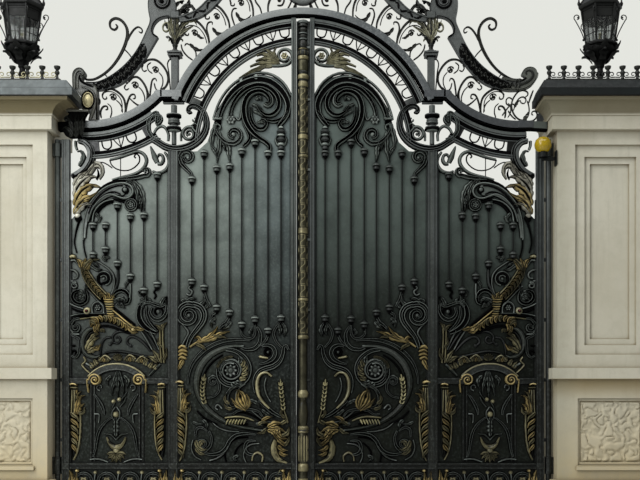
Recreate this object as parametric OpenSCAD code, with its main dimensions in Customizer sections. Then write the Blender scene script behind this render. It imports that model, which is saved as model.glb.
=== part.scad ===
// Wrought iron driveway gate: two tall leaves between stone piers, under a fixed
// arched overthrow. Origin on the ground, midway between the outer faces of the piers'
// caps and on the piers' centre line. The gate itself stands nearer to the front.

/* [Opening] */
// Clear width between the two piers
opening_w = 5000; // [4900:20:5100]
// Distance of the gate's middle plane in front of the piers' centre line
gate_back = 200; // [190:5:210]
// Gap between the ground and the lowest rail of a leaf
ground_gap = 60; // [40:5:90]

/* [Piers] */
// Width of the left pier's shaft
left_pier_w = 760; // [740:10:800]
// Width of the right pier's shaft
right_pier_w = 1060; // [1000:10:1100]
// Depth of both shafts, front to back
pier_d = 760; // [740:10:800]
// Height of the pedestal, up to its ledge
pedestal_h = 1706; // [1690:2:1720]
// Height of the shaft's top, where the frieze starts
shaft_top = 4140; // [4130:2:4150]
// Reach of the lead cap beyond the shaft
cap_reach = 200; // [190:5:200]
// Extra reach of the left pier's cap over the opening
left_cap_extra = 100; // [80:5:110]

/* [Arch] */
// Height of the arch's centre above the ground
arch_z = 4010; // [4005:1:4015]
// Inner radius of the fixed arch
arch_r = 1320; // [1315:1:1325]
// Width of the fixed band, measured along the face
band_w = 80; // [70:1:85]
// Gap between the leaves and the fixed band
leaf_gap = 12; // [10:1:14]

/* [Leaves] */
// Half the thickness of a leaf's frame
frame_t = 25; // [20:1:28]
// Thickness of the backing sheet
sheet_t = 4; // [3:0.5:5]
// Radius of the turning heel post
heel_r = 28; // [26:0.5:30]
// Radius of the round bars
bar_r = 10; // [8:0.5:12]

/* [Hidden] */

half = opening_w / 2;
gx = -(right_pier_w - left_pier_w) / 2; // the gate's centre line, from the origin
gy = -gate_back;
iron = [0.30, 0.33, 0.33];
stone = [0.86, 0.80, 0.66];
gold = [0.75, 0.60, 0.30];
lead = [0.45, 0.48, 0.50];

// ---------- frames of reference: a counts outwards from the gate's centre line ----------
module at_right() { translate([gx, gy, 0]) children(); }
module at_left() { translate([gx, gy, 0]) mirror([1, 0, 0]) children(); }
module pier_right() { translate([gx + half, 0, 0]) children(); }
module pier_left() { translate([gx - half, 0, 0]) mirror([1, 0, 0]) children(); }
// a flat shape drawn in (a, z), given the depth y0 to y1
module plate(y0, y1) { translate([0, y1, 0]) rotate([90, 0, 0]) linear_extrude(height = y1 - y0) children(); }
module box(a0, a1, y0, y1, z0, z1) { translate([a0, y0, z0]) cube([a1 - a0, y1 - y0, z1 - z0]); }
module ring(c, r0, r1) { translate(c) difference() { circle(r = r1, $fn = 256); circle(r = r0, $fn = 256); } }
module rect(a0, a1, z0, z1) { translate([a0, z0]) square([a1 - a0, z1 - z0]); }
// a wedge with its point at c, from angle d0 to d1 (less than 180 apart)
module wedge(c, d0, d1, r = 3000) {
    n = 6;
    translate(c) polygon(concat([[0, 0]], [for (i = [0:n]) let (d = d0 + (d1 - d0) * i / n) [r * cos(d), r * sin(d)]]));
}
module sector(c, r0, r1, d0, d1) { intersection() { ring(c, r0, r1); wedge(c, d0, d1, 2 * r1); } }

// ---------- smooth ribbons through a few points ----------
function cr(p0, p1, p2, p3, t) = 0.5 * ((2 * p1) + (p2 - p0) * t + (2 * p0 - 5 * p1 + 4 * p2 - p3) * t * t + (3 * p1 - p0 - 3 * p2 + p3) * t * t * t);
function smooth(p, n = 3) = let (m = len(p)) concat([for (i = [0:m - 2]) for (k = [0:n - 1])
    cr(p[max(i - 1, 0)], p[i], p[i + 1], p[min(i + 2, m - 1)], k / n)], [p[m - 1]]);
function dir(v) = v / max(norm(v), 0.001);
function nrm(q, i) = let (d = dir(q[min(i + 1, len(q) - 1)] - q[max(i - 1, 0)])) [-d[1], d[0]];
// width w0 at the start, w1 in the middle, w2 at the end
function wid(w, s) = s < 0.5 ? w[0] + (w[1] - w[0]) * 2 * s : w[1] + (w[2] - w[1]) * (2 * s - 1);
module ribbon(p, w, n = 3) {
    q = smooth(p, n);
    m = len(q);
    polygon(concat([for (i = [0:m - 1]) q[i] + nrm(q, i) * wid(w, i / (m - 1)) / 2],
                   [for (i = [m - 1:-1:0]) q[i] - nrm(q, i) * wid(w, i / (m - 1)) / 2]));
}

// ================= piers (x outwards from the inner face, y from the centre line) =================
pd = pier_d / 2;
// a course that stands out by e on the front, the back and the outer side, and by i on the inner side
module course(w, e, i, z0, z1) { box(-i, w + e, -pd - e, pd + e, z0, z1); }
// nested sunk panels on one face: [margin, depth, z0, z1]
module sunk(w, m, t, z0, z1) { box(m, w - m, -pd - 1, -pd + t, z0, z1); }
module sunk_faces(w, m, t, z0, z1) {
    sunk(w, m, t, z0, z1);
    mirror([0, 1, 0]) sunk(w, m, t, z0, z1);
    box(w - t, w + 1, -pd + m, pd - m, z0, z1);
}

module pedestal(w) {
    color(stone) {
        difference() {
            union() {
                course(w, 0, 0, 715, pedestal_h);
                course(w, 50, 0, 0, 715);
                // ledge, and the plinth, turn the inner corner only in front of the gate
                box(-50, 0, -pd - 50, -pd + 110, 0, 715);
                course(w, 60, 0, pedestal_h, pedestal_h + 107);
                box(-60, 0, -pd - 60, -pd + 110, pedestal_h, pedestal_h + 107);
            }
            sunk_faces(w, 0.19 * w, 45, 862, 1515);
        }
        // sills under the sunk panels
        for (m = [0, 1]) mirror([0, m, 0]) box(0.19 * w - 20, 0.81 * w + 20, -pd - 35, -pd, 815, 850);
    }
}

m1 = 60; // plain border of the shaft's panels
module shaft(w) {
    b0 = m1 + 0.11 * w; b1 = b0 + 0.093 * w; b2 = b1 + 0.056 * w;
    color(stone) difference() {
        course(w, 0, 0, pedestal_h + 107, shaft_top);
        sunk_faces(w, b0, 30, 1945, 4005);
        sunk_faces(w, b1, 55, 2040, 3892);
        sunk_faces(w, b2, 80, 2100, 3828);
    }
}

// outline of a moulding: reach against height
function cavetto(e0, e1, z0, z1) = [for (i = [0:6]) let (d = 90 * i / 6) [e0 + (e1 - e0) * (1 - cos(d)), z0 + (z1 - z0) * sin(d)]];
corn = concat([[70, shaft_top + 132]], cavetto(72, 160, shaft_top + 137, shaft_top + 252), [[170, shaft_top + 252], [170, shaft_top + 285]]);
// a moulding that runs round a block: prisms of its outline, crossed
// x is its extra reach over the opening
in_y = -pd + 230; // the overhang turns the inner corner only as far as the gate
module round_moulding(w, o, x = 0) {
    n = len(o);
    function inner(p) = -p[0] - x * max(0, p[0] - 72) / (cap_reach - 72);
    difference() {
        intersection() {
            translate([0, 0, 0]) rotate([90, 0, 0]) translate([0, 0, -1000]) linear_extrude(height = 2000)
                polygon(concat([for (p = o) [w + p[0], p[1]]], [for (i = [n - 1:-1:0]) [inner(o[i]), o[i][1]]]));
            rotate([90, 0, 90]) translate([0, 0, -500]) linear_extrude(height = w + 1000)
                polygon(concat([for (p = o) [pd + p[0], p[1]]], [for (i = [n - 1:-1:0]) [-pd - o[i][0], o[i][1]]]));
        }
        box(-480, 0, in_y, pd + 480, o[0][1] - 10, o[n - 1][1] + 10);
    }
}
module cornice(w, x = 0) {
    color(stone) {
        // the frieze turns the inner corner only as far as the gate
        course(w, 60, 0, shaft_top, shaft_top + 132);
        box(-60, 0, -pd - 60, -pd + 230, shaft_top, shaft_top + 132);
        round_moulding(w, corn, x);
    }
}

cap0 = shaft_top + 285;
capo = [[cap_reach, cap0], [cap_reach, cap0 + 72], [cap_reach - 5, cap0 + 74], [cap_reach - 35, cap0 + 155]];
cap_top = cap0 + 155;
module cap(w, x = 0) { color(lead) round_moulding(w, capo, x); }

// cresting: a low rail round the cap with small cups on it
cr_e = cap_reach - 60;
module pot() {
    rotate_extrude($fn = 24) polygon([[0, 0], [16, 0], [12, 25], [20, 55], [9, 80], [24, 100], [28, 125], [0, 125]]);
}
module cresting(w, x = 0) {
    cr_i = cr_e + 0.3 * x;
    nx = floor((w + cr_e + cr_i) / 122); nb = floor((w + cr_e) / 122); ny = floor((pier_d + 2 * cr_e) / 122);
    lx = w + cr_e + cr_i - 60; lb = w + cr_e - 72; ly = pier_d + 2 * cr_e - 60;
    color(iron) {
        // the rail steps back to the pier's inner face behind the gate
        difference() {
            union() {
                box(-cr_i, w + cr_e, -pd - cr_e, in_y - 10, cap_top, cap_top + 26);
                box(12, w + cr_e, -pd - cr_e, pd + cr_e, cap_top, cap_top + 26);
            }
            box(-cr_i + 24, w + cr_e - 24, -pd - cr_e + 24, in_y - 34, cap_top - 1, cap_top + 27);
            box(36, w + cr_e - 24, -pd - cr_e + 24, pd + cr_e - 24, cap_top - 1, cap_top + 27);
        }
        for (i = [0:nx - 1]) translate([-cr_i + 30 + lx * i / (nx - 1), -pd - cr_e + 12, cap_top + 20]) pot();
        for (i = [0:nb - 1]) translate([42 + lb * i / (nb - 1), pd + cr_e - 12, cap_top + 20]) pot();
        for (i = [1:ny - 2]) translate([w + cr_e - 12, -pd - cr_e + 30 + ly * i / (ny - 1), cap_top + 20]) pot();
    }
}

// lantern: stem, leafy bowl, six-sided body and roof
lan0 = cap_top;
module lantern(w) {
    color(iron) translate([w / 2, 0, lan0]) {
        rotate_extrude($fn = 48) polygon([[0, 0], [110, 0], [110, 30], [70, 50], [46, 110], [40, 250], [60, 300], [52, 330],
            [80, 380], [125, 430], [165, 470], [150, 500], [175, 520], [175, 545], [0, 545]]);
        // the glazed body's corner posts lean outwards
        for (i = [0:5]) rotate([0, 0, 60 * i]) translate([150, 0, 535]) rotate([0, 7.4, 0]) cylinder(r = 9, h = 375, $fn = 24);
        translate([0, 0, 900]) cylinder(r = 215, h = 45, $fn = 6);
        translate([0, 0, 944]) cylinder(r1 = 213, r2 = 90, h = 201, $fn = 6);
        translate([0, 0, 1140]) rotate_extrude($fn = 32) polygon([[0, 0], [95, 0], [95, 45], [60, 65], [75, 95], [40, 125], [14, 155], [22, 185], [12, 220], [0, 235]]);
    }
}
module lantern_glass(w) {
    color([0.8, 0.85, 0.85, 0.5]) translate([w / 2, 0, lan0 + 546]) difference() {
        cylinder(r1 = 138, r2 = 182, h = 352, $fn = 6);
        translate([0, 0, -1]) cylinder(r1 = 133, r2 = 177, h = 354, $fn = 6);
    }
}

// ================= fixed ironwork (a outwards, y from the gate's plane) =================
heel_a = half - 45;
sh_c = [2150, 5218]; // centre of the shoulder's curve
sh_r = 1024;         // its radius at the band's lower edge
step_z = 4500;       // lower edge of the level step
c0 = [0, arch_z];
collar_z = [[760, 930], [3930, 4060]];

module collars() {
    color(iron) {
        for (z = collar_z) difference() {
            union() {
                translate([heel_a, 0, z[0]]) cylinder(r = 40, h = z[1] - z[0], $fn = 64);
                box(heel_a, half, -30, 30, z[0], z[1]);
            }
            translate([heel_a, 0, z[0] - 1]) cylinder(r = heel_r + 0.05, h = z[1] - z[0] + 2, $fn = 64);
        }
        // footstep bearing
        box(heel_a - 60, half, -60, 60, 0, ground_gap - 10);
        translate([heel_a, 0, 0]) cylinder(r = 14, h = ground_gap + 40, $fn = 48);
    }
}

// left: a console above a leafy capital, its upper part over the cap's edge
module console_left() {
    color(iron) {
        // arm let in against the frieze, and the capital in front of it
        box(2150, half - 60, -60, 30, shaft_top + 58, shaft_top + 132);
        plate(-115, -45) polygon([[2120, 4372], [2310, 4372], [2310, 4350], [2290, 4330], [2345, 4260], [2335, 4190], [2300, 4110], [2210, 4100], [2165, 4180], [2150, 4300], [2120, 4350]]);
        plate(-60, 30) {
            polygon([[2150, 4260], [2192, 4260], [2192, 4582], [2284, 4582], [2284, 4760], [2150, 4752], [2120, 4740], [2090, 4735], [2090, 4590], [2060, 4545], [2045, 4490], [2042, 4440], [2048, 4372], [2048, 4292], [2150, 4292]]);
            translate([2212, 4752]) circle(r = 72, $fn = 128);
        }
    }
}
// right: open scrolls, the raking plate ends in a roll over the cap
module console_right() {
    color(iron) plate(-30, 30) {
        translate([2270, 4730]) circle(r = 90, $fn = 128);
        intersection() { ribbon([[2070, 4636], [2150, 4640], [2205, 4648], [2256, 4680]], [90, 80, 60]); rect(2090, 2400, 4500, 4900); }
        intersection() { ribbon([[2070, 4708], [2150, 4722], [2215, 4744]], [38, 34, 30]); rect(2090, 2400, 4500, 4900); }
        ribbon([[2215, 4650], [2120, 4590], [2085, 4500], [2100, 4400], [2165, 4330], [2240, 4335], [2275, 4395], [2270, 4450]], [36, 30, 20]);
        ribbon([[2165, 4270], [2225, 4290], [2290, 4292], [2345, 4318], [2346, 4360], [2312, 4385]], [50, 30, 18]);
        rect(2200, 2240, 4200, 4345);
    }
    color(iron) box(2150, half - 60, -45, 30, shaft_top + 58, shaft_top + 132);
}

module shoulder_band() {
    color(iron) plate(-45, 45) union() {
        intersection() { ring(sh_c, sh_r - band_w - 8, sh_r); rect(1420, 2150, 4000, 4700); }
        rect(1240, 1420.5, step_z, step_z + band_w + 8);
    }
}
module arch_band() {
    color(iron) plate(-45, 45) intersection() {
        ring(c0, arch_r, arch_r + band_w);
        rect(-1240, 1240, step_z, 6000);
    }
}

// the raking plates that climb from the consoles
rake_p = [[2110, 4628], [1990, 4636], [1880, 4668], [1790, 4736], [1712, 4830], [1640, 4930], [1570, 5036], [1512, 5150], [1482, 5260], [1466, 5320]];
module raking_band() {
    color(iron) plate(-32, 32) union() {
        intersection() { ribbon(rake_p, [70, 125, 95]); rect(1385, 2090, 4500, 5400); }
        intersection() { translate([1445, 5400]) circle(r = 150, $fn = 128); rect(1385, 1600, 5240, 5600); }
    }
}
up_p = [[1260, 5345], [1150, 5370], [1030, 5420], [915, 5520], [820, 5630], [710, 5710], [570, 5750], [400, 5750], [220, 5740]];
// flat scrolls between the raking plate and the band
module infill_scrolls() {
    color(iron) plate(-12, 12) {
        // whip scroll along the raking plate's back
        intersection() { rect(0, 2090, 4000, 6000); ribbon([[2120, 4712], [2080, 4708], [2010, 4725], [1930, 4790], [1850, 4885], [1795, 4990], [1765, 5090], [1765, 5175], [1790, 5265], [1840, 5310], [1890, 5310], [1925, 5280], [1920, 5235], [1885, 5215]], [40, 26, 20]); }
        // three scrolls in the side bay
        sector([1870, 4450], 85, 112, 20, 170);
        sector([1870, 4450], 85, 112, 165, 300);
        ribbon([[1690, 4700], [1620, 4670], [1565, 4600], [1560, 4530], [1600, 4485], [1655, 4485], [1700, 4520]], [28, 26, 16]);
        ribbon([[1560, 4800], [1545, 4870], [1490, 4900], [1430, 4870], [1365, 4800], [1352, 4700], [1362, 4640], [1378, 4592]], [28, 26, 16]);
        // scrolls on the arch's back
        ribbon([[1145, 5180], [1150, 5245], [1080, 5255], [1000, 5210], [955, 5140], [945, 5070]], [16, 28, 20]);
        ribbon([[860, 5350], [900, 5425], [820, 5390], [760, 5310], [755, 5230], [820, 5165]], [16, 28, 20]);
        ribbon([[640, 5450], [610, 5530], [520, 5480], [500, 5400], [560, 5330], [610, 5355]], [16, 28, 20]);
        ribbon([[330, 5560], [290, 5480], [270, 5395]], [20, 28, 20]);
    }
}

module overthrow_post() {
    color(iron) {
        box(1240, 1320, -40, 40, step_z + band_w + 8, 4935);
        translate([1280, 0, 4935]) rotate_extrude($fn = 48) polygon([[0, 0], [60, 0], [85, 20], [85, 60], [55, 75], [40, 110], [62, 170], [80, 260], [62, 330], [38, 375], [0, 375]]);
        // head block that the upper and lower raking plates meet
        box(1235, 1325, -32, 32, 5310, 5380);
        box(1325, 1385, -20, 20, 5325, 5365);
    }
}

// upper raking plates
module upper_band() {
    color(iron) plate(-30, 30) intersection() { ribbon(up_p, [60, 110, 90]); rect(262, 1235, 5000, 6000); }
}
// blank oval shield that joins them, and its finial
module crest_shield() {
    color(iron) {
        box(-262, 262, -30, 30, 5690, 5790);
        translate([0, 0, 5775]) rotate([90, 0, 0]) translate([0, 0, -35]) linear_extrude(height = 70)
            polygon([for (i = [0:35]) [235 * cos(10 * i), 325 * sin(10 * i)]]);
        translate([0, 0, 6060]) rotate_extrude($fn = 48) polygon([[0, 0], [60, 0], [60, 40], [30, 70], [55, 130], [40, 190], [12, 230], [0, 250]]);
    }
}

module beacon_base() {
    color(iron) {
        translate([half - 133, -150, 3886]) cylinder(r = 45, h = 50, $fn = 48);
        box(half - 143, half, -165, -135, 3856, 3886);
        box(half - 12, half, -190, -110, 3806, 3946);
    }
}
module beacon_lens() { color([0.95, 0.65, 0.05]) translate([half - 133, -150, 4008]) intersection() { sphere(r = 84, $fn = 64); box(-100, 100, -100, 100, -72, 100); } }

// ================= a leaf (a outwards, y from the gate's plane) =================
s_in = 115; s_out = 70;      // meeting stile
m_in = 1250; m_out = 1340;   // mid stile
h_in = 2330; h_out = 2405;   // heel stile
ft = frame_t;
sy = 10;                     // front face of the backing sheet
lr = arch_r - leaf_gap;
sr = sh_r + leaf_gap;
bz = ground_gap;

module heel_stile() {
    color(iron) {
        box(h_in, h_out, -ft, ft, bz, 4100);
        difference() {
            union() {
                translate([heel_a, 0, bz]) cylinder(r = heel_r, h = 4100 - bz, $fn = 64);
                for (z = [120, 600, 1100, 1700, 2300, 2900, 3500, 4082]) box(h_out - 1, heel_a - 10, -10, 10, z - 18, z + 18);
            }
            translate([heel_a, 0, bz - 1]) cylinder(r = 14.05, h = 42, $fn = 48);
        }
    }
}
module mid_stile() {
    color(iron) {
        plate(-ft, ft) difference() { rect(m_in, m_out, bz + 120, 4000); translate([1275, 4383]) circle(r = 398, $fn = 256); }
        // turned baluster in the opening above
        translate([1290, 0, 4055.5]) rotate_extrude($fn = 48) polygon([[0, 0], [24, 0], [24, 160], [34, 170], [34, 195], [62, 205], [62, 222], [40, 232], [40, 268], [62, 278], [62, 295], [30, 305], [30, 387.5], [0, 387.5]]);
    }
}
module meeting_stile() {
    color(iron) intersection() {
        box(s_out, s_in, -ft, ft, bz, 6000);
        plate(-ft, ft) { translate(c0) circle(r = lr - 0.5, $fn = 256); rect(0, 200, 0, arch_z); }
    }
}
module bottom_rail() {
    color(iron) {
        box(s_in, h_in, -ft, ft, bz, bz + 120);
        // rail under the frieze, both bays
        for (b = [[s_in, m_in], [m_out, h_in]]) {
            box(b[0], b[1], -ft, sy, 500, 560);
            box(b[0], b[1], sy + sheet_t, ft, 500, 560);
        }
    }
}
module cross_rails() {
    color(iron) {
        for (b = [[s_in, m_in], [m_out, h_in]]) {
            box(b[0], b[1], -ft, sy, 810, 870);
            box(b[0], b[1], sy + sheet_t, ft, 810, 870);
        }
        // the side bay's rail lifts over an ornament as a low arch
        plate(-ft, sy) {
            rect(m_out, 1590, 1660, 1720);
            rect(2140, h_in, 1660, 1720);
            intersection() { ring([1865, 1505], 300, 352); rect(1560, 2170, 1662, 1900); }
        }
        box(m_out, h_in, sy + sheet_t, ft, 1660, 1720);
    }
}
module head_clip_side() { rect(1525, 2120, 3700, 4600); }
module side_head() {
    color(iron) plate(-ft, ft) union() {
        difference() {
            intersection() { ring(sh_c, sr, sr + 274); head_clip_side(); }
            intersection() { ring(sh_c, sr + 104, sr + 199); rect(1590, 2050, 3700, 4600); }
        }
        // ties in the open frieze
        intersection() {
            ring(sh_c, sr + 100, sr + 203);
            union() for (i = [0:3]) translate(sh_c) rotate(-114 + 7.4 * i + 3.2) rect(900, 1400, -6, 6);
        }
        intersection() { ring(sh_c, sr, sr + 45); rect(1420, 1526, 3700, 4600); }
        // scroll down to the heel stile
        intersection() { union() { sector([2292, 3910], 158, 204, 100, 200); sector([2292, 3910], 158, 204, 198, 285); } rect(2000, h_in, 3600, 4200); }
    }
}
module arch_head() {
    color(iron) plate(-ft, ft) union() {
        rect(1190, 1420, step_z - leaf_gap - 45, step_z - leaf_gap);
        intersection() {
            union() {
                sector(c0, 1215, lr, 20, 89);
                sector(c0, 1050, 1120, 3, 89);
                intersection() {
                    ring(c0, 1110, 1225);
                    union() {
                        wedge(c0, 20, 25);
                        for (i = [0:9]) translate(c0) rotate(30.5 + 5.6 * i) rect(1000, 1300, -6, 6);
                        rect(s_in, 150, arch_z, 6000);
                    }
                }
            }
            rect(s_in, 1226, 4000, 6000);
        }
        // curved rail under the baluster, resting on the mid stile
        intersection() { ring([1275, 4383], 330, 398); rect(1060, 1525, 3900, 4128); }
    }
}
sheet_side = [[m_out, bz + 120], [h_in, bz + 120], [h_in, 3300], [2200, 3430], [2110, 3530], [2030, 3600], [1930, 3670], [1810, 3720], [1550, 3760], [m_out, 3820]];
sheet_mid = [[s_in, bz + 120], [m_in, bz + 120], [m_in, 3980], [1060, 3990], [960, 4080], [900, 4250], [850, 4420], [750, 4580], [650, 4680], [560, 4740], [400, 4760], [260, 4720], [180, 4650], [s_in, 4540]];
module sheet() {
    color([0.27, 0.32, 0.30]) plate(sy, sy + sheet_t) { polygon(sheet_side); polygon(sheet_mid); }
}
// [a, top, bottom] of each round bar
bar_list = [[1112, 3704, 2690], [990, 3960, 2630], [863, 3810, 2430], [734, 3830, 2380], [612, 3980, 2260], [480, 4070, 2315], [350, 3960, 2200], [220, 3960, 2325],
            [2101, 3240, 2955], [1975, 3245, 3010], [1856, 3440, 2870], [1726, 3340, 2740], [1592, 3350, 2600], [1458, 3740, 2660]];
module cup(z) {
    intersection() {
        translate([0, 0, z - 42]) cylinder(r = 38, h = 84, $fn = 32);
        box(-50, 50, -50, 25, z - 50, z + 50);
    }
}
module bars() {
    color(iron) {
        for (b = bar_list) translate([b[0], -15, 0]) {
            translate([0, 0, b[2]]) cylinder(r = bar_r, h = b[1] - b[2], $fn = 32);
            cup(b[2]); cup(b[1]);
        }
        plate(-22, sy) {
            ribbon([[2262, 3320], [2290, 3180], [2290, 3060], [2240, 2960]], [20, 20, 20]);
            ribbon([[2185, 3320], [2205, 3200], [2195, 3080], [2170, 2980]], [20, 20, 20]);
        }
    }
}
module scrolls() {
    color(gold) plate(-25, sy) {
        // big whirl beside the meeting stile
        difference() { translate([405, 4520]) circle(r = 288, $fn = 96); translate([405, 4520]) circle(r = 252, $fn = 96); }
        difference() { translate([405, 4520]) circle(r = 215, $fn = 96); translate([405, 4520]) circle(r = 180, $fn = 96); }
        // scroll at the head of the side bay
        ribbon([[2190, 3385], [2110, 3480], [2030, 3570], [1920, 3640], [1800, 3650], [1725, 3600], [1720, 3530], [1790, 3505]], [50, 90, 40]);
        // scrolls of the lower third
        ribbon([[2310, 2930], [2240, 2860], [2120, 2640], [1960, 2470], [1800, 2380], [1600, 2300]], [60, 70, 50]);
        ribbon([[2160, 1960], [2220, 2100], [2200, 2240], [2080, 2340], [1900, 2350], [1700, 2250], [1560, 2080]], [40, 60, 60]);
        ribbon([[1650, 2540], [1660, 2440], [1600, 2330], [1500, 2270], [1400, 2300]], [60, 70, 30]);
        difference() { translate([730, 1840]) circle(r = 185, $fn = 72); translate([730, 1840]) circle(r = 140, $fn = 72); }
        ribbon([[1080, 2440], [1180, 2420], [1215, 2350], [1180, 2280], [1090, 2200], [1060, 1980], [1040, 1600], [960, 1400], [800, 1280], [560, 1270], [370, 1190]], [30, 60, 60]);
        ribbon([[470, 1900], [410, 1700], [380, 1550], [420, 1460], [300, 1330]], [40, 60, 40]);
        // bell-shaped scroll in the side bay's lower panel
        ribbon([[2080, 900], [2070, 1100], [2000, 1250], [1890, 1360], [1850, 1360]], [30, 36, 24]);
        ribbon([[1650, 900], [1660, 1100], [1730, 1250], [1830, 1360], [1870, 1360]], [30, 36, 24]);
        // consoles beside the stiles
        rect(h_in - 130, h_in - 10, 900, 1640);
        rect(m_out + 20, m_out + 120, 900, 1640);
        rect(m_in - 120, m_in - 20, 900, 1640);
        // ring frieze
        for (i = [0:4]) ring([m_in - 110 - 200 * i - 60, 685], 74, 96);
        for (i = [0:3]) ring([m_out + 195 + 200 * i, 685], 74, 96);
    }
}
// ornate bar that covers the meeting line, fixed to the right leaf
module centre_bar() {
    color(gold) {
        translate([0, -15, 0]) rotate_extrude($fn = 64) polygon([[0, 70], [58, 70], [58, 130], [44, 150], [44, 780], [56, 790], [56, 860], [48, 870], [48, 1180],
            [58, 1190], [58, 1230], [42, 1245], [50, 1400], [38, 1540], [56, 1555], [56, 1580], [44, 1600], [44, 2120], [58, 2130], [58, 2145], [48, 2155], [48, 4640],
            [57, 4650], [57, 4700], [46, 4720], [46, 4880], [57, 4900], [57, 4930], [44, 4950], [50, 5100], [42, 5200], [46, 5290], [0, 5290]]);
        for (z = [300, 1000, 1700, 2400, 3100, 3800, 4500, 5020]) box(30, s_out, -24, -6, z - 12, z + 12);
    }
}

pier_left() pedestal(left_pier_w);  // left_pedestal
pier_left() shaft(left_pier_w);  // left_shaft
pier_left() cornice(left_pier_w, left_cap_extra);  // left_cornice
pier_left() cap(left_pier_w, left_cap_extra);  // left_cap
pier_left() cresting(left_pier_w, left_cap_extra);  // left_cresting
pier_left() lantern(left_pier_w);  // left_lantern
pier_left() lantern_glass(left_pier_w);  // left_lantern_glass
pier_right() pedestal(right_pier_w);  // right_pedestal
pier_right() shaft(right_pier_w);  // right_shaft
pier_right() cornice(right_pier_w);  // right_cornice
pier_right() cap(right_pier_w);  // right_cap
pier_right() cresting(right_pier_w);  // right_cresting
pier_right() lantern(right_pier_w);  // right_lantern
pier_right() lantern_glass(right_pier_w);  // right_lantern_glass
at_left() collars();  // left_collars
at_right() collars();  // right_collars
at_left() console_left();  // left_console
at_right() console_right();  // right_console
at_left() shoulder_band();  // left_shoulder_band
at_right() shoulder_band();  // right_shoulder_band
at_right() arch_band();
at_left() raking_band();  // left_raking_band
at_right() raking_band();  // right_raking_band
at_left() infill_scrolls();  // left_infill_scrolls
at_right() infill_scrolls();  // right_infill_scrolls
at_left() overthrow_post();  // left_overthrow_post
at_right() overthrow_post();  // right_overthrow_post
at_left() upper_band();  // left_upper_band
at_right() upper_band();  // right_upper_band
at_right() crest_shield();
at_right() beacon_base();
at_right() beacon_lens();
at_left() heel_stile();  // left_heel_stile
at_left() mid_stile();  // left_mid_stile
at_left() meeting_stile();  // left_meeting_stile
at_left() bottom_rail();  // left_bottom_rail
at_left() cross_rails();  // left_cross_rails
at_left() side_head();  // left_side_head
at_left() arch_head();  // left_arch_head
at_left() sheet();  // left_sheet
at_left() bars();  // left_bars
at_left() scrolls();  // left_scrolls
at_right() heel_stile();  // right_heel_stile
at_right() mid_stile();  // right_mid_stile
at_right() meeting_stile();  // right_meeting_stile
at_right() bottom_rail();  // right_bottom_rail
at_right() cross_rails();  // right_cross_rails
at_right() side_head();  // right_side_head
at_right() arch_head();  // right_arch_head
at_right() sheet();  // right_sheet
at_right() bars();  // right_bars
at_right() scrolls();  // right_scrolls
at_right() centre_bar();
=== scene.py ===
import bpy, math
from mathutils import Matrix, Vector, noise


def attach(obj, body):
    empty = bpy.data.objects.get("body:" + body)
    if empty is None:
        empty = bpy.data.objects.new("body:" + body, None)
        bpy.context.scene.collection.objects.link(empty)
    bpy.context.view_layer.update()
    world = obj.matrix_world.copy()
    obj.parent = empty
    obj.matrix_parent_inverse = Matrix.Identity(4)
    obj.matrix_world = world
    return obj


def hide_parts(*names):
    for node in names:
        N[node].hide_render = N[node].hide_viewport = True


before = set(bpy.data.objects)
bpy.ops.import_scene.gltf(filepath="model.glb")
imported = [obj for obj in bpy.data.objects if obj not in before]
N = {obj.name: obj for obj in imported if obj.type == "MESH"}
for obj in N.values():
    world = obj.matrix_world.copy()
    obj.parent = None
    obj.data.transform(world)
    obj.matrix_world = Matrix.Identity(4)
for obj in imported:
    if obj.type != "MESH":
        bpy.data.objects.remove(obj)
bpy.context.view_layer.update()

GX, GY = -0.15, -0.20          # the gate's centre line and middle plane
HALF = 2.5                     # half of the clear opening
SIDES = (("left", -1), ("right", 1))

# ------------------------------------------------------------------ small geometry helpers
# The ironwork is drawn on a grid of 10 mm squares, x running right from 3.03 m left of the gate's
# centre line and y running down from 5.5 m above the ground, for the left half. The right half mirrors it.


def smooth(p, closed=False, n=8):
    """Catmull-Rom points through p."""
    m = len(p)
    if m < 3:
        return [tuple(q) for q in p]
    out = []
    last = m if closed else m - 1
    for i in range(last):
        if closed:
            a, b, c, d = p[(i - 1) % m], p[i], p[(i + 1) % m], p[(i + 2) % m]
        else:
            a, b, c, d = p[max(i - 1, 0)], p[i], p[i + 1], p[min(i + 2, m - 1)]
        for k in range(n):
            t = k / n
            out.append(tuple(0.5 * (2 * b[j] + (c[j] - a[j]) * t + (2 * a[j] - 5 * b[j] + 4 * c[j] - d[j]) * t * t
                                    + (3 * b[j] - a[j] - 3 * c[j] + d[j]) * t ** 3) for j in range(len(b))))
    if not closed:
        out.append(tuple(p[-1]))
    return out


def resample(c, ds):
    """Evenly spaced points along polyline c, and their share 0..1 of its length."""
    d = [0.0]
    for i in range(1, len(c)):
        d.append(d[-1] + math.dist(c[i], c[i - 1]))
    total = d[-1]
    n = max(3, int(math.ceil(total / ds)) + 1)
    out, share, j = [], [], 0
    for i in range(n):
        s = total * i / (n - 1)
        while j < len(d) - 2 and d[j + 1] < s:
            j += 1
        f = 0 if d[j + 1] == d[j] else (s - d[j]) / (d[j + 1] - d[j])
        f = min(max(f, 0), 1)
        out.append(tuple(c[j][k] + (c[j + 1][k] - c[j][k]) * f for k in range(len(c[0]))))
        share.append(i / (n - 1))
    return out, share, total


def lerp_list(v, s):
    """Value at share s of a list of evenly placed values."""
    if not isinstance(v, (list, tuple)):
        return v
    if len(v) == 1:
        return v[0]
    x = s * (len(v) - 1)
    i = min(int(x), len(v) - 2)
    return v[i] + (v[i + 1] - v[i]) * (x - i)


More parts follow.
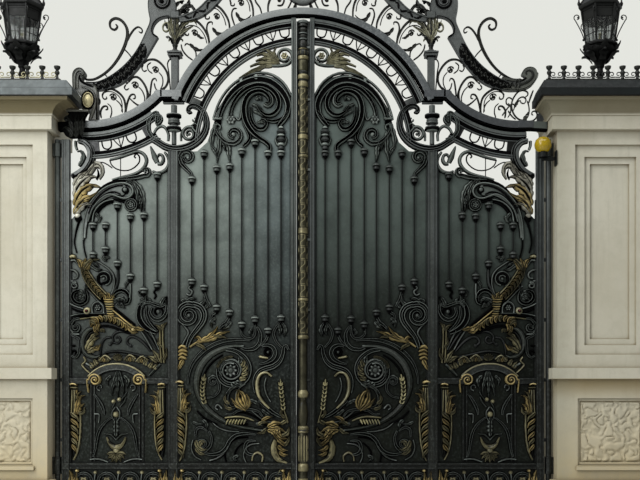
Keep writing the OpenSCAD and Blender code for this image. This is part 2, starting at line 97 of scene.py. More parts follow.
def spiral(cx, cy, r0, deg, turns, r1, step=30, ease=1.0):
    """Grid points of a spiral from radius r0 at angle deg, clockwise on the grid for positive turns."""
    n = max(3, int(abs(turns) * 360 / step) + 1)
    out = []
    for i in range(n):
        t = i / (n - 1)
        r = r0 + (r1 - r0) * t ** ease
        d = math.radians(deg + 360 * turns * t)
        out.append((cx + r * math.cos(d), cy + r * math.sin(d)))
    return out


def chain(*items):
    out = []
    for it in items:
        if isinstance(it, list):
            out.extend(it)
        else:
            out.append(it)
    return out


class Shape:
    """Collects vertices (a, y, z) in metres, a counted outwards from the gate's centre line."""

    def __init__(self):
        self.v, self.f, self.m, self.flat = [], [], [], []
        # the black line beside each bar is a painted shadow
        self.black, self.line = None, 0.5      # material of the dark line left beside each bar, and its width in squares

    def add(self, verts, faces, mat=0, flat=False):
        o = len(self.v)
        self.v.extend(verts)
        self.f.extend([tuple(o + i for i in f) for f in faces])
        self.m.extend([mat] * len(faces))
        self.flat.extend([flat] * len(faces))

    def loft(self, rings, mat=0, caps=(True, True), closed=True):
        n = len(rings[0])
        verts = [p for r in rings for p in r]
        faces = []
        for i in range(len(rings) - 1):
            for j in range(n if closed else n - 1):
                k = (j + 1) % n
                faces.append((i * n + j, i * n + k, (i + 1) * n + k, (i + 1) * n + j))
        if caps[0]:
            faces.append(tuple(range(n - 1, -1, -1)))
        if caps[1]:
            b = (len(rings) - 1) * n
            faces.append(tuple(b + j for j in range(n)))
        self.add(verts, faces, mat)


def grid_at(p):
    return (303 - p[0]) / 100.0, (550 - p[1]) / 100.0


SECTIONS = {
    "mould": [(-1, 0), (-1, .62), (-.95, .86), (-.86, .98), (-.74, .98), (-.65, .82), (-.6, .45), (-.24, .42), (-.17, .62), (0, .70)],
    "cove": [(-1, 0), (-1, .8), (-.93, .97), (-.84, 1), (-.76, .9), (-.6, .62), (-.32, .46), (0, .4)],
    "round": [(-1, 0), (-.97, .3), (-.86, .56), (-.68, .77), (-.44, .92), (0, 1)],
    "ridge": [(-1, 0), (-1, .3), (-.82, .5), (-.5, .66), (-.2, .86), (0, 1)],
    "flat": [(-1, 0), (-1, .84), (-.95, .95), (-.86, 1), (0, 1)],
    "double": [(-1, 0), (-1, .7), (-.9, .95), (-.74, 1), (-.6, .9), (-.5, .55), (-.25, .5), (-.12, .62), (0, .66)],
}
for _k, _s in list(SECTIONS.items()):
    SECTIONS[_k] = _s + [(-t, h) for t, h in reversed(_s[:-1])]
# the strips of a section that are coloured black in its hollows and skirts, a painted shade
HOLLOWS = {"mould": (0, 6, 7, 8, 11, 12, 13, 19), "cove": (0, 5, 6, 7, 8, 9, 10, 15), "double": (0, 6, 7, 10, 11, 17), "round": (0, 11), "ridge": (0, 11), "flat": (0, 9)}


def sweep(S, pts, widths, H=0.03, sec="mould", y0=0.010, yb=0.021, ds=1.2, mat=0, ends=(0.0, 0.0), lift=0.0, grid=True, n=8, skirt=0.42):
    """A moulded bar that follows pts. widths in grid squares, H its relief in metres, ends the rounding at each end in squares."""
    c, share, total = resample(smooth(pts, n=n), ds)
    sect = SECTIONS[sec]
    rings = []
    under = []
    m = len(c)
    kept, turn, last = [0], 0.0, 0
    for i in range(1, m - 1):
        p, q, r = c[i - 1], c[i], c[i + 1]
        a, b = math.atan2(q[1] - p[1], q[0] - p[0]), math.atan2(r[1] - q[1], r[0] - q[0])
        turn += abs((b - a + math.pi) % (2 * math.pi) - math.pi)
        near = (ends[0] and share[i] * total < ends[0] + ds) or (ends[1] and (1 - share[i]) * total < ends[1] + ds)
        if turn > .19 or i - last >= 4 or near:
            kept.append(i)
            turn, last = 0.0, i
    kept.append(m - 1)
    for i in kept:
        a, b = c[max(i - 1, 0)], c[min(i + 1, m - 1)]
        tx, tz = b[0] - a[0], b[1] - a[1]
        L = math.hypot(tx, tz) or 1
        nx, nz = -tz / L, tx / L
        s = share[i]
        w = lerp_list(widths, s) / 2
        h = H if not isinstance(H, (list, tuple)) else lerp_list(H, s)
        for e, dist in ((ends[0], s * total), (ends[1], (1 - s) * total)):
            if e and dist < e:
                k = math.sqrt(max(0.0, 1 - (1 - dist / e) ** 2))
                w *= max(k, 0.12)
                h *= 0.55 + 0.45 * k
        lf = lerp_list(lift, s)
        ring = []
        sk = min(skirt, 0.45 * w + 0.1)
        for t, hh in ((-1, -1),) + tuple(sect) + ((1, -1),):
            o = w * t + (0 if hh > 0 else sk * t * (1.0 if hh < 0 else 0.35))
            q = (c[i][0] + nx * o, c[i][1] + nz * o)
            A, Z = grid_at(q) if grid else q
            ring.append((A, y0 - (lf if hh > 0 else 0) - h * max(hh, 0) - (0.0012 if hh < 0 else 0.0 if hh > 0 else min(.006, .25 * h)), Z))
        for t in (0.96, -0.96):
            q = (c[i][0] + nx * w * t, c[i][1] + nz * w * t)
            A, Z = grid_at(q) if grid else q
            ring.append((A, yb, Z))
        rings.append(ring)
        # a black strip under the bar, a little wider than it: a painted shadow round it on the sheet
        if S.black is not None and mat != S.black:
            o, ln = w + sk + S.line * min(1.0, .35 + .3 * w), []
            for t, y in ((-o, yb - .0005), (-o, y0 - .0008), (o, y0 - .0008), (o, yb - .0005)):
                A, Z = grid_at((c[i][0] + nx * t, c[i][1] + nz * t))
                ln.append((A, y, Z))
            under.append(ln)
    S.loft(rings, mat)
    # the section's hollows and skirts coloured black: painted shade
    if S.black is not None and sec in HOLLOWS:
        k = len(rings[0])
        first = len(S.m) - ((len(kept) - 1) * k + 2)
        for i in range(len(kept) - 1):
            wide = lerp_list(widths, share[kept[i]]) > 2.4
            for j in HOLLOWS[sec]:
                if wide or j in (0, HOLLOWS[sec][-1]):
                    S.m[first + i * k + j] = S.black
    if under and abs(yb - y0) > .004:
        S.loft(under, S.black)
    return c


def blade(S, pts, W, H=0.03, lobes=4, y0=0.010, yb=0.021, rise=0.0, mat=0, n=None, tip=0.15, base=0.35, droop=0.25, lift=0.0):
    """A leaf along pts: W its greatest half width in grid squares, lobed edges that point forward, a sunk midrib."""
    dense = smooth(pts, n=8)
    _, _, total = resample(dense, 1.0)
    n = n or max(9, min(32, int(lobes * 4)))
    c, share, total = resample(dense, total / n)
    m = len(c)
    across = (-1, -.80, -.48, -.14, 0, .14, .48, .80, 1)
    rings = []
    under = []
    for i in range(m):
        a, b = c[max(i - 1, 0)], c[min(i + 1, m - 1)]
        tx, tz = b[0] - a[0], b[1] - a[1]
        L = math.hypot(tx, tz) or 1
        tx, tz = tx / L, tz / L
        nx, nz = -tz, tx
        s = share[i]
        env = (base + (1 - base) * math.sin(math.pi * min(1, s * 1.15) ** 0.8) if s < 0.87 else base + (1 - base) * math.sin(math.pi * min(1, 0.87 * 1.15) ** 0.8))
        if s > 0.6:
            env *= 1 - (1 - tip) * ((s - 0.6) / 0.4) ** 1.5
        ph = (s * lobes) % 1.0
        lob = 0.66 + 0.34 * math.sin(math.pi * min(ph * 1.25, 1)) ** 0.7 if lobes else 1.0
        w = max(W * env * lob, 0.12)
        sw = 0.55 * W * env * (1 - ph) if lobes else 0
        ring = []
        for v in (-1.01,) + across + (1.01,):
            av = min(abs(v), 1)
            o = w * v if abs(v) <= 1 else (w + min(.38, .4 * w)) * (1 if v > 0 else -1)
            q = (c[i][0] + nx * o - tx * sw * av * av * 0.8, c[i][1] + nz * o - tz * sw * av * av * 0.8)
            prof = 0.52 + 0.48 * math.sin(math.pi * min(av / 0.62, 1) * 0.5) if av <= 0.62 else 1 - droop - (1 - droop) * 0.55 * ((av - 0.62) / 0.38) ** 1.4 + droop * (1 - (av - .62) / .38)
            prof *= 0.86 + 0.14 * (lob - 0.66) / 0.34 if lobes else 1
            h = lift + H * prof + rise * s * s
            if abs(v) > 1:
                h = .0012
            A, Z = grid_at(q)
            ring.append((A, y0 - h, Z))
        for v in (0.8, -0.8):
            q = (c[i][0] + nx * w * v, c[i][1] + nz * w * v)
            A, Z = grid_at(q)
            ring.append((A, yb, Z))
        rings.append(ring)
        # a black strip under the leaf, a little wider than it: a painted shadow round it on the sheet
        if S.black is not None:
            o, ln = w + min(.38, .4 * w) + S.line * .8, []
            for t, y in ((-o, yb - .0005), (-o, y0 - .0008), (o, y0 - .0008), (o, yb - .0005)):
                A, Z = grid_at((c[i][0] + nx * t - tx * sw * .8, c[i][1] + nz * t - tz * sw * .8))
                ln.append((A, y, Z))
            under.append(ln)
    S.loft(rings, mat)
    if under:
        S.loft(under, S.black)


def lathe_z(S, a, y, prof, n=20, mat=0, clip=None):
    """Turned about a vertical axis. prof is (radius, z) in metres."""
    rings = []
    for r, z in prof:
        ring = []
        for k in range(n):
            d = 2 * math.pi * k / n
            yy = y + r * math.sin(d)
            if clip is not None:
                yy = min(yy, clip)
            ring.append((a + r * math.cos(d), yy, z))
        rings.append(ring)
    S.loft(rings, mat)


def lathe_y(S, p, prof, n=20, mat=0, petals=0, depth=0.0):
    """Turned about a line towards the road through grid point p. prof is (radius in metres, y)."""
    A, Z = grid_at(p)
    rings = []
    for r, y in prof:
        ring = []
        for k in range(n):
            d = 2 * math.pi * k / n
            rr = r * (1 + depth * math.cos(petals * d)) if petals else r
            ring.append((A + rr * math.cos(d), y, Z + rr * math.sin(d)))
        rings.append(ring)
    S.loft(rings, mat)


def dome(S, p, r, h, y0=0.010, mat=0, n=18, yb=0.015):
    """A round button on the sheet; r in grid squares, h in metres."""
    R = r / 100
    lathe_y(S, p, [(R * 0.9, yb), (R, y0), (R * 0.97, y0 - h * .35), (R * .8, y0 - h * .72), (R * .45, y0 - h * .95), (R * .08, y0 - h)], n, mat)


def rosette(S, p, r, h, y0=0.010, mat=0, petals=6, yb=0.015):
    R = r / 100
    n = petals * 6
    A, Z = grid_at(p)
    rings = []
    for rr, hh, dp in ((0.9, None, .08), (1.0, .1, .14), (.98, .45, .16), (.8, .8, .12), (.55, .72, .06), (.36, .5, 0), (.34, .85, 0), (.22, 1.05, 0), (.04, 1.15, 0)):
        ring = []
        for k in range(n):
            d = 2 * math.pi * k / n
            q = R * rr * (1 + dp * math.cos(petals * d))
            y = yb if hh is None else y0 - h * hh * (1 + 0.12 * dp * 8 * math.cos(petals * d))
            ring.append((A + q * math.cos(d), y, Z + q * math.sin(d)))
        rings.append(ring)
    S.loft(rings, mat)


def ball(S, a, y, z, r, mat=0, n=16, sq=(1, 1, 1)):
    rings = []
    for i in range(1, n // 2):
        d = math.pi * i / (n // 2)
        rings.append([(a + r * sq[0] * math.sin(d) * math.cos(2 * math.pi * k / n), y + r * sq[1] * math.sin(d) * math.sin(2 * math.pi * k / n), z + r * sq[2] * math.cos(d)) for k in range(n)])
    S.loft(rings, mat)


def brick(S, a0, a1, y0, y1, z0, z1, mat=0, c=0.0):
    """A block with its edges cut by c."""
    if c <= 0:
        v = [(x, y, z) for z in (z0, z1) for x, y in ((a0, y0), (a1, y0), (a1, y1), (a0, y1))]
        S.add(v, [(3, 2, 1, 0), (4, 5, 6, 7), (0, 1, 5, 4), (1, 2, 6, 5), (2, 3, 7, 6), (3, 0, 4, 7)], mat)
        return
    rings = []
    for z, e in ((z0, c), (z0 + c, 0), (z1 - c, 0), (z1, c)):
        x0, x1, u0, u1 = a0 + e, a1 - e, y0 + e, y1 - e
        rings.append([(x0 + c, u0, z), (x1 - c, u0, z), (x1, u0 + c, z), (x1, u1 - c, z), (x1 - c, u1, z), (x0 + c, u1, z), (x0, u1 - c, z), (x0, u0 + c, z)])
    S.loft(rings, mat)


def straight(S, a0, z0, a1, z1, sec, y=0.0, mat=0):
    """A straight moulded bar between two points in the gate's plane. sec is a closed loop of (across, y) in metres, across to the left of the way it runs."""
    tx, tz = a1 - a0, z1 - z0
    L = math.hypot(tx, tz)
    nx, nz = -tz / L, tx / L
    rings = [[(p[0] + nx * t, y + yy, p[1] + nz * t) for t, yy in sec] for p in ((a0, z0), (a1, z1))]
    S.loft(rings, mat)


def arc_bar(S, c, sec, d0, d1, step=2.0, mat=0, cols=None):
    """A bar bent round c; sec is a closed loop of (radius, y) in metres, angles counted from the outward direction."""
    n = max(2, int(abs(d1 - d0) / step) + 1)
    rings = []
    for i in range(n + 1):
        d = math.radians(d0 + (d1 - d0) * i / n)
        rings.append([(c[0] + r * math.cos(d), y, c[1] + r * math.sin(d)) for r, y in sec])
    S.loft(rings, mat)
    if cols:
        m = len(sec)
        first = len(S.m) - (n * m + 2)
        for i in range(n):
            for j in cols:
                S.m[first + i * m + j] = cols[j]


def build(name, S, mats, body, side=1, origin=(GX, GY), angle=32, mirror=True):
    """One object from S, for the right half (side 1) or mirrored for the left (side -1)."""
    me = bpy.data.meshes.new(name)
    v = [(origin[0] + side * p[0], origin[1] + p[1], p[2]) for p in S.v]
    f = [tuple(reversed(q)) for q in S.f] if side < 0 else S.f
    me.from_pydata(v, [], f)
    for m in mats:
        me.materials.append(m)
    me.polygons.foreach_set("material_index", S.m)
    import bmesh
    bm = bmesh.new()
    bm.from_mesh(me)
    bmesh.ops.recalc_face_normals(bm, faces=bm.faces)
    bm.to_mesh(me)
    bm.free()
    me.shade_smooth()
    me.set_sharp_from_angle(angle=math.radians(angle))
    me.validate()
    ob = bpy.data.objects.new(name, me)
    bpy.context.scene.collection.objects.link(ob)
    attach(ob, body)
    return ob


# ------------------------------------------------------------------ materials
def nodes_of(name):
    m = bpy.data.materials.new(name)
    m.use_nodes = True
    nt = m.node_tree
    return m, nt, nt.nodes["Principled BSDF"]


def tex(nt, scale, detail=4.0, rough=0.55, stretch=None, kind="noise"):
    co = nt.nodes.new("ShaderNodeTexCoord")
    src = co.outputs["Object"]
    if stretch:
        mp = nt.nodes.new("ShaderNodeMapping")
        mp.inputs["Scale"].default_value = stretch
        nt.links.new(src, mp.inputs["Vector"])
        src = mp.outputs["Vector"]
    if kind == "noise":
        t = nt.nodes.new("ShaderNodeTexNoise")
        t.inputs["Scale"].default_value = scale
        t.inputs["Detail"].default_value = detail
        t.inputs["Roughness"].default_value = rough
        nt.links.new(src, t.inputs["Vector"])
        return t.outputs["Fac"]
    t = nt.nodes.new("ShaderNodeTexVoronoi")
    t.inputs["Scale"].default_value = scale
    nt.links.new(src, t.inputs["Vector"])
    return t.outputs["Distance"]


def remap(nt, src, a, b, c=0.0, d=1.0):
    n = nt.nodes.new("ShaderNodeMapRange")
    n.interpolation_type = "SMOOTHSTEP"
    n.inputs["From Min"].default_value = a
    n.inputs["From Max"].default_value = b
    n.inputs["To Min"].default_value = c
    n.inputs["To Max"].default_value = d
    nt.links.new(src, n.inputs["Value"])
    return n.outputs["Result"]


def mixc(nt, fac, a, b, mode="MIX"):
    n = nt.nodes.new("ShaderNodeMix")
    n.data_type = "RGBA"
    n.blend_type = mode
    for i, x in ((0, fac), (6, a), (7, b)):
        if isinstance(x, (int, float)):
            n.inputs[i].default_value = x
        elif isinstance(x, tuple):
            n.inputs[i].default_value = (*x, 1.0)
        else:
            nt.links.new(x, n.inputs[i])
    return n.outputs[2]


def math2(nt, op, a, b):
    n = nt.nodes.new("ShaderNodeMath")
    n.operation = op
    n.use_clamp = False
    for i, x in ((0, a), (1, b)):
        if isinstance(x, (int, float)):
            n.inputs[i].default_value = x
        else:
            nt.links.new(x, n.inputs[i])
    return n.outputs[0]


def height_share(nt, z0, z1):
    co = nt.nodes.new("ShaderNodeTexCoord")
    sp = nt.nodes.new("ShaderNodeSeparateXYZ")
    nt.links.new(co.outputs["Object"], sp.inputs[0])
    return remap(nt, sp.outputs["Z"], z0, z1)


def point(nt, a, b):
    g = nt.nodes.new("ShaderNodeNewGeometry")
    return remap(nt, g.outputs["Pointiness"], a, b)


def bump(nt, bs, heights, dist=0.001, strength=1.0):
    b = nt.nodes.new("ShaderNodeBump")
    b.inputs["Distance"].default_value = dist
    b.inputs["Strength"].default_value = strength
    nt.links.new(heights, b.inputs["Height"])
    nt.links.new(b.outputs["Normal"], bs.inputs["Normal"])


def relief(nt, a, b, both=False):
    """0 where the surface lies deeper than a, 1 where it stands out to b. Depths are in metres in front of the gate's middle plane; the far side counts as standing out unless both is set."""
    co = nt.nodes.new("ShaderNodeTexCoord")
    sp = nt.nodes.new("ShaderNodeSeparateXYZ")
    nt.links.new(co.outputs["Object"], sp.inputs[0])
    y = math2(nt, "MULTIPLY", math2(nt, "SUBTRACT", sp.outputs["Y"], GY), -1.0)
    if both:
        return remap(nt, math2(nt, "ABSOLUTE", y, 0.0), a, b)
    front = remap(nt, y, a, b)
    back = remap(nt, y, -0.0195, -0.0205)
    back.node.inputs["From Min"].default_value, back.node.inputs["From Max"].default_value = -0.0205, -0.0175
    back.node.inputs["To Min"].default_value, back.node.inputs["To Max"].default_value = 1.0, 0.0
    return math2(nt, "MAXIMUM", front, back)


def hollow(nt, dist, a, b, samples=6):
    """0 in a hollow, 1 on an open surface, from ambient occlusion; it paints shade into hollows."""
    n = nt.nodes.new("ShaderNodeAmbientOcclusion")
    n.samples = samples
    n.inputs["Distance"].default_value = dist
    return remap(nt, n.outputs["AO"], a, b)


def iron(name, low, high, z0, z1, rough=0.42, edge=0.5, spec=0.5, wear_and_edge_light=True, dust=0.3, depth=None, deep=0.12, bump_h=0.0006, ao=(0.035, 0.45, 0.92), across=None):
    """Painted iron: darker low down, a painted shade, and paler high up, partly dust and partly a painted sky sheen;
    mottled, flecked with dust and streaked; darker in its creases; darker in its hollows and where it lies near the
    sheet, a painted shade; paler along its edges, wear and a painted highlight; with across, darker towards one side, a
    painted falloff of the sheen.
    """
    m, nt, bs = nodes_of(name)
    # darker low down and paler high up: painted shade below, dust and a painted sky sheen above
    base = mixc(nt, height_share(nt, z0, z1), low, high)
    # across: darker towards one side, a painted falloff of the sheen
    if across:
        co = nt.nodes.new("ShaderNodeTexCoord")
        sp = nt.nodes.new("ShaderNodeSeparateXYZ")
        nt.links.new(co.outputs["Object"], sp.inputs[0])
        base = mixc(nt, remap(nt, sp.outputs["X"], across[0], across[1]), base, across[2], "MULTIPLY")
    mottled = mixc(nt, remap(nt, tex(nt, 2.6, 5), 0.36, 0.68, 0.0, 0.45), base, tuple(c * 0.6 for c in low))
    fine = mixc(nt, remap(nt, tex(nt, 46, 5, 0.6), 0.45, 0.75, 0.0, dust), mottled, tuple(min(1, c * 1.6 + 0.004) for c in high))
    out = mixc(nt, remap(nt, tex(nt, 6, 5, 0.6, stretch=(2.0, 2.0, 0.12)), 0.52, 0.74, 0.0, dust * 0.8), fine, tuple(c * 0.5 for c in low))
    # darker in creases; paler on edges, wear and a painted highlight
    if wear_and_edge_light:
        out = mixc(nt, point(nt, 0.40, 0.50), tuple(c * 0.30 for c in low), out)
        out = mixc(nt, math2(nt, "MULTIPLY", point(nt, 0.53, 0.62), edge), out, tuple(min(1, c * 2.2 + 0.015) for c in high))
    # darker where the surface lies near the sheet, lighter where it stands out: painted shade
    if depth:
        out = mixc(nt, relief(nt, *depth), tuple(c * deep for c in low), out)
    # darker in hollows found by ambient occlusion: painted shade
    if ao:
        out = mixc(nt, hollow(nt, *ao), tuple(c * 0.12 for c in low), out)
    nt.links.new(out, bs.inputs["Base Color"])
    bs.inputs["Specular IOR Level"].default_value = spec
    nt.links.new(remap(nt, tex(nt, 22, 6, 0.6), 0.3, 0.75, rough - 0.08, rough + 0.12), bs.inputs["Roughness"])
    h = math2(nt, "ADD", tex(nt, 260, 3, 0.5), math2(nt, "MULTIPLY", tex(nt, 30, 4), 1.6))
    bump(nt, bs, h, bump_h, 0.5)
    return m


def gilt(name, gold, dark, wear_and_edge_light=0.5, rough=0.34, metal=0.85, ao=(0.030, 0.42, 0.80)):
    """Gilding that is rubbed and tarnished: gold on what stands up, dark iron in the hollows, where an ambient
    occlusion mask also paints shade.
    """
    m, nt, bs = nodes_of(name)
    n = remap(nt, tex(nt, 26, 5, 0.6), 0.36, 0.66)
    p = point(nt, 0.46, 0.57)
    f = remap(nt, math2(nt, "ADD", math2(nt, "MULTIPLY", p, 0.8), math2(nt, "MULTIPLY", n, 0.55)), wear_and_edge_light - 0.16, wear_and_edge_light + 0.20)
    # darker in hollows found by ambient occlusion: painted shade
    f = math2(nt, "MULTIPLY", f, hollow(nt, *ao))
    tarn = mixc(nt, remap(nt, tex(nt, 9, 4), 0.4, 0.7), gold, tuple(c * 0.45 for c in gold))
    nt.links.new(mixc(nt, f, dark, tarn), bs.inputs["Base Color"])
    nt.links.new(math2(nt, "MULTIPLY", f, metal), bs.inputs["Metallic"])
    nt.links.new(remap(nt, tex(nt, 60, 4), 0.3, 0.7, rough, rough + 0.18), bs.inputs["Roughness"])
    bump(nt, bs, tex(nt, 180, 4), 0.0008, 0.5)
    return m


def stone(name, light, shade, foot, z0=0.0, z1=5.0):
    """Limestone: warmer and dirtier towards the foot, streaked by rain, pitted; dark brown under the cap's overhang, a
    painted shadow, stronger on the left pier; darker under the right pier's ledge, partly a stain and partly a painted
    shade; darker on the right pier's jamb and in hollows, a painted shade.
    """
    m, nt, bs = nodes_of(name)
    a = mixc(nt, remap(nt, tex(nt, 1.3, 5), 0.35, 0.65), light, shade)
    a = mixc(nt, height_share(nt, 1.9, 0.5), a, foot)
    b = mixc(nt, remap(nt, tex(nt, 9, 6, 0.65), 0.42, 0.7, 0, 0.30), a, tuple(c * 0.84 for c in shade))
    streak = remap(nt, tex(nt, 5, 4, 0.6, stretch=(3.0, 3.0, 0.22)), 0.52, 0.80, 0.0, 0.30)
    c = mixc(nt, streak, b, tuple(x * 0.66 for x in shade))
    d = mixc(nt, remap(nt, tex(nt, 120, 3, 0.6), 0.52, 0.72, 0, 0.22), c, tuple(x * 0.72 for x in shade))
    # under the cap's overhang: a painted shadow
    under = math2(nt, "MULTIPLY", height_share(nt, 4.270, 4.300), height_share(nt, 4.430, 4.420))
    d = mixc(nt, math2(nt, "MULTIPLY", under, 0.80), d, (shade[0] * 0.26, shade[1] * 0.23, shade[2] * 0.15))
    co = nt.nodes.new("ShaderNodeTexCoord")
    sp = nt.nodes.new("ShaderNodeSeparateXYZ")
    nt.links.new(co.outputs["Object"], sp.inputs[0])
    right = remap(nt, sp.outputs["X"], -1.0, 1.0)
    left = remap(nt, sp.outputs["X"], 1.0, -1.0)
    # stronger on the left pier: more painted shadow
    d = mixc(nt, math2(nt, "MULTIPLY", math2(nt, "MULTIPLY", under, left), 0.55), d, (shade[0] * 0.20, shade[1] * 0.16, shade[2] * 0.06))
    # under the ledge on the right pier: partly a stain, partly a painted shade
    ledge = math2(nt, "MULTIPLY", height_share(nt, 1.46, 1.68), height_share(nt, 1.712, 1.706))
    d = mixc(nt, math2(nt, "MULTIPLY", math2(nt, "MULTIPLY", ledge, right), 0.75), d, (shade[0] * 0.61, shade[1] * 0.49, shade[2] * 0.27))
    # the right pier's jamb darker: painted shade
    jamb = remap(nt, sp.outputs["X"], 2.60, 2.36)
    d = mixc(nt, math2(nt, "MULTIPLY", math2(nt, "MULTIPLY", jamb, right), 0.38), d, (shade[0] * 0.48, shade[1] * 0.50, shade[2] * 0.46))
    # darker in hollows found by ambient occlusion: painted shade
    d = mixc(nt, hollow(nt, 0.16, 0.10, 0.80), (shade[0] * 0.40, shade[1] * 0.34, shade[2] * 0.24), d)
    d = mixc(nt, hollow(nt, 0.03, 0.25, 0.85), (shade[0] * 0.58, shade[1] * 0.52, shade[2] * 0.42), d)
    nt.links.new(d, bs.inputs["Base Color"])
    bs.inputs["Specular IOR Level"].default_value = 0.2
    nt.links.new(remap(nt, tex(nt, 14, 4), 0.3, 0.7, 0.74, 0.92), bs.inputs["Roughness"])
    h = math2(nt, "ADD", math2(nt, "MULTIPLY", tex(nt, 18, 8, 0.7), 1.5), tex(nt, 150, 4, 0.7))
    bump(nt, bs, h, 0.0022, 0.45)
    return m


def lead(name, light, dark):
    """Sheet lead: dull, cloudy, with pale streaks and a dark lap line; nearly black below the drip's edge, a painted
    shade.
    """
    m, nt, bs = nodes_of(name)
    a = mixc(nt, remap(nt, tex(nt, 2.6, 6, 0.65), 0.38, 0.66), dark, light)
    b = mixc(nt, remap(nt, tex(nt, 8, 4, 0.6, stretch=(1.5, 1.5, 0.3)), 0.5, 0.75, 0, 0.5), a, tuple(min(1, c * 1.35) for c in light))
    lap = math2(nt, "MULTIPLY", height_share(nt, 4.492, 4.496), height_share(nt, 4.506, 4.502))
    b = mixc(nt, math2(nt, "MULTIPLY", lap, 0.55), b, tuple(c * 0.35 for c in dark))
    # nearly black below the drip's edge: painted shade
    b = mixc(nt, height_share(nt, 4.434, 4.428), b, tuple(c * 0.18 for c in dark))
    nt.links.new(b, bs.inputs["Base Color"])
    bs.inputs["Metallic"].default_value = 0.2
    bs.inputs["Specular IOR Level"].default_value = 0.3
    nt.links.new(remap(nt, tex(nt, 30, 4), 0.3, 0.7, 0.46, 0.64), bs.inputs["Roughness"])
    bump(nt, bs, tex(nt, 12, 6, 0.6), 0.004, 0.45)
    return m


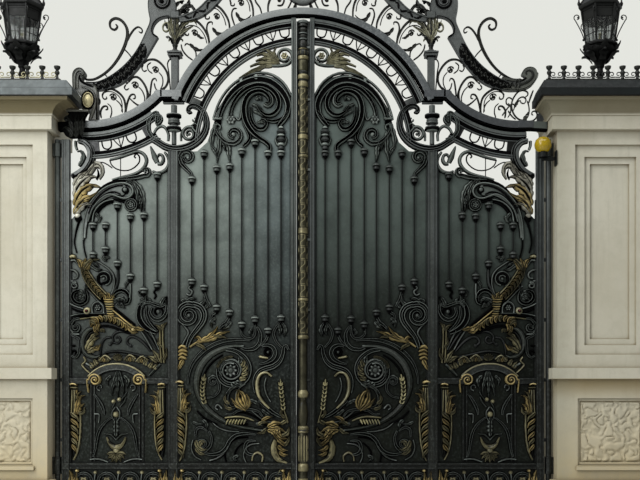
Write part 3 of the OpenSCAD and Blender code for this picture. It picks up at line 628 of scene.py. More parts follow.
MAT = {
    "frame": iron("iron_frame_paint", (0.009, 0.010, 0.007), (0.120, 0.134, 0.124), 1.3, 3.9, 0.38, 0.5, 0.25, wear_and_edge_light=False),
    "mid": iron("inner_stile_paint", (0.008, 0.009, 0.006), (0.070, 0.078, 0.072), 1.3, 3.9, 0.38, 0.5, 0.25, wear_and_edge_light=False),
    "rings": iron("moulded_ring_paint", (0.020, 0.022, 0.018), (0.140, 0.152, 0.142), 1.2, 3.9, 0.36, 0.5, 0.35, wear_and_edge_light=False, depth=(0.0105, 0.0185), deep=0.20),
    # the left leaf's sheet darker towards the centre: a painted falloff of the sheen
    "sheet": iron("backing_sheet_paint", (0.004, 0.006, 0.003), (0.226, 0.262, 0.234), 1.5, 4.3, 0.38, 0.2, 0.16, wear_and_edge_light=False, dust=0.08, ao=(0.024, 0.50, 0.95), across=(-1.22, -0.28, (0.50, 0.53, 0.58))),
    "bars": iron("round_bar_paint", (0.003, 0.003, 0.003), (0.007, 0.008, 0.007), 1.2, 4.0, 0.50, 0.2, 0.10),
    "work": iron("scrollwork_paint", (0.011, 0.013, 0.009), (0.158, 0.178, 0.160), 1.1, 4.2, 0.34, 0.6, 0.26, dust=0.16),
    "dark": iron("dark_ironwork_paint", (0.004, 0.004, 0.003), (0.013, 0.014, 0.011), 0.5, 5.5, 0.38, 0.6, 0.20),
    # black: black paint, and the painted shade of hollows, skirts and shadow strips
    "black": iron("black_paint_and_painted_shade", (0.002, 0.002, 0.002), (0.004, 0.004, 0.004), 0.5, 5.5, 0.7, 0.2, 0.0, wear_and_edge_light=False),
    "wire": iron("overthrow_scroll_paint", (0.004, 0.004, 0.003), (0.012, 0.012, 0.009), 3.5, 5.4, 0.46, 0.4, 0.12, depth=(0.003, 0.011, True), deep=0.2),
    # the band darker towards the right: a painted falloff of the sheen
    "over": iron("overthrow_paint", (0.150, 0.160, 0.155), (0.195, 0.205, 0.200), 3.5, 5.4, 0.36, 0.3, 0.4, wear_and_edge_light=False, depth=(0.026, 0.0285, True), deep=0.05, across=(-0.25, 0.45, (0.30, 0.32, 0.34))),
    # darker copies for the right leaf and shoulder: painted shade
    "frame_right": iron("iron_frame_paint_painted_shade", (0.007, 0.008, 0.006), (0.062, 0.070, 0.068), 1.3, 3.9, 0.38, 0.5, 0.22, wear_and_edge_light=False),
    "rings_right": iron("moulded_ring_paint_painted_shade", (0.012, 0.014, 0.011), (0.080, 0.088, 0.084), 1.2, 3.9, 0.36, 0.5, 0.30, wear_and_edge_light=False, depth=(0.0105, 0.0185), deep=0.20),
    "over_right": iron("shoulder_paint_painted_shade", (0.034, 0.037, 0.039), (0.058, 0.062, 0.065), 3.5, 5.4, 0.36, 0.3, 0.4, wear_and_edge_light=False, depth=(0.026, 0.0285, True), deep=0.05),
    "plate": iron("raking_plate_paint", (0.040, 0.044, 0.041), (0.072, 0.078, 0.074), 3.5, 5.4, 0.34, 0.3, 0.4, wear_and_edge_light=False),
    "console": iron("console_paint", (0.062, 0.060, 0.046), (0.085, 0.092, 0.078), 4.4, 4.8, 0.34, 0.3, 0.4, wear_and_edge_light=False),
    "gold": gilt("old_gilding", (0.56, 0.440, 0.190), (0.012, 0.008, 0.004), 0.42, 0.32, 0.45, ao=(0.014, 0.40, 0.82)),
    "gold_dim": gilt("worn_gilding", (0.31, 0.280, 0.155), (0.010, 0.010, 0.007), 0.44, 0.34, 0.35, ao=(0.014, 0.40, 0.82)),
    # darker copies for the right leaf: painted shade
    "gold_right": gilt("old_gilding_painted_shade", (0.36, 0.280, 0.120), (0.008, 0.006, 0.003), 0.40, 0.30, 0.45, ao=(0.020, 0.46, 0.90)),
    "gold_dim_right": gilt("worn_gilding_painted_shade", (0.17, 0.155, 0.085), (0.007, 0.007, 0.005), 0.42, 0.32, 0.35, ao=(0.020, 0.46, 0.90)),
    "shade": iron("shaded_scroll_paint", (0.006, 0.007, 0.006), (0.026, 0.029, 0.027), 0.6, 3.2, 0.42, 0.4, 0.20, wear_and_edge_light=False),
    "gold_pale": gilt("pale_gilding", (0.60, 0.54, 0.36), (0.030, 0.026, 0.014), 0.46, 0.42, 0.5),
    "gold_boss": gilt("boss_gilding", (0.50, 0.44, 0.25), (0.060, 0.050, 0.022), 0.40, 0.42, 0.5),
    "cream": gilt("cream_leaf_gilding", (0.62, 0.60, 0.50), (0.020, 0.018, 0.010), 0.42, 0.42, 0.25, ao=(0.026, 0.42, 0.82)),
    "cup": iron("bar_cup_paint", (0.007, 0.009, 0.007), (0.046, 0.053, 0.047), 0.9, 4.2, 0.40, 0.4, 0.25),
    "ruby": iron("ruby_enamel", (0.060, 0.003, 0.004), (0.100, 0.006, 0.006), 0.5, 5.5, 0.25, 0.2, 0.5, wear_and_edge_light=False),
    "olive": gilt("olive_leaf_paint", (0.150, 0.145, 0.085), (0.010, 0.009, 0.005), 0.40, 0.42, 0.20, ao=(0.030, 0.40, 0.85)),
    "bar_gold": gilt("bar_gilding", (0.200, 0.175, 0.090), (0.010, 0.009, 0.006), 0.46, 0.34, 0.45, ao=(0.014, 0.42, 0.84)),
    "bronze": gilt("dull_bronze", (0.056, 0.052, 0.031), (0.010, 0.009, 0.006), 0.40, 0.36),
    "stone": stone("limestone", (0.50, 0.475, 0.385), (0.44, 0.41, 0.32), (0.45, 0.37, 0.22)),
    # the same lead painted lit on the left cap and in shade on the right
    "lead_left": lead("lead_sheet_painted_lit", (0.110, 0.124, 0.124), (0.066, 0.075, 0.074)),
    "lead_right": lead("lead_sheet_painted_shade", (0.005, 0.008, 0.0075), (0.0025, 0.004, 0.0035)),
}


def clear(name, colour, rough, bumpy, trans=0.9, ior=1.46):
    m, nt, bs = nodes_of(name)
    dusty = mixc(nt, remap(nt, tex(nt, 14, 5), 0.4, 0.75, 0.0, 0.5), colour, tuple(c * 0.75 for c in colour))
    nt.links.new(dusty, bs.inputs["Base Color"])
    bs.inputs["Transmission Weight"].default_value = trans
    bs.inputs["IOR"].default_value = ior
    nt.links.new(remap(nt, tex(nt, 9, 4), 0.35, 0.7, rough, rough * 2), bs.inputs["Roughness"])
    bump(nt, bs, tex(nt, 12, 2), 0.0003, bumpy)
    return m


# darker copies for the right leaf: painted shade
MAT["sheet_right"] = iron("backing_sheet_paint_painted_shade", (0.003, 0.004, 0.002), (0.084, 0.104, 0.093), 1.8, 4.3, 0.38, 0.2, 0.13, wear_and_edge_light=False, dust=0.08, ao=(0.024, 0.50, 0.95))
MAT["work_right"] = iron("scrollwork_paint_painted_shade", (0.006, 0.007, 0.005), (0.105, 0.120, 0.108), 1.2, 4.2, 0.34, 0.6, 0.22, dust=0.16)
MAT["cream_right"] = gilt("cream_leaf_gilding_painted_shade", (0.26, 0.25, 0.20), (0.012, 0.011, 0.007), 0.42, 0.42, 0.25, ao=(0.026, 0.42, 0.82))
MAT["bright"] = gilt("bright_gilding", (0.54, 0.50, 0.29), (0.030, 0.026, 0.012), 0.5, 0.34, 0.40, ao=(0.005, 0.20, 0.60))
MAT["fan"] = gilt("pale_olive_gilding", (0.35, 0.33, 0.215), (0.030, 0.028, 0.016), 0.5, 0.38, 0.30, ao=(0.008, 0.25, 0.65))
MAT["glass"] = clear("lantern_glass", (0.93, 0.95, 0.92), 0.01, 0.04, 0.98, 1.12)
MAT["lamp"] = iron("lantern_iron_paint", (0.003, 0.003, 0.003), (0.0065, 0.007, 0.006), 4.5, 6.0, 0.46, 0.4, 0.12)
MAT["amber"] = clear("amber_lens", (0.48, 0.33, 0.010), 0.12, 0.3, 0.35)


# ------------------------------------------------------------------ the leaves
LEAF_Y = -0.025                 # front of a leaf's frame
ARCH = (0.0, 4.010)             # centre of the fixed arch
SHO = (2.150, 5.218)            # centre of a shoulder's curve


def polar(c, R, deg):
    """Grid point at radius R metres and angle deg, counted from the outward direction."""
    d = math.radians(deg)
    return 303 - 100 * (c[0] + R * math.cos(d)), 550 - 100 * (c[1] + R * math.sin(d))


# the strips of the ring sections coloured black (slot 4) are painted shade in their grooves
RING_OUT = [(.0, .025), (.0, -.012), (.008, -.013), (.009, -.021), (.012, -.024), (.034, -.022), (.037, -.019), (.0375, -.010), (.042, -.010), (.0425, -.021), (.045, -.0235), (.050, -.0235), (.053, -.020),
            (.0535, -.006), (.084, -.004), (.0845, -.014), (.087, -.017), (.091, -.017), (.093, -.012), (.093, .025)]
OUT_COLS = {0: 4, 1: 4, 2: 4, 6: 4, 7: 4, 8: 4, 12: 4, 13: 4, 14: 4}
RING_IN = [(.0, .025), (.0, -.006), (.006, -.011), (.030, -.008), (.036, -.010), (.0365, -.018), (.039, -.022), (.046, -.022), (.049, -.018), (.0495, -.008),
           (.0575, -.008), (.058, -.021), (.061, -.025), (.067, -.025), (.070, -.021), (.070, .025)]
IN_COLS = {0: 4, 1: 4, 2: 4, 3: 4, 4: 4, 8: 4, 9: 4, 10: 4}


def cup(S, x, y, up=True, s=1.0, mat=0, dark=1, body=0):
    """A turned cup on a bar's end, its rim at grid height y: a short neck, a dark bell, a pale rim and a button."""
    a, z = grid_at((x, y))
    k = 1 if up else -1
    for prof, m in (([(.007, -.060), (.011, -.056), (.012, -.044), (.019, -.038), (.026, -.030), (.026, -.024)], dark),
                    ([(.025, -.026), (.029, -.024), (.029, -.004), (.026, -.002)], body),
                    ([(.026, -.003), (.027, .002), (.027, .008)], dark),
                    ([(.026, .006), (.036, .009), (.038, .016), (.036, .022), (.024, .025)], mat),
                    ([(.020, .023), (.024, .030), (.018, .036), (.004, .040)], body)):
        pr = [(r * s, z + k * h * s) for r, h in prof]
        lathe_z(S, a, -0.015, pr, 18, m, clip=0.0095)


def bar(S, x, y0, y1, r=.0068, mat=0):
    a, z0 = grid_at((x, y0))
    _, z1 = grid_at((x, y1))
    lathe_z(S, a, -0.013, [(r, z1), (r, z1 + .001), (r, z0 - .001), (r, z0)], 10, mat)


BARS = [(191.8, 180, 281), (204, 154, 287), (216.7, 169, 307), (229.6, 167, 312), (241.8, 152, 324), (255, 143, 318.5), (268, 154, 330), (281, 154, 317.5),
        (93, 226, 254.5), (105.5, 226, 249), (117.4, 206, 263), (130.4, 217, 276), (143.8, 216, 290), (157.2, 176, 284)]


def eye(S, x, y, r=1.5, h=.034, mat=0):
    dome(S, (x, y), r, h, mat=mat)


def leaf_head(S):
    """Ironwork of the open head: friezes, rings and the scrolls over the backing sheet's edge. mats 0 frame, 1 work, 2 dim gold."""
    # friezes of the arch and of the shoulder
    arc_bar(S, ARCH, [(1.308 - d, y) for d, y in RING_OUT], 21.8, 86.3, 1.6, 0, OUT_COLS)
    arc_bar(S, ARCH, [(1.120 - d, y) for d, y in RING_IN], 4.0, 84.0, 1.6, 0, IN_COLS)
    for th in (28.2, 41.4, 54.6, 67.8, 81.0):
        sweep(S, [polar(ARCH, R, th + d) for R, d in ((1.217, -2.3), (1.175, -2.25), (1.143, -1.7), (1.130, 0), (1.143, 1.7), (1.175, 2.25), (1.217, 2.3))], .85, .018, "round", 0.0, .012, .8, 4)
    for th in (34.8, 48.0, 61.2, 74.4):
        for d in (-2.7, 2.7):
            sweep(S, [polar(ARCH, 1.217, th + d), polar(ARCH, 1.17, th + .62 * d), polar(ARCH, 1.124, th)], .65, .012, "round", 0.0, .0035, 1.2, 4)
        sweep(S, [polar(ARCH, 1.217, th), polar(ARCH, 1.17, th), polar(ARCH, 1.122, th)], .6, .012, "round", 0.0, .0035, 2, 4)
    # solid block where the arch's rings start
    arc_bar(S, ARCH, [(1.218, .024), (1.218, -.010), (1.212, -.014), (1.126, -.014), (1.119, -.010), (1.119, .024)], 20.2, 25.2, 1.6)
    # the level step beside the post
    # a black strip under the fixed step: its painted shadow
    brick(S, 1.19, 1.40, -.012, .024, 4.470, 4.488, 4, .002)
    brick(S, 1.19, 1.40, -.018, .024, 4.461, 4.471, 0, .003)
    # turned baluster on the stile under the step: two plates and the drum between them
    for prof, mt in (([(.030, 4.180), (.050, 4.186), (.060, 4.194)], 1), ([(.056, 4.192), (.074, 4.196), (.077, 4.204), (.074, 4.212), (.056, 4.216)], 4), ([(.054, 4.214), (.070, 4.220), (.070, 4.228), (.052, 4.234)], 0),
                     ([(.046, 4.232), (.040, 4.248), (.044, 4.266), (.056, 4.284), (.058, 4.300), (.050, 4.312)], 0), ([(.048, 4.310), (.056, 4.314), (.056, 4.320), (.048, 4.324)], 4),
                     ([(.056, 4.322), (.074, 4.326), (.076, 4.334), (.070, 4.340)], 4), ([(.068, 4.338), (.076, 4.344), (.074, 4.352), (.050, 4.358)], 0)):
        lathe_z(S, 1.292, 0.0, prof, 24, mt)
    # shoulder: two rings about its centre, below it
    up = [(1.036 + d * 1.1, y) for d, y in RING_OUT]
    lo = [(1.235 + d, y) for d, y in RING_IN]
    arc_bar(S, SHO, up, -85.6, -127.0, 1.6, 0, OUT_COLS)
    arc_bar(S, SHO, [(1.2345, .024), (1.2345, -.010), (1.137, -.010), (1.137, .024)], -90.9, -95.2, 1.6)
    arc_bar(S, SHO, [(1.2345, .024), (1.2345, -.010), (1.137, -.010), (1.137, .024)], -118.0, -121.6, 1.6)
    arc_bar(S, SHO, lo, -91.0, -122.8, 1.6, 0, IN_COLS)
    for th in (-99.2, -111.7):
        sweep(S, [polar(SHO, R, th + d) for R, d in ((1.138, -2.3), (1.18, -2.25), (1.212, -1.6), (1.226, 0), (1.212, 1.6), (1.18, 2.25), (1.138, 2.3))], .9, .018, "round", 0.0, .012, .8, 4)
    for d in (-2.8, 2.8):
        sweep(S, [polar(SHO, 1.138, -105.5 + d), polar(SHO, 1.19, -105.5 + .5 * d), polar(SHO, 1.234, -105.5)], .65, .012, "round", 0.0, .0035, 1.2, 4)
    sweep(S, [polar(SHO, 1.138, -105.5), polar(SHO, 1.19, -105.5), polar(SHO, 1.234, -105.5)], .6, .012, "round", 0.0, .0035, 2, 4)
    # U-shaped rail between shoulder and arch, its inner end curled over
    sweep(S, [(151.5, 138.5), (158, 142.2), (166, 147), (175.5, 149), (185, 147.8), (193.5, 144), (200, 138.6), (204.8, 131), (206.3, 122.5), (204.2, 113.6), (199.2, 107.8), (193.4, 105.6), (189, 107.4),
              (187.8, 110.4), (189.4, 112.2), (191, 111)], [4.6, 5.6, 6.4, 6.0, 5.0, 3.6, 2.2], .034, "mould", .0, .024, 1.2)
    # C-shaped scroll to the heel stile, with a leaf inside it
    sweep(S, [(78.5, 140.8), (84, 142.4), (88.6, 147), (90.4, 154), (89, 161.6), (84.8, 168.4), (79, 173), (72.6, 176.4)], [3.2, 4.6, 5.0, 4.6, 4.0], .040, "flat", .0, .024, 1.2)
    sweep(S, [(80, 141.6), (86, 144), (90.6, 149), (91.8, 155), (90, 162.6), (85.4, 169.8), (80, 174.4), (76, 176.6)], [.8, 1.2, 1.2], .0425, "flat", .0, .022, 1.2, 4)
    dome(S, (74.2, 176.2), 3.0, .045, .0, 4)
    sweep(S, [(82.6, 138.6), (88.6, 141.8), (93.2, 147.4), (94.6, 154.4), (93, 162.6), (88.6, 170), (82.4, 175.6), (75, 179.6)], [.9, 1.2, 1.2], .026, "round", .0, .022, 1.2)
    blade(S, [(79, 166), (82.4, 161), (83.2, 155), (80.5, 151), (77, 151.5)], 2.2, .02, 3, .0, .018, .0, 1)
    sweep(S, [(75.5, 141), (75.6, 146), (77, 150)], [1.6, 1.2], .02, "round", .0, .012, 1, 1)
    # thin arcs in the side bay's open head
    sweep(S, [(109.6, 160), (111.5, 165), (116, 168.8), (122, 170.6), (129, 170.2), (135, 167), (139.2, 162), (139.2, 156.6), (136.4, 154), (134.2, 156.4), (135.6, 158)], [.7, .8, 1.0], .014, "round", .0, .010, 1, 4)
    sweep(S, [(97.4, 163.6), (102, 162.4), (107, 164.4), (112, 168)], .7, .014, "round", .0, .010, 1, 4)
    sweep(S, [(120.5, 157), (120.5, 178)], .5, .012, "round", .0, .004, 3, 4)
    # rim of the open part and the dark scroll under it
    sweep(S, [(110, 159.6), (120, 157.2), (130, 153.6), (138, 151.6), (144, 154.6), (146.4, 160.6), (144, 167.2), (138, 172.4), (130, 175.4), (121, 177.4), (112, 180)], [1.2, 1.6, 2.2, 1.8, 1.2], .022, "round", .002, .016, 1, 1)
    sweep(S, chain((119, 179), (128, 178.6), (137, 177.4), (144.6, 175.4), spiral(145.6, 171.4, 4.4, 80, -.75, 1.6)), [1.6, 3.4, 3.6, 3.0, 1.8], .034, "mould", mat=1)
    eye(S, 145.2, 171.8, 1.4, .036, 1)
    # horn-shaped leaf and volute next to the mid stile
    sweep(S, [(150.4, 146.4), (152.6, 152), (155, 158), (157, 162.6)], [.6, 2.4, 4.2, 3.0], .028, "ridge", .002, .018, 1, 1)
    sweep(S, [(157.6, 163.6), (161, 163.6), (163.2, 160), (162.2, 155.6), (158.8, 154.4), (157.6, 157)], [2.0, 2.2, 1.6, 1.0], .028, "round", .002, .018, .8, 1)
    sweep(S, [(164.4, 152), (168, 157.6), (168.8, 163.6), (166.6, 168.8), (162, 172), (156.4, 172.8), (152.4, 171)], [1.2, 1.8, 2.6, 2.0, 1.2], .026, "round", .006, .018, 1, 1)
    # broad S-shaped band between two rims, its end curled round a ball
    sb = [(84.4, 238), (85, 227), (87.6, 214.6), (93, 204.4), (100.6, 196.4), (109, 191), (118, 189.6), (126, 191)]
    sweep(S, sb, [2.0, 3.0, 4.6, 6.4, 8.4, 10.0, 12.0, 11.0], .024, "flat", .008, ends=(0, 3.2), mat=1)
    sweep(S, [(83.4, 240), (83.6, 228), (86, 214), (90.6, 203.4), (97.6, 194.4), (106.4, 187.6), (116.6, 184), (125.6, 183.6), (131.6, 187), (133.2, 192.6), (129.6, 197.4), (123.6, 198.6), (117, 196.6), (111, 194.6), (104.4, 196.6), (97.6, 202.6), (92, 211), (88.6, 222)],
          [1.0, 1.6, 2.0, 2.2, 2.2, 2.0, 2.0, 1.6, 1.2], .038, "round", .008, mat=1)
    # black strips along the band's rims and a black disc round the ball: painted shadow
    sweep(S, [(94, 205), (100.6, 198.4), (108, 193.8), (115, 192.4), (121, 194.8)], [.8, 1.7, 2.0, 1.0], .033, "flat", .008, mat=4)
    sweep(S, [(88.6, 214), (92.6, 205), (99, 196.6), (107.4, 190), (116.6, 186.4), (123, 186)], [.7, 1.4, 1.8, 1.8, 1.2], .033, "flat", .008, mat=4)
    sweep(S, [(91.4, 200.4), (97.6, 191.6), (106, 184.8), (116.4, 181), (126.4, 180.4), (133.8, 184.2), (136.2, 191.6), (133.4, 198.6)], [1.0, 2.2, 2.4, 2.2, 1.4], .016, "flat", .008, mat=4)
    sweep(S, [(112, 198.4), (118, 200.2), (124.6, 201.8), (131, 200.4)], [1.0, 2.0, 1.4], .016, "flat", .008, mat=4)
    dome(S, (124.8, 190.4), 3.8, .036, mat=4)
    dome(S, (125.2, 190.0), 2.3, .047, mat=1)
    for p, m in (([(92.4, 222), (94, 213), (98.6, 206), (105.6, 201.4), (113.4, 199.6)], 1), ([(97, 214), (100.4, 208.4), (106, 204), (113, 202)], 4)):
        sweep(S, p, [1.4, 2.2, 1.2], .028, "round", mat=m)
    for p in ([(96, 213), (98.6, 217), (102, 218)], [(100, 216), (98.6, 221), (95, 223)]):
        blade(S, p, 1.6, .030, 2, mat=1)
    # leaf spray in the corner by the heel stile
    for p, w, l in (([(74.6, 186), (77.6, 180), (82, 175), (87.6, 172)], 3.6, 4), ([(75, 196), (78.6, 187), (84.6, 180.6), (92, 176.6), (97, 177.4)], 4.6, 5), ([(75, 205), (79, 195.4), (85.6, 189), (93.6, 185.6), (100.6, 187.6)], 4.8, 5),
                    ([(75, 214), (79, 205), (85.4, 199), (92, 196.4), (98.4, 192.4)], 4.2, 4), ([(75.6, 214), (80.6, 207.6), (86.6, 204.6), (92.6, 205)], 3.2, 3), ([(89, 175), (92, 168.4), (97, 164.6), (101.6, 168), (102, 174.4), (99.4, 179.6)], 3.2, 3),
                    ([(91.6, 171), (94.4, 166), (95.2, 161.6)], 2.0, 2), ([(83, 179), (87, 173.4), (92, 170)], 2.6, 3)):
        blade(S, p, w, .036, l, .0, .018, .014, 2 if p[0][1] < 203 or l == 3 else 3)
    for p in ([(77.6, 209), (82.6, 202.4), (89, 200)], [(77, 200), (81.4, 192.6), (87, 188.4), (93, 187.6)], [(76.6, 190.6), (80.6, 184.6), (86.4, 180)], [(96.6, 180), (98.6, 174.6), (97.6, 169.6)], [(85.4, 207.4), (90, 208)]):
        sweep(S, p, [.6, 1.5, .6], .040, "round", .0, .018, .9, 4)
    dome(S, (78, 218.4), 3.6, .036, mat=4)
    dome(S, (77.6, 216.0), 2.8, .048, mat=2)
    sweep(S, [(78.8, 221), (76.6, 228), (74.8, 236), (74.2, 244), (76.6, 253)], [1.8, .9, .6], .024, "round", mat=4)
    sweep(S, [(83.4, 238), (83.2, 243), (84, 250), (86, 257.6)], [.9, .8, .7], .022, "round", mat=4)
    # hanging tassel of leaves and the ring under it
    for p, w in (([(128, 179), (133, 184.4), (136.4, 191), (137.6, 199), (138.4, 209)], 2.4), ([(133, 181), (139, 187), (142.6, 195), (143.6, 203), (144, 211)], 2.4), ([(126, 178.6), (129, 184), (132.6, 188.6)], 2.0),
                 ([(139, 196), (141, 203), (141, 212)], 1.8)):
        blade(S, p, w, .032, 5, mat=1)
    sweep(S, spiral(131, 205, 4.9, -100, 1.0, 4.9), 2.6, .028, "mould", mat=1)
    rosette(S, (131, 205), 2.6, .03, mat=1, petals=5)


def centre_head(S):
    """Head of the centre bay. mats as in leaf_head."""
    # four nested arms of the whirl
    sweep(S, [(219.4, 119), (221.4, 111), (225.4, 102), (231.6, 93.4), (240, 86), (250, 81.4), (260, 80), (269.6, 82), (278, 87.6), (284.6, 95.4), (288.2, 104.2), (287.4, 113), (283.4, 120.4), (278.2, 126.4)],
          [2.2, 4.6, 6.0, 6.6, 6.2, 5.2, 3.0], .034, "cove", .008, mat=1)
    sweep(S, [(229.6, 117), (231.4, 108.6), (235.6, 99.8), (242, 92.4), (250, 87.4), (259, 85.4), (268, 87.6), (275.4, 93.6), (279, 101.6), (278, 109.4), (273, 114.6), (266.4, 115.4), (260.6, 111.6), (257.6, 106.4)],
          [2.0, 3.2, 4.2, 4.6, 4.2, 3.4, 1.6], .036, "cove", .008, lift=[0, .004, .008], mat=1)
    sweep(S, [(269.4, 151), (269.4, 146.4), (266, 142.6), (259.4, 138.4), (252.4, 132.4), (247, 124.4), (244.2, 115), (244.4, 105.4), (247.6, 97.4), (253.6, 92.8), (261, 92), (267, 95.4), (269.8, 100.4), (268.6, 104.2), (265.4, 103.6)],
          [3.0, 3.4, 4.6, 5.0, 4.6, 3.6, 2.0], .040, "cove", .008, lift=[.002, .008, .012], mat=1)
    sweep(S, [(250.6, 107), (250.4, 115), (252.6, 123), (257.6, 128.6), (263.4, 128.8), (266.4, 124.4), (264.4, 120.6), (261, 120.8)], [1.4, 3.0, 3.2, 2.0], .036, "cove", .008, lift=[0, .006], mat=1)
    sweep(S, [(242.8, 116), (244, 124), (247.6, 131), (249.8, 137.6), (247.4, 142.6), (243.4, 146)], [1.2, 2.6, 2.4], .028, "cove", .008, mat=1)
    sweep(S, [(288.6, 112), (282.6, 118.4), (275, 121.2), (267.6, 120.6), (262, 117.4)], [2.4, 3.2, 1.6], .028, "cove", .008, mat=1)
    sweep(S, [(268.2, 92.6), (272, 97.6), (272.2, 103), (268.4, 106.6), (263.8, 105)], [1.6, 2.4, 1.4], .030, "round", .008, mat=1)
    for p, w in (([(252, 104), (257.4, 106), (262.6, 110.6)], 1.6), ([(254, 111), (258.4, 112.6), (262.6, 116.6)], 1.6), ([(257.6, 122.6), (261, 121.6), (264.6, 124)], 1.6), ([(256, 99.6), (259.4, 97), (261.4, 101)], 1.8)):
        blade(S, p, w, .034, 2, lift=.01, mat=1)
    # thin hoop outside the whirl
    sweep(S, [(213.6, 118), (217.4, 106), (223.6, 94.6), (232, 85), (242.6, 77.6), (254, 73.4), (266, 73), (276.6, 77), (285, 84.6), (291.2, 95.6)], [1.2, 1.4, 1.2], .016, "round", .0, .012, 1.5, 1)
    for x, y in ((241, 78), (256, 74.6)):
        brick(S, (303 - x - 1.3) / 100, (303 - x + 1.3) / 100, -.012, .012, (550 - y - 4.6) / 100, (550 - y) / 100, 1, .002)
    # leaves and rosette under the arch's crown
    for p, w in (([(280, 63.4), (270, 65.6), (259, 67.6), (249, 72)], 1.5), ([(279, 62), (269, 62.4), (259, 63.2), (250, 66.8)], 1.6), ([(277, 60.4), (269, 58.6), (262, 58.8), (255.6, 61.4)], 1.6),
                 ([(275, 58.6), (268, 55), (262, 54), (256.6, 55.8)], 1.5), ([(277, 57.4), (271, 52.6), (266, 50.4), (261.6, 50.8)], 1.3), ([(279, 61.4), (275, 56), (274, 51.6), (276, 47.6)], 1.5)):
        blade(S, p, w, .028, 4, .0, .016, .008, 8)
    for p, w in (([(266, 66.4), (256, 69.4), (247, 73.4), (239, 78.4)], 1.2), ([(262, 68.6), (252, 72.6), (244, 77.4)], 1.0)):
        blade(S, p, w, .024, 3, .0, .016, .004, 8)
    sweep(S, chain((270, 65.6), (277, 65.8), (284, 65), spiral(284.4, 56, 8.4, 60, -1.15, 4.4)), [1.4, 2.0, 1.6, 1.2], .022, "round", .0, .014, 1, 1)
    rosette(S, (284.4, 56), 3.2, .022, .0, 2, 6, .012)
    # scroll with an eye, left of the whirl
    sweep(S, chain((217.4, 123.4), (214.8, 127), (216.6, 132.4), (221, 138.4), (227, 143), (233.6, 143.8), spiral(233.6, 135, 8.2, 75, -.95, 3.0)), [1.6, 2.6, 3.4, 3.4, 3.0, 1.8], .036, "mould", mat=1)
    eye(S, 233.2, 134.6, 2.4, .032, 1)
    rosette(S, (231, 120), 3.9, .034, .008, 1, 6)
    sweep(S, [(231.2, 116), (231.6, 109), (234, 101.6)], [1.8, 1.2], .02, "round", mat=1)
    sweep(S, [(240.2, 112), (240.6, 117), (238.4, 119.8), (235.8, 117.6)], [1.2, 1.6, 1.0], .02, "round", mat=1)
    for p, w in (([(216.4, 122), (213.6, 131), (211.6, 139), (212, 146.4), (215, 151)], 2.6), ([(219, 132), (219.6, 141), (219.4, 149), (217.8, 156), (216.8, 163)], 2.4), ([(226, 142), (228.6, 149), (229, 156), (230, 162)], 2.4),
                 ([(212, 147), (215.6, 152), (217, 158)], 1.8), ([(222, 141), (224.6, 146.6), (225, 151)], 1.6)):
        blade(S, p, w, .034, 4, mat=1)
    # small capital where the outer bar of the whirl ends
    sweep(S, [(212.8, 118.0), (215.6, 119.4), (218.8, 119.4), (221.8, 118.4)], [1.3, 1.6, 1.6, 1.3], .044, "round", mat=1)
    sweep(S, [(214.2, 122.0), (217.4, 122.6), (220.8, 122.0)], [2.4, 2.8, 2.4], .030, "mould", mat=4)
    sweep(S, [(215.2, 130.2), (214.8, 126.8), (217.6, 124.6), (220.4, 126.6), (219.6, 129.8)], [0.9, 1.3, 1.5, 1.3, 0.9], .036, "round", mat=1)
    brick(S, .82, .90, -.022, .012, 4.30, 4.318, 1, .003)
    # hook next to the mid stile
    sweep(S, chain((191.4, 178), (190.8, 173.6), (186.4, 169.2), (181.8, 164.4), spiral(187, 157.4, 7.6, 140, 1.15, 3.0)), [1.8, 3.0, 3.4, 3.0, 1.8], .034, "mould", mat=1)
    eye(S, 188, 158.2, 1.9, .03, 1)
    # little spiral in the U
    sweep(S, chain((200.4, 137), (197, 133.4), (192.6, 128.4), spiral(189, 134, 7.4, -60, -1.5, 2.0)), [1.4, 2.0, 1.6, 1.0], .020, "round", .0, .012, .9, 1)
    eye(S, 189, 134, 1.6, .022, 1)
    sweep(S, spiral(194, 120, 2.0, -80, .8, 1.2), .7, .010, "round", .0, .008, .6, 1)
    sweep(S, [(191, 126), (195, 123.6), (198, 127), (198.6, 131)], .8, .012, "round", .0, .008, .8, 1)
    sweep(S, chain((160, 140), (153, 137.6), (148.6, 131), (148.4, 122.6), (152, 115.6), (157, 113.4), spiral(157, 118.4, 5.0, 90, -.8, 2.0)), [2.4, 3.4, 3.4, 2.6, 1.6], .026, "mould", .0, .016, .9, 1)
    sweep(S, [(153.6, 134), (156.6, 128.6), (161.6, 126), (166, 128.8), (168.4, 134.6), (168, 141)], [1.2, 1.6, 1.6, 1.2], .018, "round", .0, .012, .8, 1)
    sweep(S, [(155, 132), (158, 126), (160.6, 121.6)], [.9, 1.2], .014, "round", .0, .010, .8, 1)
    sweep(S, [(181, 141), (181.2, 134), (184.6, 128.6), (190, 126.6)], [1.0, 1.4, 1.2], .016, "round", .0, .010, .8, 1)
    # knop between whirl and bar end, near the meeting stile
    a, z = grid_at((281, 150))
    for prof, mt in (([(.012, z), (.030, z + .004), (.028, z + .022), (.016, z + .040)], 6), ([(.016, z + .038), (.032, z + .048), (.032, z + .060), (.016, z + .070)], 1), ([(.014, z + .068), (.046, z + .096), (.030, z + .122), (.020, z + .130)], 6),
                     ([(.020, z + .128), (.036, z + .138), (.034, z + .150), (.020, z + .158)], 1), ([(.020, z + .156), (.046, z + .176), (.032, z + .196), (.016, z + .206)], 6), ([(.016, z + .204), (.028, z + .214), (.016, z + .230), (.004, z + .240)], 1)):
        lathe_z(S, a, -.014, prof, 16, mt, .0095)
    for s in (-1, 1):
        blade(S, [(281 + 1.5 * s, 146), (281 + 4.6 * s, 141), (281 + 3.6 * s, 135.6)], 1.6, .03, 2, lift=.01, mat=1)


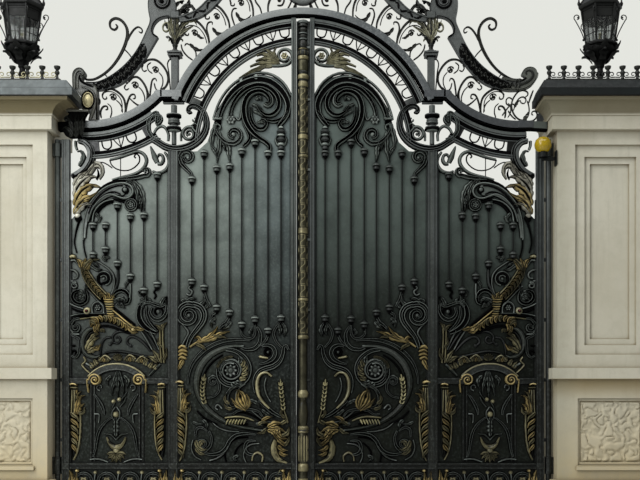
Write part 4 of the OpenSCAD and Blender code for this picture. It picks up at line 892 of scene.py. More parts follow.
def side_lower(S):
    """Side bay between its bars and its low arch. mats 0 frame, 1 work, 2 dim gold, 3 gold, 4 black."""
    # torch that climbs to the heel stile: a garland of overlapping leaves between two rims
    tor = [(81, 262), (84, 270), (87.6, 277.6), (92.4, 284.6), (97.6, 291), (103.6, 297)]
    c, share, total = resample(smooth(tor), .9)
    # a black band under the leaves: the painted shade in the gaps between them
    sweep(S, tor, [2.6, 6.6, 7.4, 7.0, 6.4], .026, "flat", mat=4)
    for i in range(3, len(c) - 4, 5):
        tx, ty = c[i + 1][0] - c[i - 1][0], c[i + 1][1] - c[i - 1][1]
        L = math.hypot(tx, ty)
        tx, ty = tx / L, ty / L
        for e in (-1, 1):
            x, y = c[i]
            w = 2.0 + 1.0 * math.sin(math.pi * i / len(c))
            blade(S, [(x - 1.2 * tx, y - 1.2 * ty), (x + e * w * .5 * ty + .8 * tx, y - e * w * .5 * tx + .8 * ty), (x + e * w * 1.05 * ty + 3.0 * tx, y - e * w * 1.05 * tx + 3.0 * ty)], 1.35, .046, 0, base=.6, tip=.4, mat=3 if e > 0 else 2, n=8)
    for e, q in ((-1, 4.0), (1, 4.2)):
        sweep(S, [(x + e * q * .74 * k, y - e * q * .66 * k) for (x, y), k in zip(tor, (.25, .8, 1, 1, 1, .95))], [.9, 1.2, 1.4], .034, "round", mat=2)
    for p, w, l, mt in (([(82, 268), (79.6, 262), (76, 258.6)], 2.6, 2, 3), ([(83, 268), (84.4, 262), (86, 258.6)], 2.6, 3, 3), ([(84, 271), (87.6, 264), (93, 260), (99.4, 259.6)], 2.8, 4, 2), ([(86, 270), (89.4, 265.4), (92.6, 262)], 2.0, 2, 3)):
        blade(S, p, w, .044, l, lift=.006, mat=mt)
    sweep(S, [(69.6, 258), (72.6, 256.4), (76, 257.4)], [3.0, 3.6, 2.6], .044, "round", mat=2, ends=(1, 1))
    sweep(S, [(71, 260.6), (75.4, 260.6), (78.6, 265.6)], [1.8, 2.0, 1.0], .030, "round", mat=1)
    # double rod beside it, down to the knot
    for q, w in ((0, 2.2), (2.6, 1.3)):
        sweep(S, [(85.6 - q * .7, 284.4 + q * .7), (91.6 - q * .7, 290.2 + q * .7), (98.6 - q * .7, 297.6 + q * .7), (105.4 - q * .7, 304.6 + q * .7)], [w * .7, w, w], .028, "round", mat=1 if q else 4)
    # ribbed knot, widest at its top
    for i in range(8):
        y = 299.4 + i * 2.35
        w = 5.2 - .42 * min(i, 4)
        sweep(S, [(108.6 + .28 * i - w, y), (108.8 + .28 * i, y + .7), (109 + .28 * i + w, y)], [1.4, 1.9, 1.4], .050 - .002 * i, "round", mat=3 if i % 3 != 2 else 2, ends=(1, 1))
    for p in ([(106, 300), (104.6, 296.6), (101.6, 295)], [(108.6, 299), (109, 295.4), (107.4, 292.6)], [(111, 300), (113, 296.6), (114.8, 294.6)]):
        blade(S, p, 2.0, .052, 2, lift=.004, mat=3)
    # dark rod from the knot to the mid stile, the gilded bundle beside it and its bulb
    sweep(S, [(113.6, 307.6), (119.6, 312.6), (126.6, 318.6), (134.6, 325.2)], [1.0, 1.8, 1.8], .034, "round", mat=4)
    sweep(S, [(112, 309.6), (118, 314.6), (125.6, 321), (133.4, 327.2)], [1.2, 1.8, 1.8], .036, "round", mat=3)
    sweep(S, [(113.6, 317.4), (119, 319), (125, 323.6), (131.4, 328.4)], [1.2, 1.8, 1.8], .038, "round", mat=3)
    for p, w in (([(129, 325), (133, 328.4), (138.6, 328.6)], 3.0), ([(129, 327), (133, 331.6), (137.6, 332.2)], 3.0), ([(136, 328), (141, 329.6), (145, 329.4)], 2.0)):
        blade(S, p, w, .050, 2, lift=.004, mat=3)
    dome(S, (133.6, 330), 3.0, .048, mat=3)
    # festoon: a row of curled leaves with a dark shadow under it
    fes = [(92.6, 324), (96.6, 320.4), (103, 318.8), (110, 319.6), (116.6, 322), (123, 325.6), (129.6, 329.4)]
    sweep(S, [(96, 333), (96, 328.6), (100, 326.4), (106, 326), (113, 327.4), (121, 330.6), (130, 334)], [1.0, 1.8, 2.0, 1.6, .8], .022, "flat", mat=4)
    sweep(S, fes, [3.0, 6.0, 6.4, 6.0, 5.2], .026, "flat", mat=4)
    cf, _, _ = resample(smooth(fes), 4.6)
    for i, (x, y) in enumerate(cf[:-1]):
        tx, ty = cf[i + 1][0] - x, cf[i + 1][1] - y
        L = math.hypot(tx, ty)
        tx, ty = tx / L, ty / L
        blade(S, [(x - .6 * tx + 2.8 * ty, y - .6 * ty - 2.8 * tx), (x + 1.8 * tx + .6 * ty, y + 1.8 * ty - .6 * tx), (x + 1.6 * tx - 2.8 * ty, y + 1.6 * ty + 2.8 * tx)], 1.9, .048, 0, base=.6, tip=.6, lift=.004, mat=3 if i % 3 else 2)
    for p, w, mt in (([(97.6, 322), (93.4, 318.6), (89.6, 320.6)], 2.4, 3), ([(96, 322.6), (91.6, 323.6), (91.4, 327.4)], 2.2, 3), ([(99, 324), (97.4, 328.6), (99.6, 332)], 2.0, 3), ([(95, 326), (95.2, 330.6), (98, 334)], 2.0, 3), ([(100, 331), (103, 330), (104, 332.6)], 1.4, 2)):
        blade(S, p, w, .042, 2, lift=.006, mat=mt)
    # dark rod from the heel stile to the knot, and the paler ones under it
    sweep(S, [(69.6, 322), (73.6, 318.6), (79.6, 316.6), (88, 315.6), (97, 315.2), (106, 315.8)], [1.2, 1.8, 1.7], .036, "round", mat=4)
    sweep(S, [(80, 319), (88, 318), (96, 317), (106, 317.8), (115, 319)], [1.0, 1.5, 1.4], .030, "round", mat=2)
    sweep(S, [(69.6, 316.6), (75, 315), (82, 314), (90, 313.6), (105, 313.4)], [1.4, 1.2, 1.0], .028, "round", mat=1)
    # volute between the cups: two stems into one spiral
    sweep(S, chain((110, 297), (113, 290.6), (114.4, 283), (113.4, 275.6), (109.4, 269.6), (103.6, 265.4), (97.6, 261.6)), [2.0, 1.6, 1.2, 1.0], .026, "round", mat=1)
    sweep(S, [(117.4, 268), (118, 275), (117.2, 283.6), (114, 291), (110.4, 297)], [1.2, 1.8, 2.2, 2.2], .030, "round", mat=6)
    sweep(S, spiral(104, 279, 6.4, 115, 1.0, 4.4), [1.2, 2.8, 3.2, 2.0], .030, "round", mat=4, ds=.8)
    sweep(S, spiral(104, 279, 8.0, 115, .9, 6.4), [.8, 1.3, 1.0], .026, "round", mat=1, ds=.8)
    sweep(S, spiral(104, 279, 3.8, -150, .7, 2.4), [1.0, 1.4, 1.0], .028, "round", mat=1, ds=.8)
    eye(S, 104, 279, 1.5, .034, 1)
    for p, w in (([(89.6, 264), (93.6, 267.4), (98, 270), (102, 269)], 2.2), ([(91, 263), (96, 264.6), (99, 267)], 1.6), ([(103, 259), (106.4, 257.6), (110, 257.4)], 1.8), ([(102.4, 256), (104.4, 259.4), (106.6, 262)], 1.8), ([(92, 262), (92.6, 259), (90, 258)], 1.2)):
        blade(S, p, w, .034, 2, lift=.004, mat=1)
    # scroll to the knot's right, with the bent stem of a cup
    sweep(S, [(113, 297), (116, 292.4), (121, 290.4), (126, 292), (129, 297), (128, 302.6), (124.4, 304)], [1.8, 3.4, 3.6, 3.2, 1.8], .034, "cove", mat=1)
    sweep(S, [(113.4, 300.4), (118, 298.4), (123.4, 297)], [1.2, 1.8, 1.0], .030, "round", mat=1)
    for p in ([(114, 302.6), (118.6, 300.4), (122, 302)], [(117, 303), (119.6, 306), (122, 306.6)], [(120.6, 299), (124.4, 300.4), (124.4, 304)], [(121, 303), (123, 306.6), (125, 308.6)]):
        blade(S, p, 1.5, .036, 2, lift=.004, mat=1)
    sweep(S, [(130.2, 284), (130.4, 291), (129.6, 298)], [1.4, 1.8], .028, "round", mat=1)
    blade(S, [(129, 281), (126, 284), (125.4, 288)], 1.5, .028, 2, mat=1)
    # leaf scroll at the heel stile
    sweep(S, [(88, 285.6), (85.4, 290), (87.2, 296), (86, 301.4), (81, 304), (75.6, 302.4), (72.6, 297.6), (74, 292.8), (78.6, 290.8), (83, 292.6)], [1.2, 2.4, 3.2, 3.4, 2.8, 1.6], .034, "cove", mat=1)
    for p, w in (([(85, 297), (80, 294.4), (75.6, 297)], 2.4), ([(84, 300), (79.6, 298), (76.4, 301)], 2.0), ([(83.6, 295), (80.6, 291.6), (77, 292.6)], 1.6)):
        blade(S, p, w, .036, 3, lift=.004, mat=1)
    sweep(S, [(70, 270), (74, 270.6), (77.6, 274), (76.6, 278), (73.4, 278.4)], [1.0, 1.8, 1.6, 1.0], .026, "round", mat=1, ds=.8)
    sweep(S, spiral(74.6, 285.6, 3.4, -60, -1.2, 1.4), [1.8, 1.4], .026, "round", mat=1, ds=.6)
    sweep(S, [(69.8, 281), (73, 281.4)], [1.6, 1.2], .022, "round", mat=1)
    # rod with a ball in a ring
    sweep(S, [(69.8, 303.6), (76, 306.6), (83.6, 308.8)], [1.4, 2.0, 1.6], .032, "round", mat=1)
    sweep(S, [(72, 308.4), (77, 311), (84, 312.4)], [1.2, 1.8, 1.4], .028, "round", mat=4)
    dome(S, (87, 311.2), 3.9, .038, mat=2)
    dome(S, (87, 311.2), 2.2, .050, mat=4)
    dome(S, (87, 311.0), 1.4, .058, mat=5)
    # little arch round a rosette
    sweep(S, [(92.4, 313.4), (92, 307.6), (93.8, 303.8), (97.6, 302), (101.6, 303.6), (103.6, 307.6), (103.6, 313.4)], 1.6, .026, "round", mat=1, ds=.8)
    dome(S, (97.8, 307.8), 3.4, .020, mat=4)
    rosette(S, (97.8, 307.8), 2.6, .028, mat=1)
    # broad scroll and spiral by the mid stile
    sweep(S, [(147, 300.6), (141.6, 305), (139.2, 311), (139.4, 318.4), (143, 325), (149, 330), (156, 333)], [2.4, 4.6, 5.6, 5.0, 3.0], .034, "cove", mat=1)
    sweep(S, [(146.4, 306), (145.6, 313), (147.6, 320.6), (152.4, 327.4), (157.6, 331.6)], [1.2, 2.6, 2.8, 1.6], .028, "mould", mat=1)
    sweep(S, [(150.6, 322), (153.6, 327), (158.4, 331.4)], [1.0, 1.8, 1.4], .022, "round", mat=4)
    sweep(S, chain((166.6, 305), (166.8, 311.4), (163.4, 317.4), (158, 320), (152.6, 318), (149.8, 312.6), (151.6, 307.4)), [1.8, 3.2, 3.6, 3.0, 1.6], .034, "mould", mat=1)
    sweep(S, [(143, 303.6), (149, 302.6), (155, 304.6), (161, 306.4), (166, 304.6)], [1.4, 2.4, 2.6, 1.6], .034, "mould", mat=1)
    sweep(S, spiral(158, 312, 5.0, 40, -.8, 3.0), [1.0, 1.8, 1.2], .026, "round", mat=4, ds=.8)
    eye(S, 158, 311.6, 2.0, .024, 1)
    for p, w in (([(161, 305), (163, 300.4), (166.6, 296.4)], 2.4), ([(164, 306), (166.4, 302), (167, 298)], 1.6), ([(145, 305), (142.6, 301), (139.6, 299.4)], 2.2), ([(146, 303), (144.6, 298.6), (146.4, 295.4)], 1.8), ([(149, 304), (149.4, 300.4), (147.6, 298)], 1.8),
                 ([(143.4, 307), (140.4, 304), (138, 304.6)], 1.8), ([(141, 296), (139.4, 292.6), (137.6, 291.4)], 1.6)):
        blade(S, p, w, .036, 2, mat=1)
    sweep(S, [(155.6, 289.6), (153.6, 292.2), (155.8, 295.6), (153.8, 299)], [1.0, 1.3, .9], .024, "round", mat=4, ds=.8)
    # S hook and its rod below the festoon
    sweep(S, [(70.6, 334), (74.6, 336.4), (79.4, 339.4), (79.6, 346.4), (78.8, 353.4), (75.4, 357.6), (71.6, 356)], [1.6, 2.4, 2.4, 2.2, 1.4], .030, "mould", mat=1)
    sweep(S, chain((80, 318.6), (74.6, 319.8), (71, 324.6), spiral(76, 327.4, 4.6, 200, -1.1, 1.4)), [1.4, 2.6, 2.8, 1.6], .034, "mould", mat=1, ds=.8)
    sweep(S, [(71, 330), (74, 334), (79.4, 334.4)], [1.6, 2.4, 1.4], .030, "round", mat=1)
    sweep(S, [(70.4, 346), (75, 345.8)], 1.4, .022, "round", mat=4)
    sweep(S, [(71.4, 353), (73.4, 350.6), (75.8, 352.2), (74.6, 355)], [1.4, 1.6, 1.0], .026, "round", mat=4, ds=.7)
    # big C round a leaf
    sweep(S, [(97, 327.6), (89, 329.6), (83.8, 335.6), (82, 343), (83.6, 350), (88.4, 355.4), (95.4, 357.6), (100, 356)], [2.0, 4.4, 5.0, 4.4, 1.8], .034, "ridge", mat=1)
    sweep(S, [(96, 331.6), (90.6, 333), (87, 337.6), (85.6, 343), (86.6, 348.6), (90.6, 353)], [.8, 1.5, 1.6, 1.2], .022, "round", mat=6)
    for p, w, mt in (([(86.6, 350), (89, 344), (94, 339), (99.6, 337.4)], 3.4, 2), ([(87.6, 352), (92, 350), (97.4, 345.4)], 2.6, 2), ([(90, 341), (94, 335.4), (99.4, 333.6)], 2.2, 2), ([(93, 349), (97.6, 348.4), (101, 344)], 1.8, 3)):
        blade(S, p, w, .040, 3, lift=.006, mat=mt)
    # thin hooks and their balls
    for p, w in (([(100.2, 355.6), (100.8, 347), (102.8, 341), (106, 338), (110.4, 337.4)], [1.0, 1.5, 1.3]), ([(110, 345), (113, 341), (112.4, 336.6), (116, 332.6), (121.6, 331.4), (128, 333)], [1.0, 1.4, 1.6, 1.2]), ([(113.2, 342.4), (117.4, 343.4), (120.4, 340.4), (118.6, 336.8), (115.6, 338.2)], [1.0, 1.3, 1.0]),
                 ([(150.6, 351.4), (144.8, 344.4), (138.4, 339), (132.2, 336.6), (127.8, 338.6), (126.8, 342.6), (129.4, 345.4)], [1.0, 1.8, 1.8, 1.2])):
        sweep(S, p, w, .022, "round", mat=6, ds=.8)
    dome(S, (109.8, 344.4), 1.6, .026, mat=6)
    dome(S, (130.6, 345.8), 1.5, .026, mat=6)
    # stems that leave the bundle for the mid stile, and the forked gilded stem
    for x0, x1, m in ((141, 152, 1), (144.6, 157, 6), (150, 159, 1)):
        sweep(S, [(x0, 331), ((x0 + x1) / 2, 339.6), (x1, 349.6)], [1.0, 1.8, 1.3], .026, "round", mat=m)
    for x in (160.2, 163):
        sweep(S, [(x + 1, 363), (x + .4, 352), (x - .2, 340), (x - .2, 328.6)], [1.4, 1.6, 1.4], .032, "round", mat=2)
    for p, w in (([(161, 330), (163, 325.6), (166.6, 322.4)], 1.8), ([(161, 331), (158, 326.6), (154.4, 325)], 1.5), ([(159.6, 362), (156, 355), (152, 349.6)], 2.4), ([(157, 362), (152, 358), (147, 356.4)], 2.4), ([(162, 348), (158.6, 343), (158.4, 337.6)], 1.6), ([(163, 360), (166.4, 354), (166, 348)], 1.6)):
        blade(S, p, w, .040, 3, lift=.004, mat=2)
    # leaf cresting along the low arch
    sweep(S, [(101, 357), (106, 353.2), (113, 351.6), (121, 351.6), (131, 353.6), (141, 356), (150, 357.6)], [1.0, 1.6, 1.3], .034, "round", mat=6)
    sweep(S, [(99, 361.6), (106, 359), (116, 357.6), (127, 358.4), (139, 360.4), (149, 363)], [2.0, 3.2, 2.4], .020, "flat", mat=6)
    for i in range(7):
        d = math.radians(-66 + 22 * i)
        blade(S, [(117.6, 360), (117.6 + 3.0 * math.sin(d), 359.6 - 3.0 * math.cos(d)), (117.6 + 5.6 * math.sin(d), 360 - 6.2 * math.cos(d))], 1.6, .040, 0, base=.5, tip=.5, mat=2, n=8)
    for x0, x1, y in ((99, 111, 358.6), (124, 136, 358.0), (136, 148, 359.4)):
        k = 1 if x0 > 117 else -1
        sweep(S, [(x0, y + 2.4), ((x0 + x1) / 2, y - 3.0), (x1, y + 1.0)], [1.2, 2.2, 1.2], .034, "round", mat=2)
        for j in range(3):
            x = x0 + 2.0 + 3.4 * j
            blade(S, [(x, y + 3.4), (x + .8 * k, y + .6), (x + 2.4 * k, y - 1.6)], 1.7, .036, 0, base=.5, tip=.4, mat=2 if j != 1 else 3, n=8)
    for x, y, t in ((90.6, 364.6, -36), (95, 361.6, -28), (146, 361.6, 26), (151, 364.4, 34), (156, 366, 40)):
        d = math.radians(t)
        blade(S, [(x - 3.6 * math.sin(d), y + 4.0 * math.cos(d)), (x, y), (x + 2.6 * math.sin(d), y - 3.4 * math.cos(d))], 2.6, .032, 2, mat=2)
    sweep(S, [(83.4, 357), (85.4, 361), (82, 364.8), (85, 369), (90, 373.6)], [1.2, 1.8, 1.2], .026, "round", mat=2)
    sweep(S, [(86, 363.4), (91.4, 366.4)], 2.2, .026, "round", mat=1)
    sweep(S, [(160, 364), (154.6, 369.4), (149, 375.6)], [2.4, 3.0, 1.6], .028, "ridge", mat=1)


def side_panel(S):
    """Side bay's lower panel, between its rail and its low arch."""
    # low arch: a stepped hood moulding on the rail's arch
    arch = [(88.4, 376.6), (93.6, 371.6), (100.4, 367.4), (108, 364.8), (116.5, 364), (125, 364.8), (132.6, 367.4), (139.6, 371.6), (144.6, 376.6)]
    sweep(S, arch, 1.6, .020, "round", -.012, .0, 1, 2)
    sweep(S, [(p[0], p[1] + 3.0) for p in arch[1:-1]], 2.6, .012, "cove", -.014, .0, 1, 0)
    sweep(S, [(p[0] * .93 + 8.2, p[1] + 5.6) for p in arch[1:-1]], 1.3, .016, "round", -.010, .0, 1, 1)
    # gilded spirals on the arch's feet
    for x, s in ((95.2, 1), (138.8, -1)):
        sweep(S, chain((x - 6.6 * s, 392.6), (x - 7.4 * s, 386), (x - 7.6 * s, 379.6), spiral(x, 380, 6.2, 180 if s > 0 else 0, 1.7 * s, 1.2)), [.9, 2.0, 2.4, 2.2, 1.6], .048, "round", mat=3, ds=.8)
        sweep(S, [(x - 7.6 * s, 380), (x - 12 * s, 379.2)], [2.0, .8], .04, "round", mat=3)
        eye(S, x, 380, 1.5, .056, 3)
    # pendant leaf with two pearls
    for p, w, l in (([(117.6, 371), (115, 379), (112.6, 388), (111.6, 396)], 2.2, 4), ([(119, 371), (121, 379), (123, 387), (123.4, 395)], 2.0, 4), ([(118, 371), (117.6, 381), (117.4, 391), (117.6, 399)], 2.2, 5),
                    ([(124, 376), (128, 381), (126.6, 388.6)], 2.2, 3), ([(111, 376), (107, 380), (108, 385.6)], 1.8, 3)):
        blade(S, p, w, .034, l, mat=1)
    dome(S, (113.4, 401.6), 1.9, .044, mat=2)
    dome(S, (119.2, 399.6), 2.0, .048, mat=2)
    for p in ([(114.6, 403), (111.6, 410), (112, 414)], [(118.6, 402), (123.4, 397.6), (126.6, 392)], [(120, 407), (124, 402), (126, 397)]):
        sweep(S, p, [1.0, 1.8, .8], .024, "ridge", mat=1)
    # bud on a stem, crescent cup, foot and star leaf
    for s in (-1, 1):
        sweep(S, [(116 + .6 * s, 407), (116 + 3.6 * s, 411.6), (116 + 3.6 * s, 417), (116 + 1.4 * s, 421)], [.8, 1.6, 1.0], .026, "round", mat=1)
        sweep(S, [(116, 440), (116 + 3 * s, 436.6), (116 + 6 * s, 434.6), (116 + 11.6 * s, 434)], [1.6, 2.0, .8], .024, "ridge", mat=1)
        # bell-shaped curves
        sweep(S, [(116 + 3 * s, 417), (116 + 10 * s, 421.6), (116 + 16.6 * s, 430), (116 + 19.4 * s, 440), (116 + 20.6 * s, 449), (116 + 23 * s, 457)], [1.0, 2.2, 2.6, 2.2, 1.4], .028, "mould", mat=1)
        sweep(S, [(116 + 22 * s, 394), (116 + 17 * s, 401), (116 + 13 * s, 409), (116 + 12 * s, 415)], [1.0, 2.6, 3.0, 1.2], .026, "mould", mat=1)
        sweep(S, [(116 + 21.6 * s, 414), (116 + 17 * s, 415), (116 + 17.4 * s, 423)], [1.4, 1.8, .8], .024, "round", mat=1)
        sweep(S, [(116 + 8 * s, 462.4), (116 + 14 * s, 460), (116 + 20 * s, 459), (116 + 26 * s, 459.6)], [1.4, 2.0, 1.0], .024, "round", mat=1)
        sweep(S, spiral(116 + 16.4 * s, 387.4, 3.2, 90, -.8 * s, 1.8), [1.6, 1.0], .022, "round", mat=1, ds=.7)
        for e in (24.8, 21.2):
            bx = 116.9 + (e + 1.2) * s
            a = (303 - bx) / 100
            brick(S, a - .006, a + .006, -.006, .012, (550 - 461.5) / 100, (550 - 384 if s < 0 else 550 - 386) / 100, 0, .002)
            # a black strip beside each upright: its painted shadow
            brick(S, a - .009, a - .006, .002, .012, (550 - 461.5) / 100, (550 - 386) / 100, 4, .0)
    blade(S, [(116, 436), (116, 427), (116, 419), (116, 411.6)], 2.8, .036, 6, mat=1)
    dome(S, (116, 414.6), 3.0, .046, mat=2)
    sweep(S, [(106.6, 437.4), (108.6, 442.6), (112, 446.4), (116, 447.8), (120, 446.4), (123.4, 442.6), (125.4, 437.4)], [.8, 3.0, 5.6, 3.0, .8], .044, "ridge", mat=2)
    dome(S, (116, 450.4), 3.2, .036, mat=2)
    for d in (-78, -52, -26, 0, 26, 52, 78):
        r = math.radians(d)
        L = 11.5 - abs(d) * .02
        blade(S, [(116 + 1.2 * math.sin(r), 453 + 1.2 * math.cos(r)), (116 + .6 * L * math.sin(r), 452.4 + .55 * L * math.cos(r)), (116 + L * math.sin(r), 452.6 + .95 * L * math.cos(r))], 1.7, .034, 0, tip=.1, base=.5, mat=2)
    # leaf consoles beside both stiles
    acanthus_console(S, 74.4, 386, 460, 1)
    acanthus_console(S, 160.6, 386, 460, -1)


def acanthus_console(S, x, y0, y1, s, w=5.6):
    """An upright gilded console: a cap, a fluted shaft, a curled leaf to one side and slanting ribs between dark edges below."""
    # dark ground, a painted shade behind the ribs, and the two edges
    sweep(S, [(x + 1.0 * s, y1 - 6), (x + 1.0 * s, y1 - 18), (x + 1.2 * s, y0 + 34), (x - .2 * s, y0 + 14), (x - .6 * s, y0 + 4)], [1.6, 4.6, 7.0, 5.4, 4.4], .014, "flat", mat=4)
    sweep(S, [(x - 2.0 * s, y1 - 3), (x - 3.4 * s, y1 - 14), (x - 3.6 * s, y1 - 34), (x - 3.8 * s, y0 + 22), (x - 3.8 * s, y0 + 2)], [.8, 1.0, 1.0], .026, "round", mat=6)
    sweep(S, [(x + 5.8 * s, y0 + 27), (x + 6.0 * s, y0 + 40), (x + 5.2 * s, y0 + 54), (x + 2.8 * s, y1 - 8), (x - 1.0 * s, y1)], [1.2, 1.7, 1.6, 1.2], .028, "round", mat=2)
    # fluted shaft and cap
    for q, ww in ((-2.6, 1.8), (.2, 2.2), (2.6, 1.4)):
        sweep(S, [(x + (q - .2) * s, y0 + 28), (x + (q + .2) * s, y0 + 16), (x + q * .8 * s, y0 + 4)], [ww * .8, ww, ww], .034, "round", mat=2 if q < 2 else 3)
    sweep(S, [(x - 5.0 * s, y0 - 1.2), (x - 1 * s, y0 - 2.4), (x + 3.0 * s, y0 - .8)], [2.0, 2.8, 2.0], .046, "round", mat=3, ends=(1, 1))
    sweep(S, [(x - 4.6 * s, y0 + 1.6), (x + 3.4 * s, y0 + 1.8)], [1.4, 1.4], .036, "round", mat=2, ends=(.6, .6))
    # curled leaf
    for p, ww, l, mt in (([(x + 2.0 * s, y0 + 28), (x + 2.8 * s, y0 + 19), (x + 5.4 * s, y0 + 11.4), (x + 10.4 * s, y0 + 9.6)], 2.8, 3, 3), ([(x + 3.0 * s, y0 + 28), (x + 5.2 * s, y0 + 21), (x + 9.6 * s, y0 + 18)], 2.4, 3, 3),
                         ([(x + 1.4 * s, y0 + 18), (x + 2.6 * s, y0 + 9), (x + 6.6 * s, y0 + 5.4)], 2.0, 3, 2), ([(x + 4 * s, y0 + 27), (x + 8 * s, y0 + 26.6), (x + 10.2 * s, y0 + 21.6)], 1.9, 2, 2)):
        blade(S, p, ww, .044, l, lift=.004, mat=mt)
    # slanting ribs
    n = int((y1 - y0 - 30) / 6.4)
    for i in range(n):
        t = i / (n - 1)
        y = y0 + 29 + i * 6.4
        ww = w * (1.0 - .42 * t ** 1.6)
        blade(S, [(x - (3.4 - 1.2 * t) * s, y - 2.4), (x - .8 * s, y + .2), (x + .52 * ww * s, y + 3.2), (x + (.86 * ww - .2) * s, y + 6.6)], 1.9, .048 - .010 * t, 0, lift=.004, base=.3, tip=.3, mat=3 if i % 2 else 2)


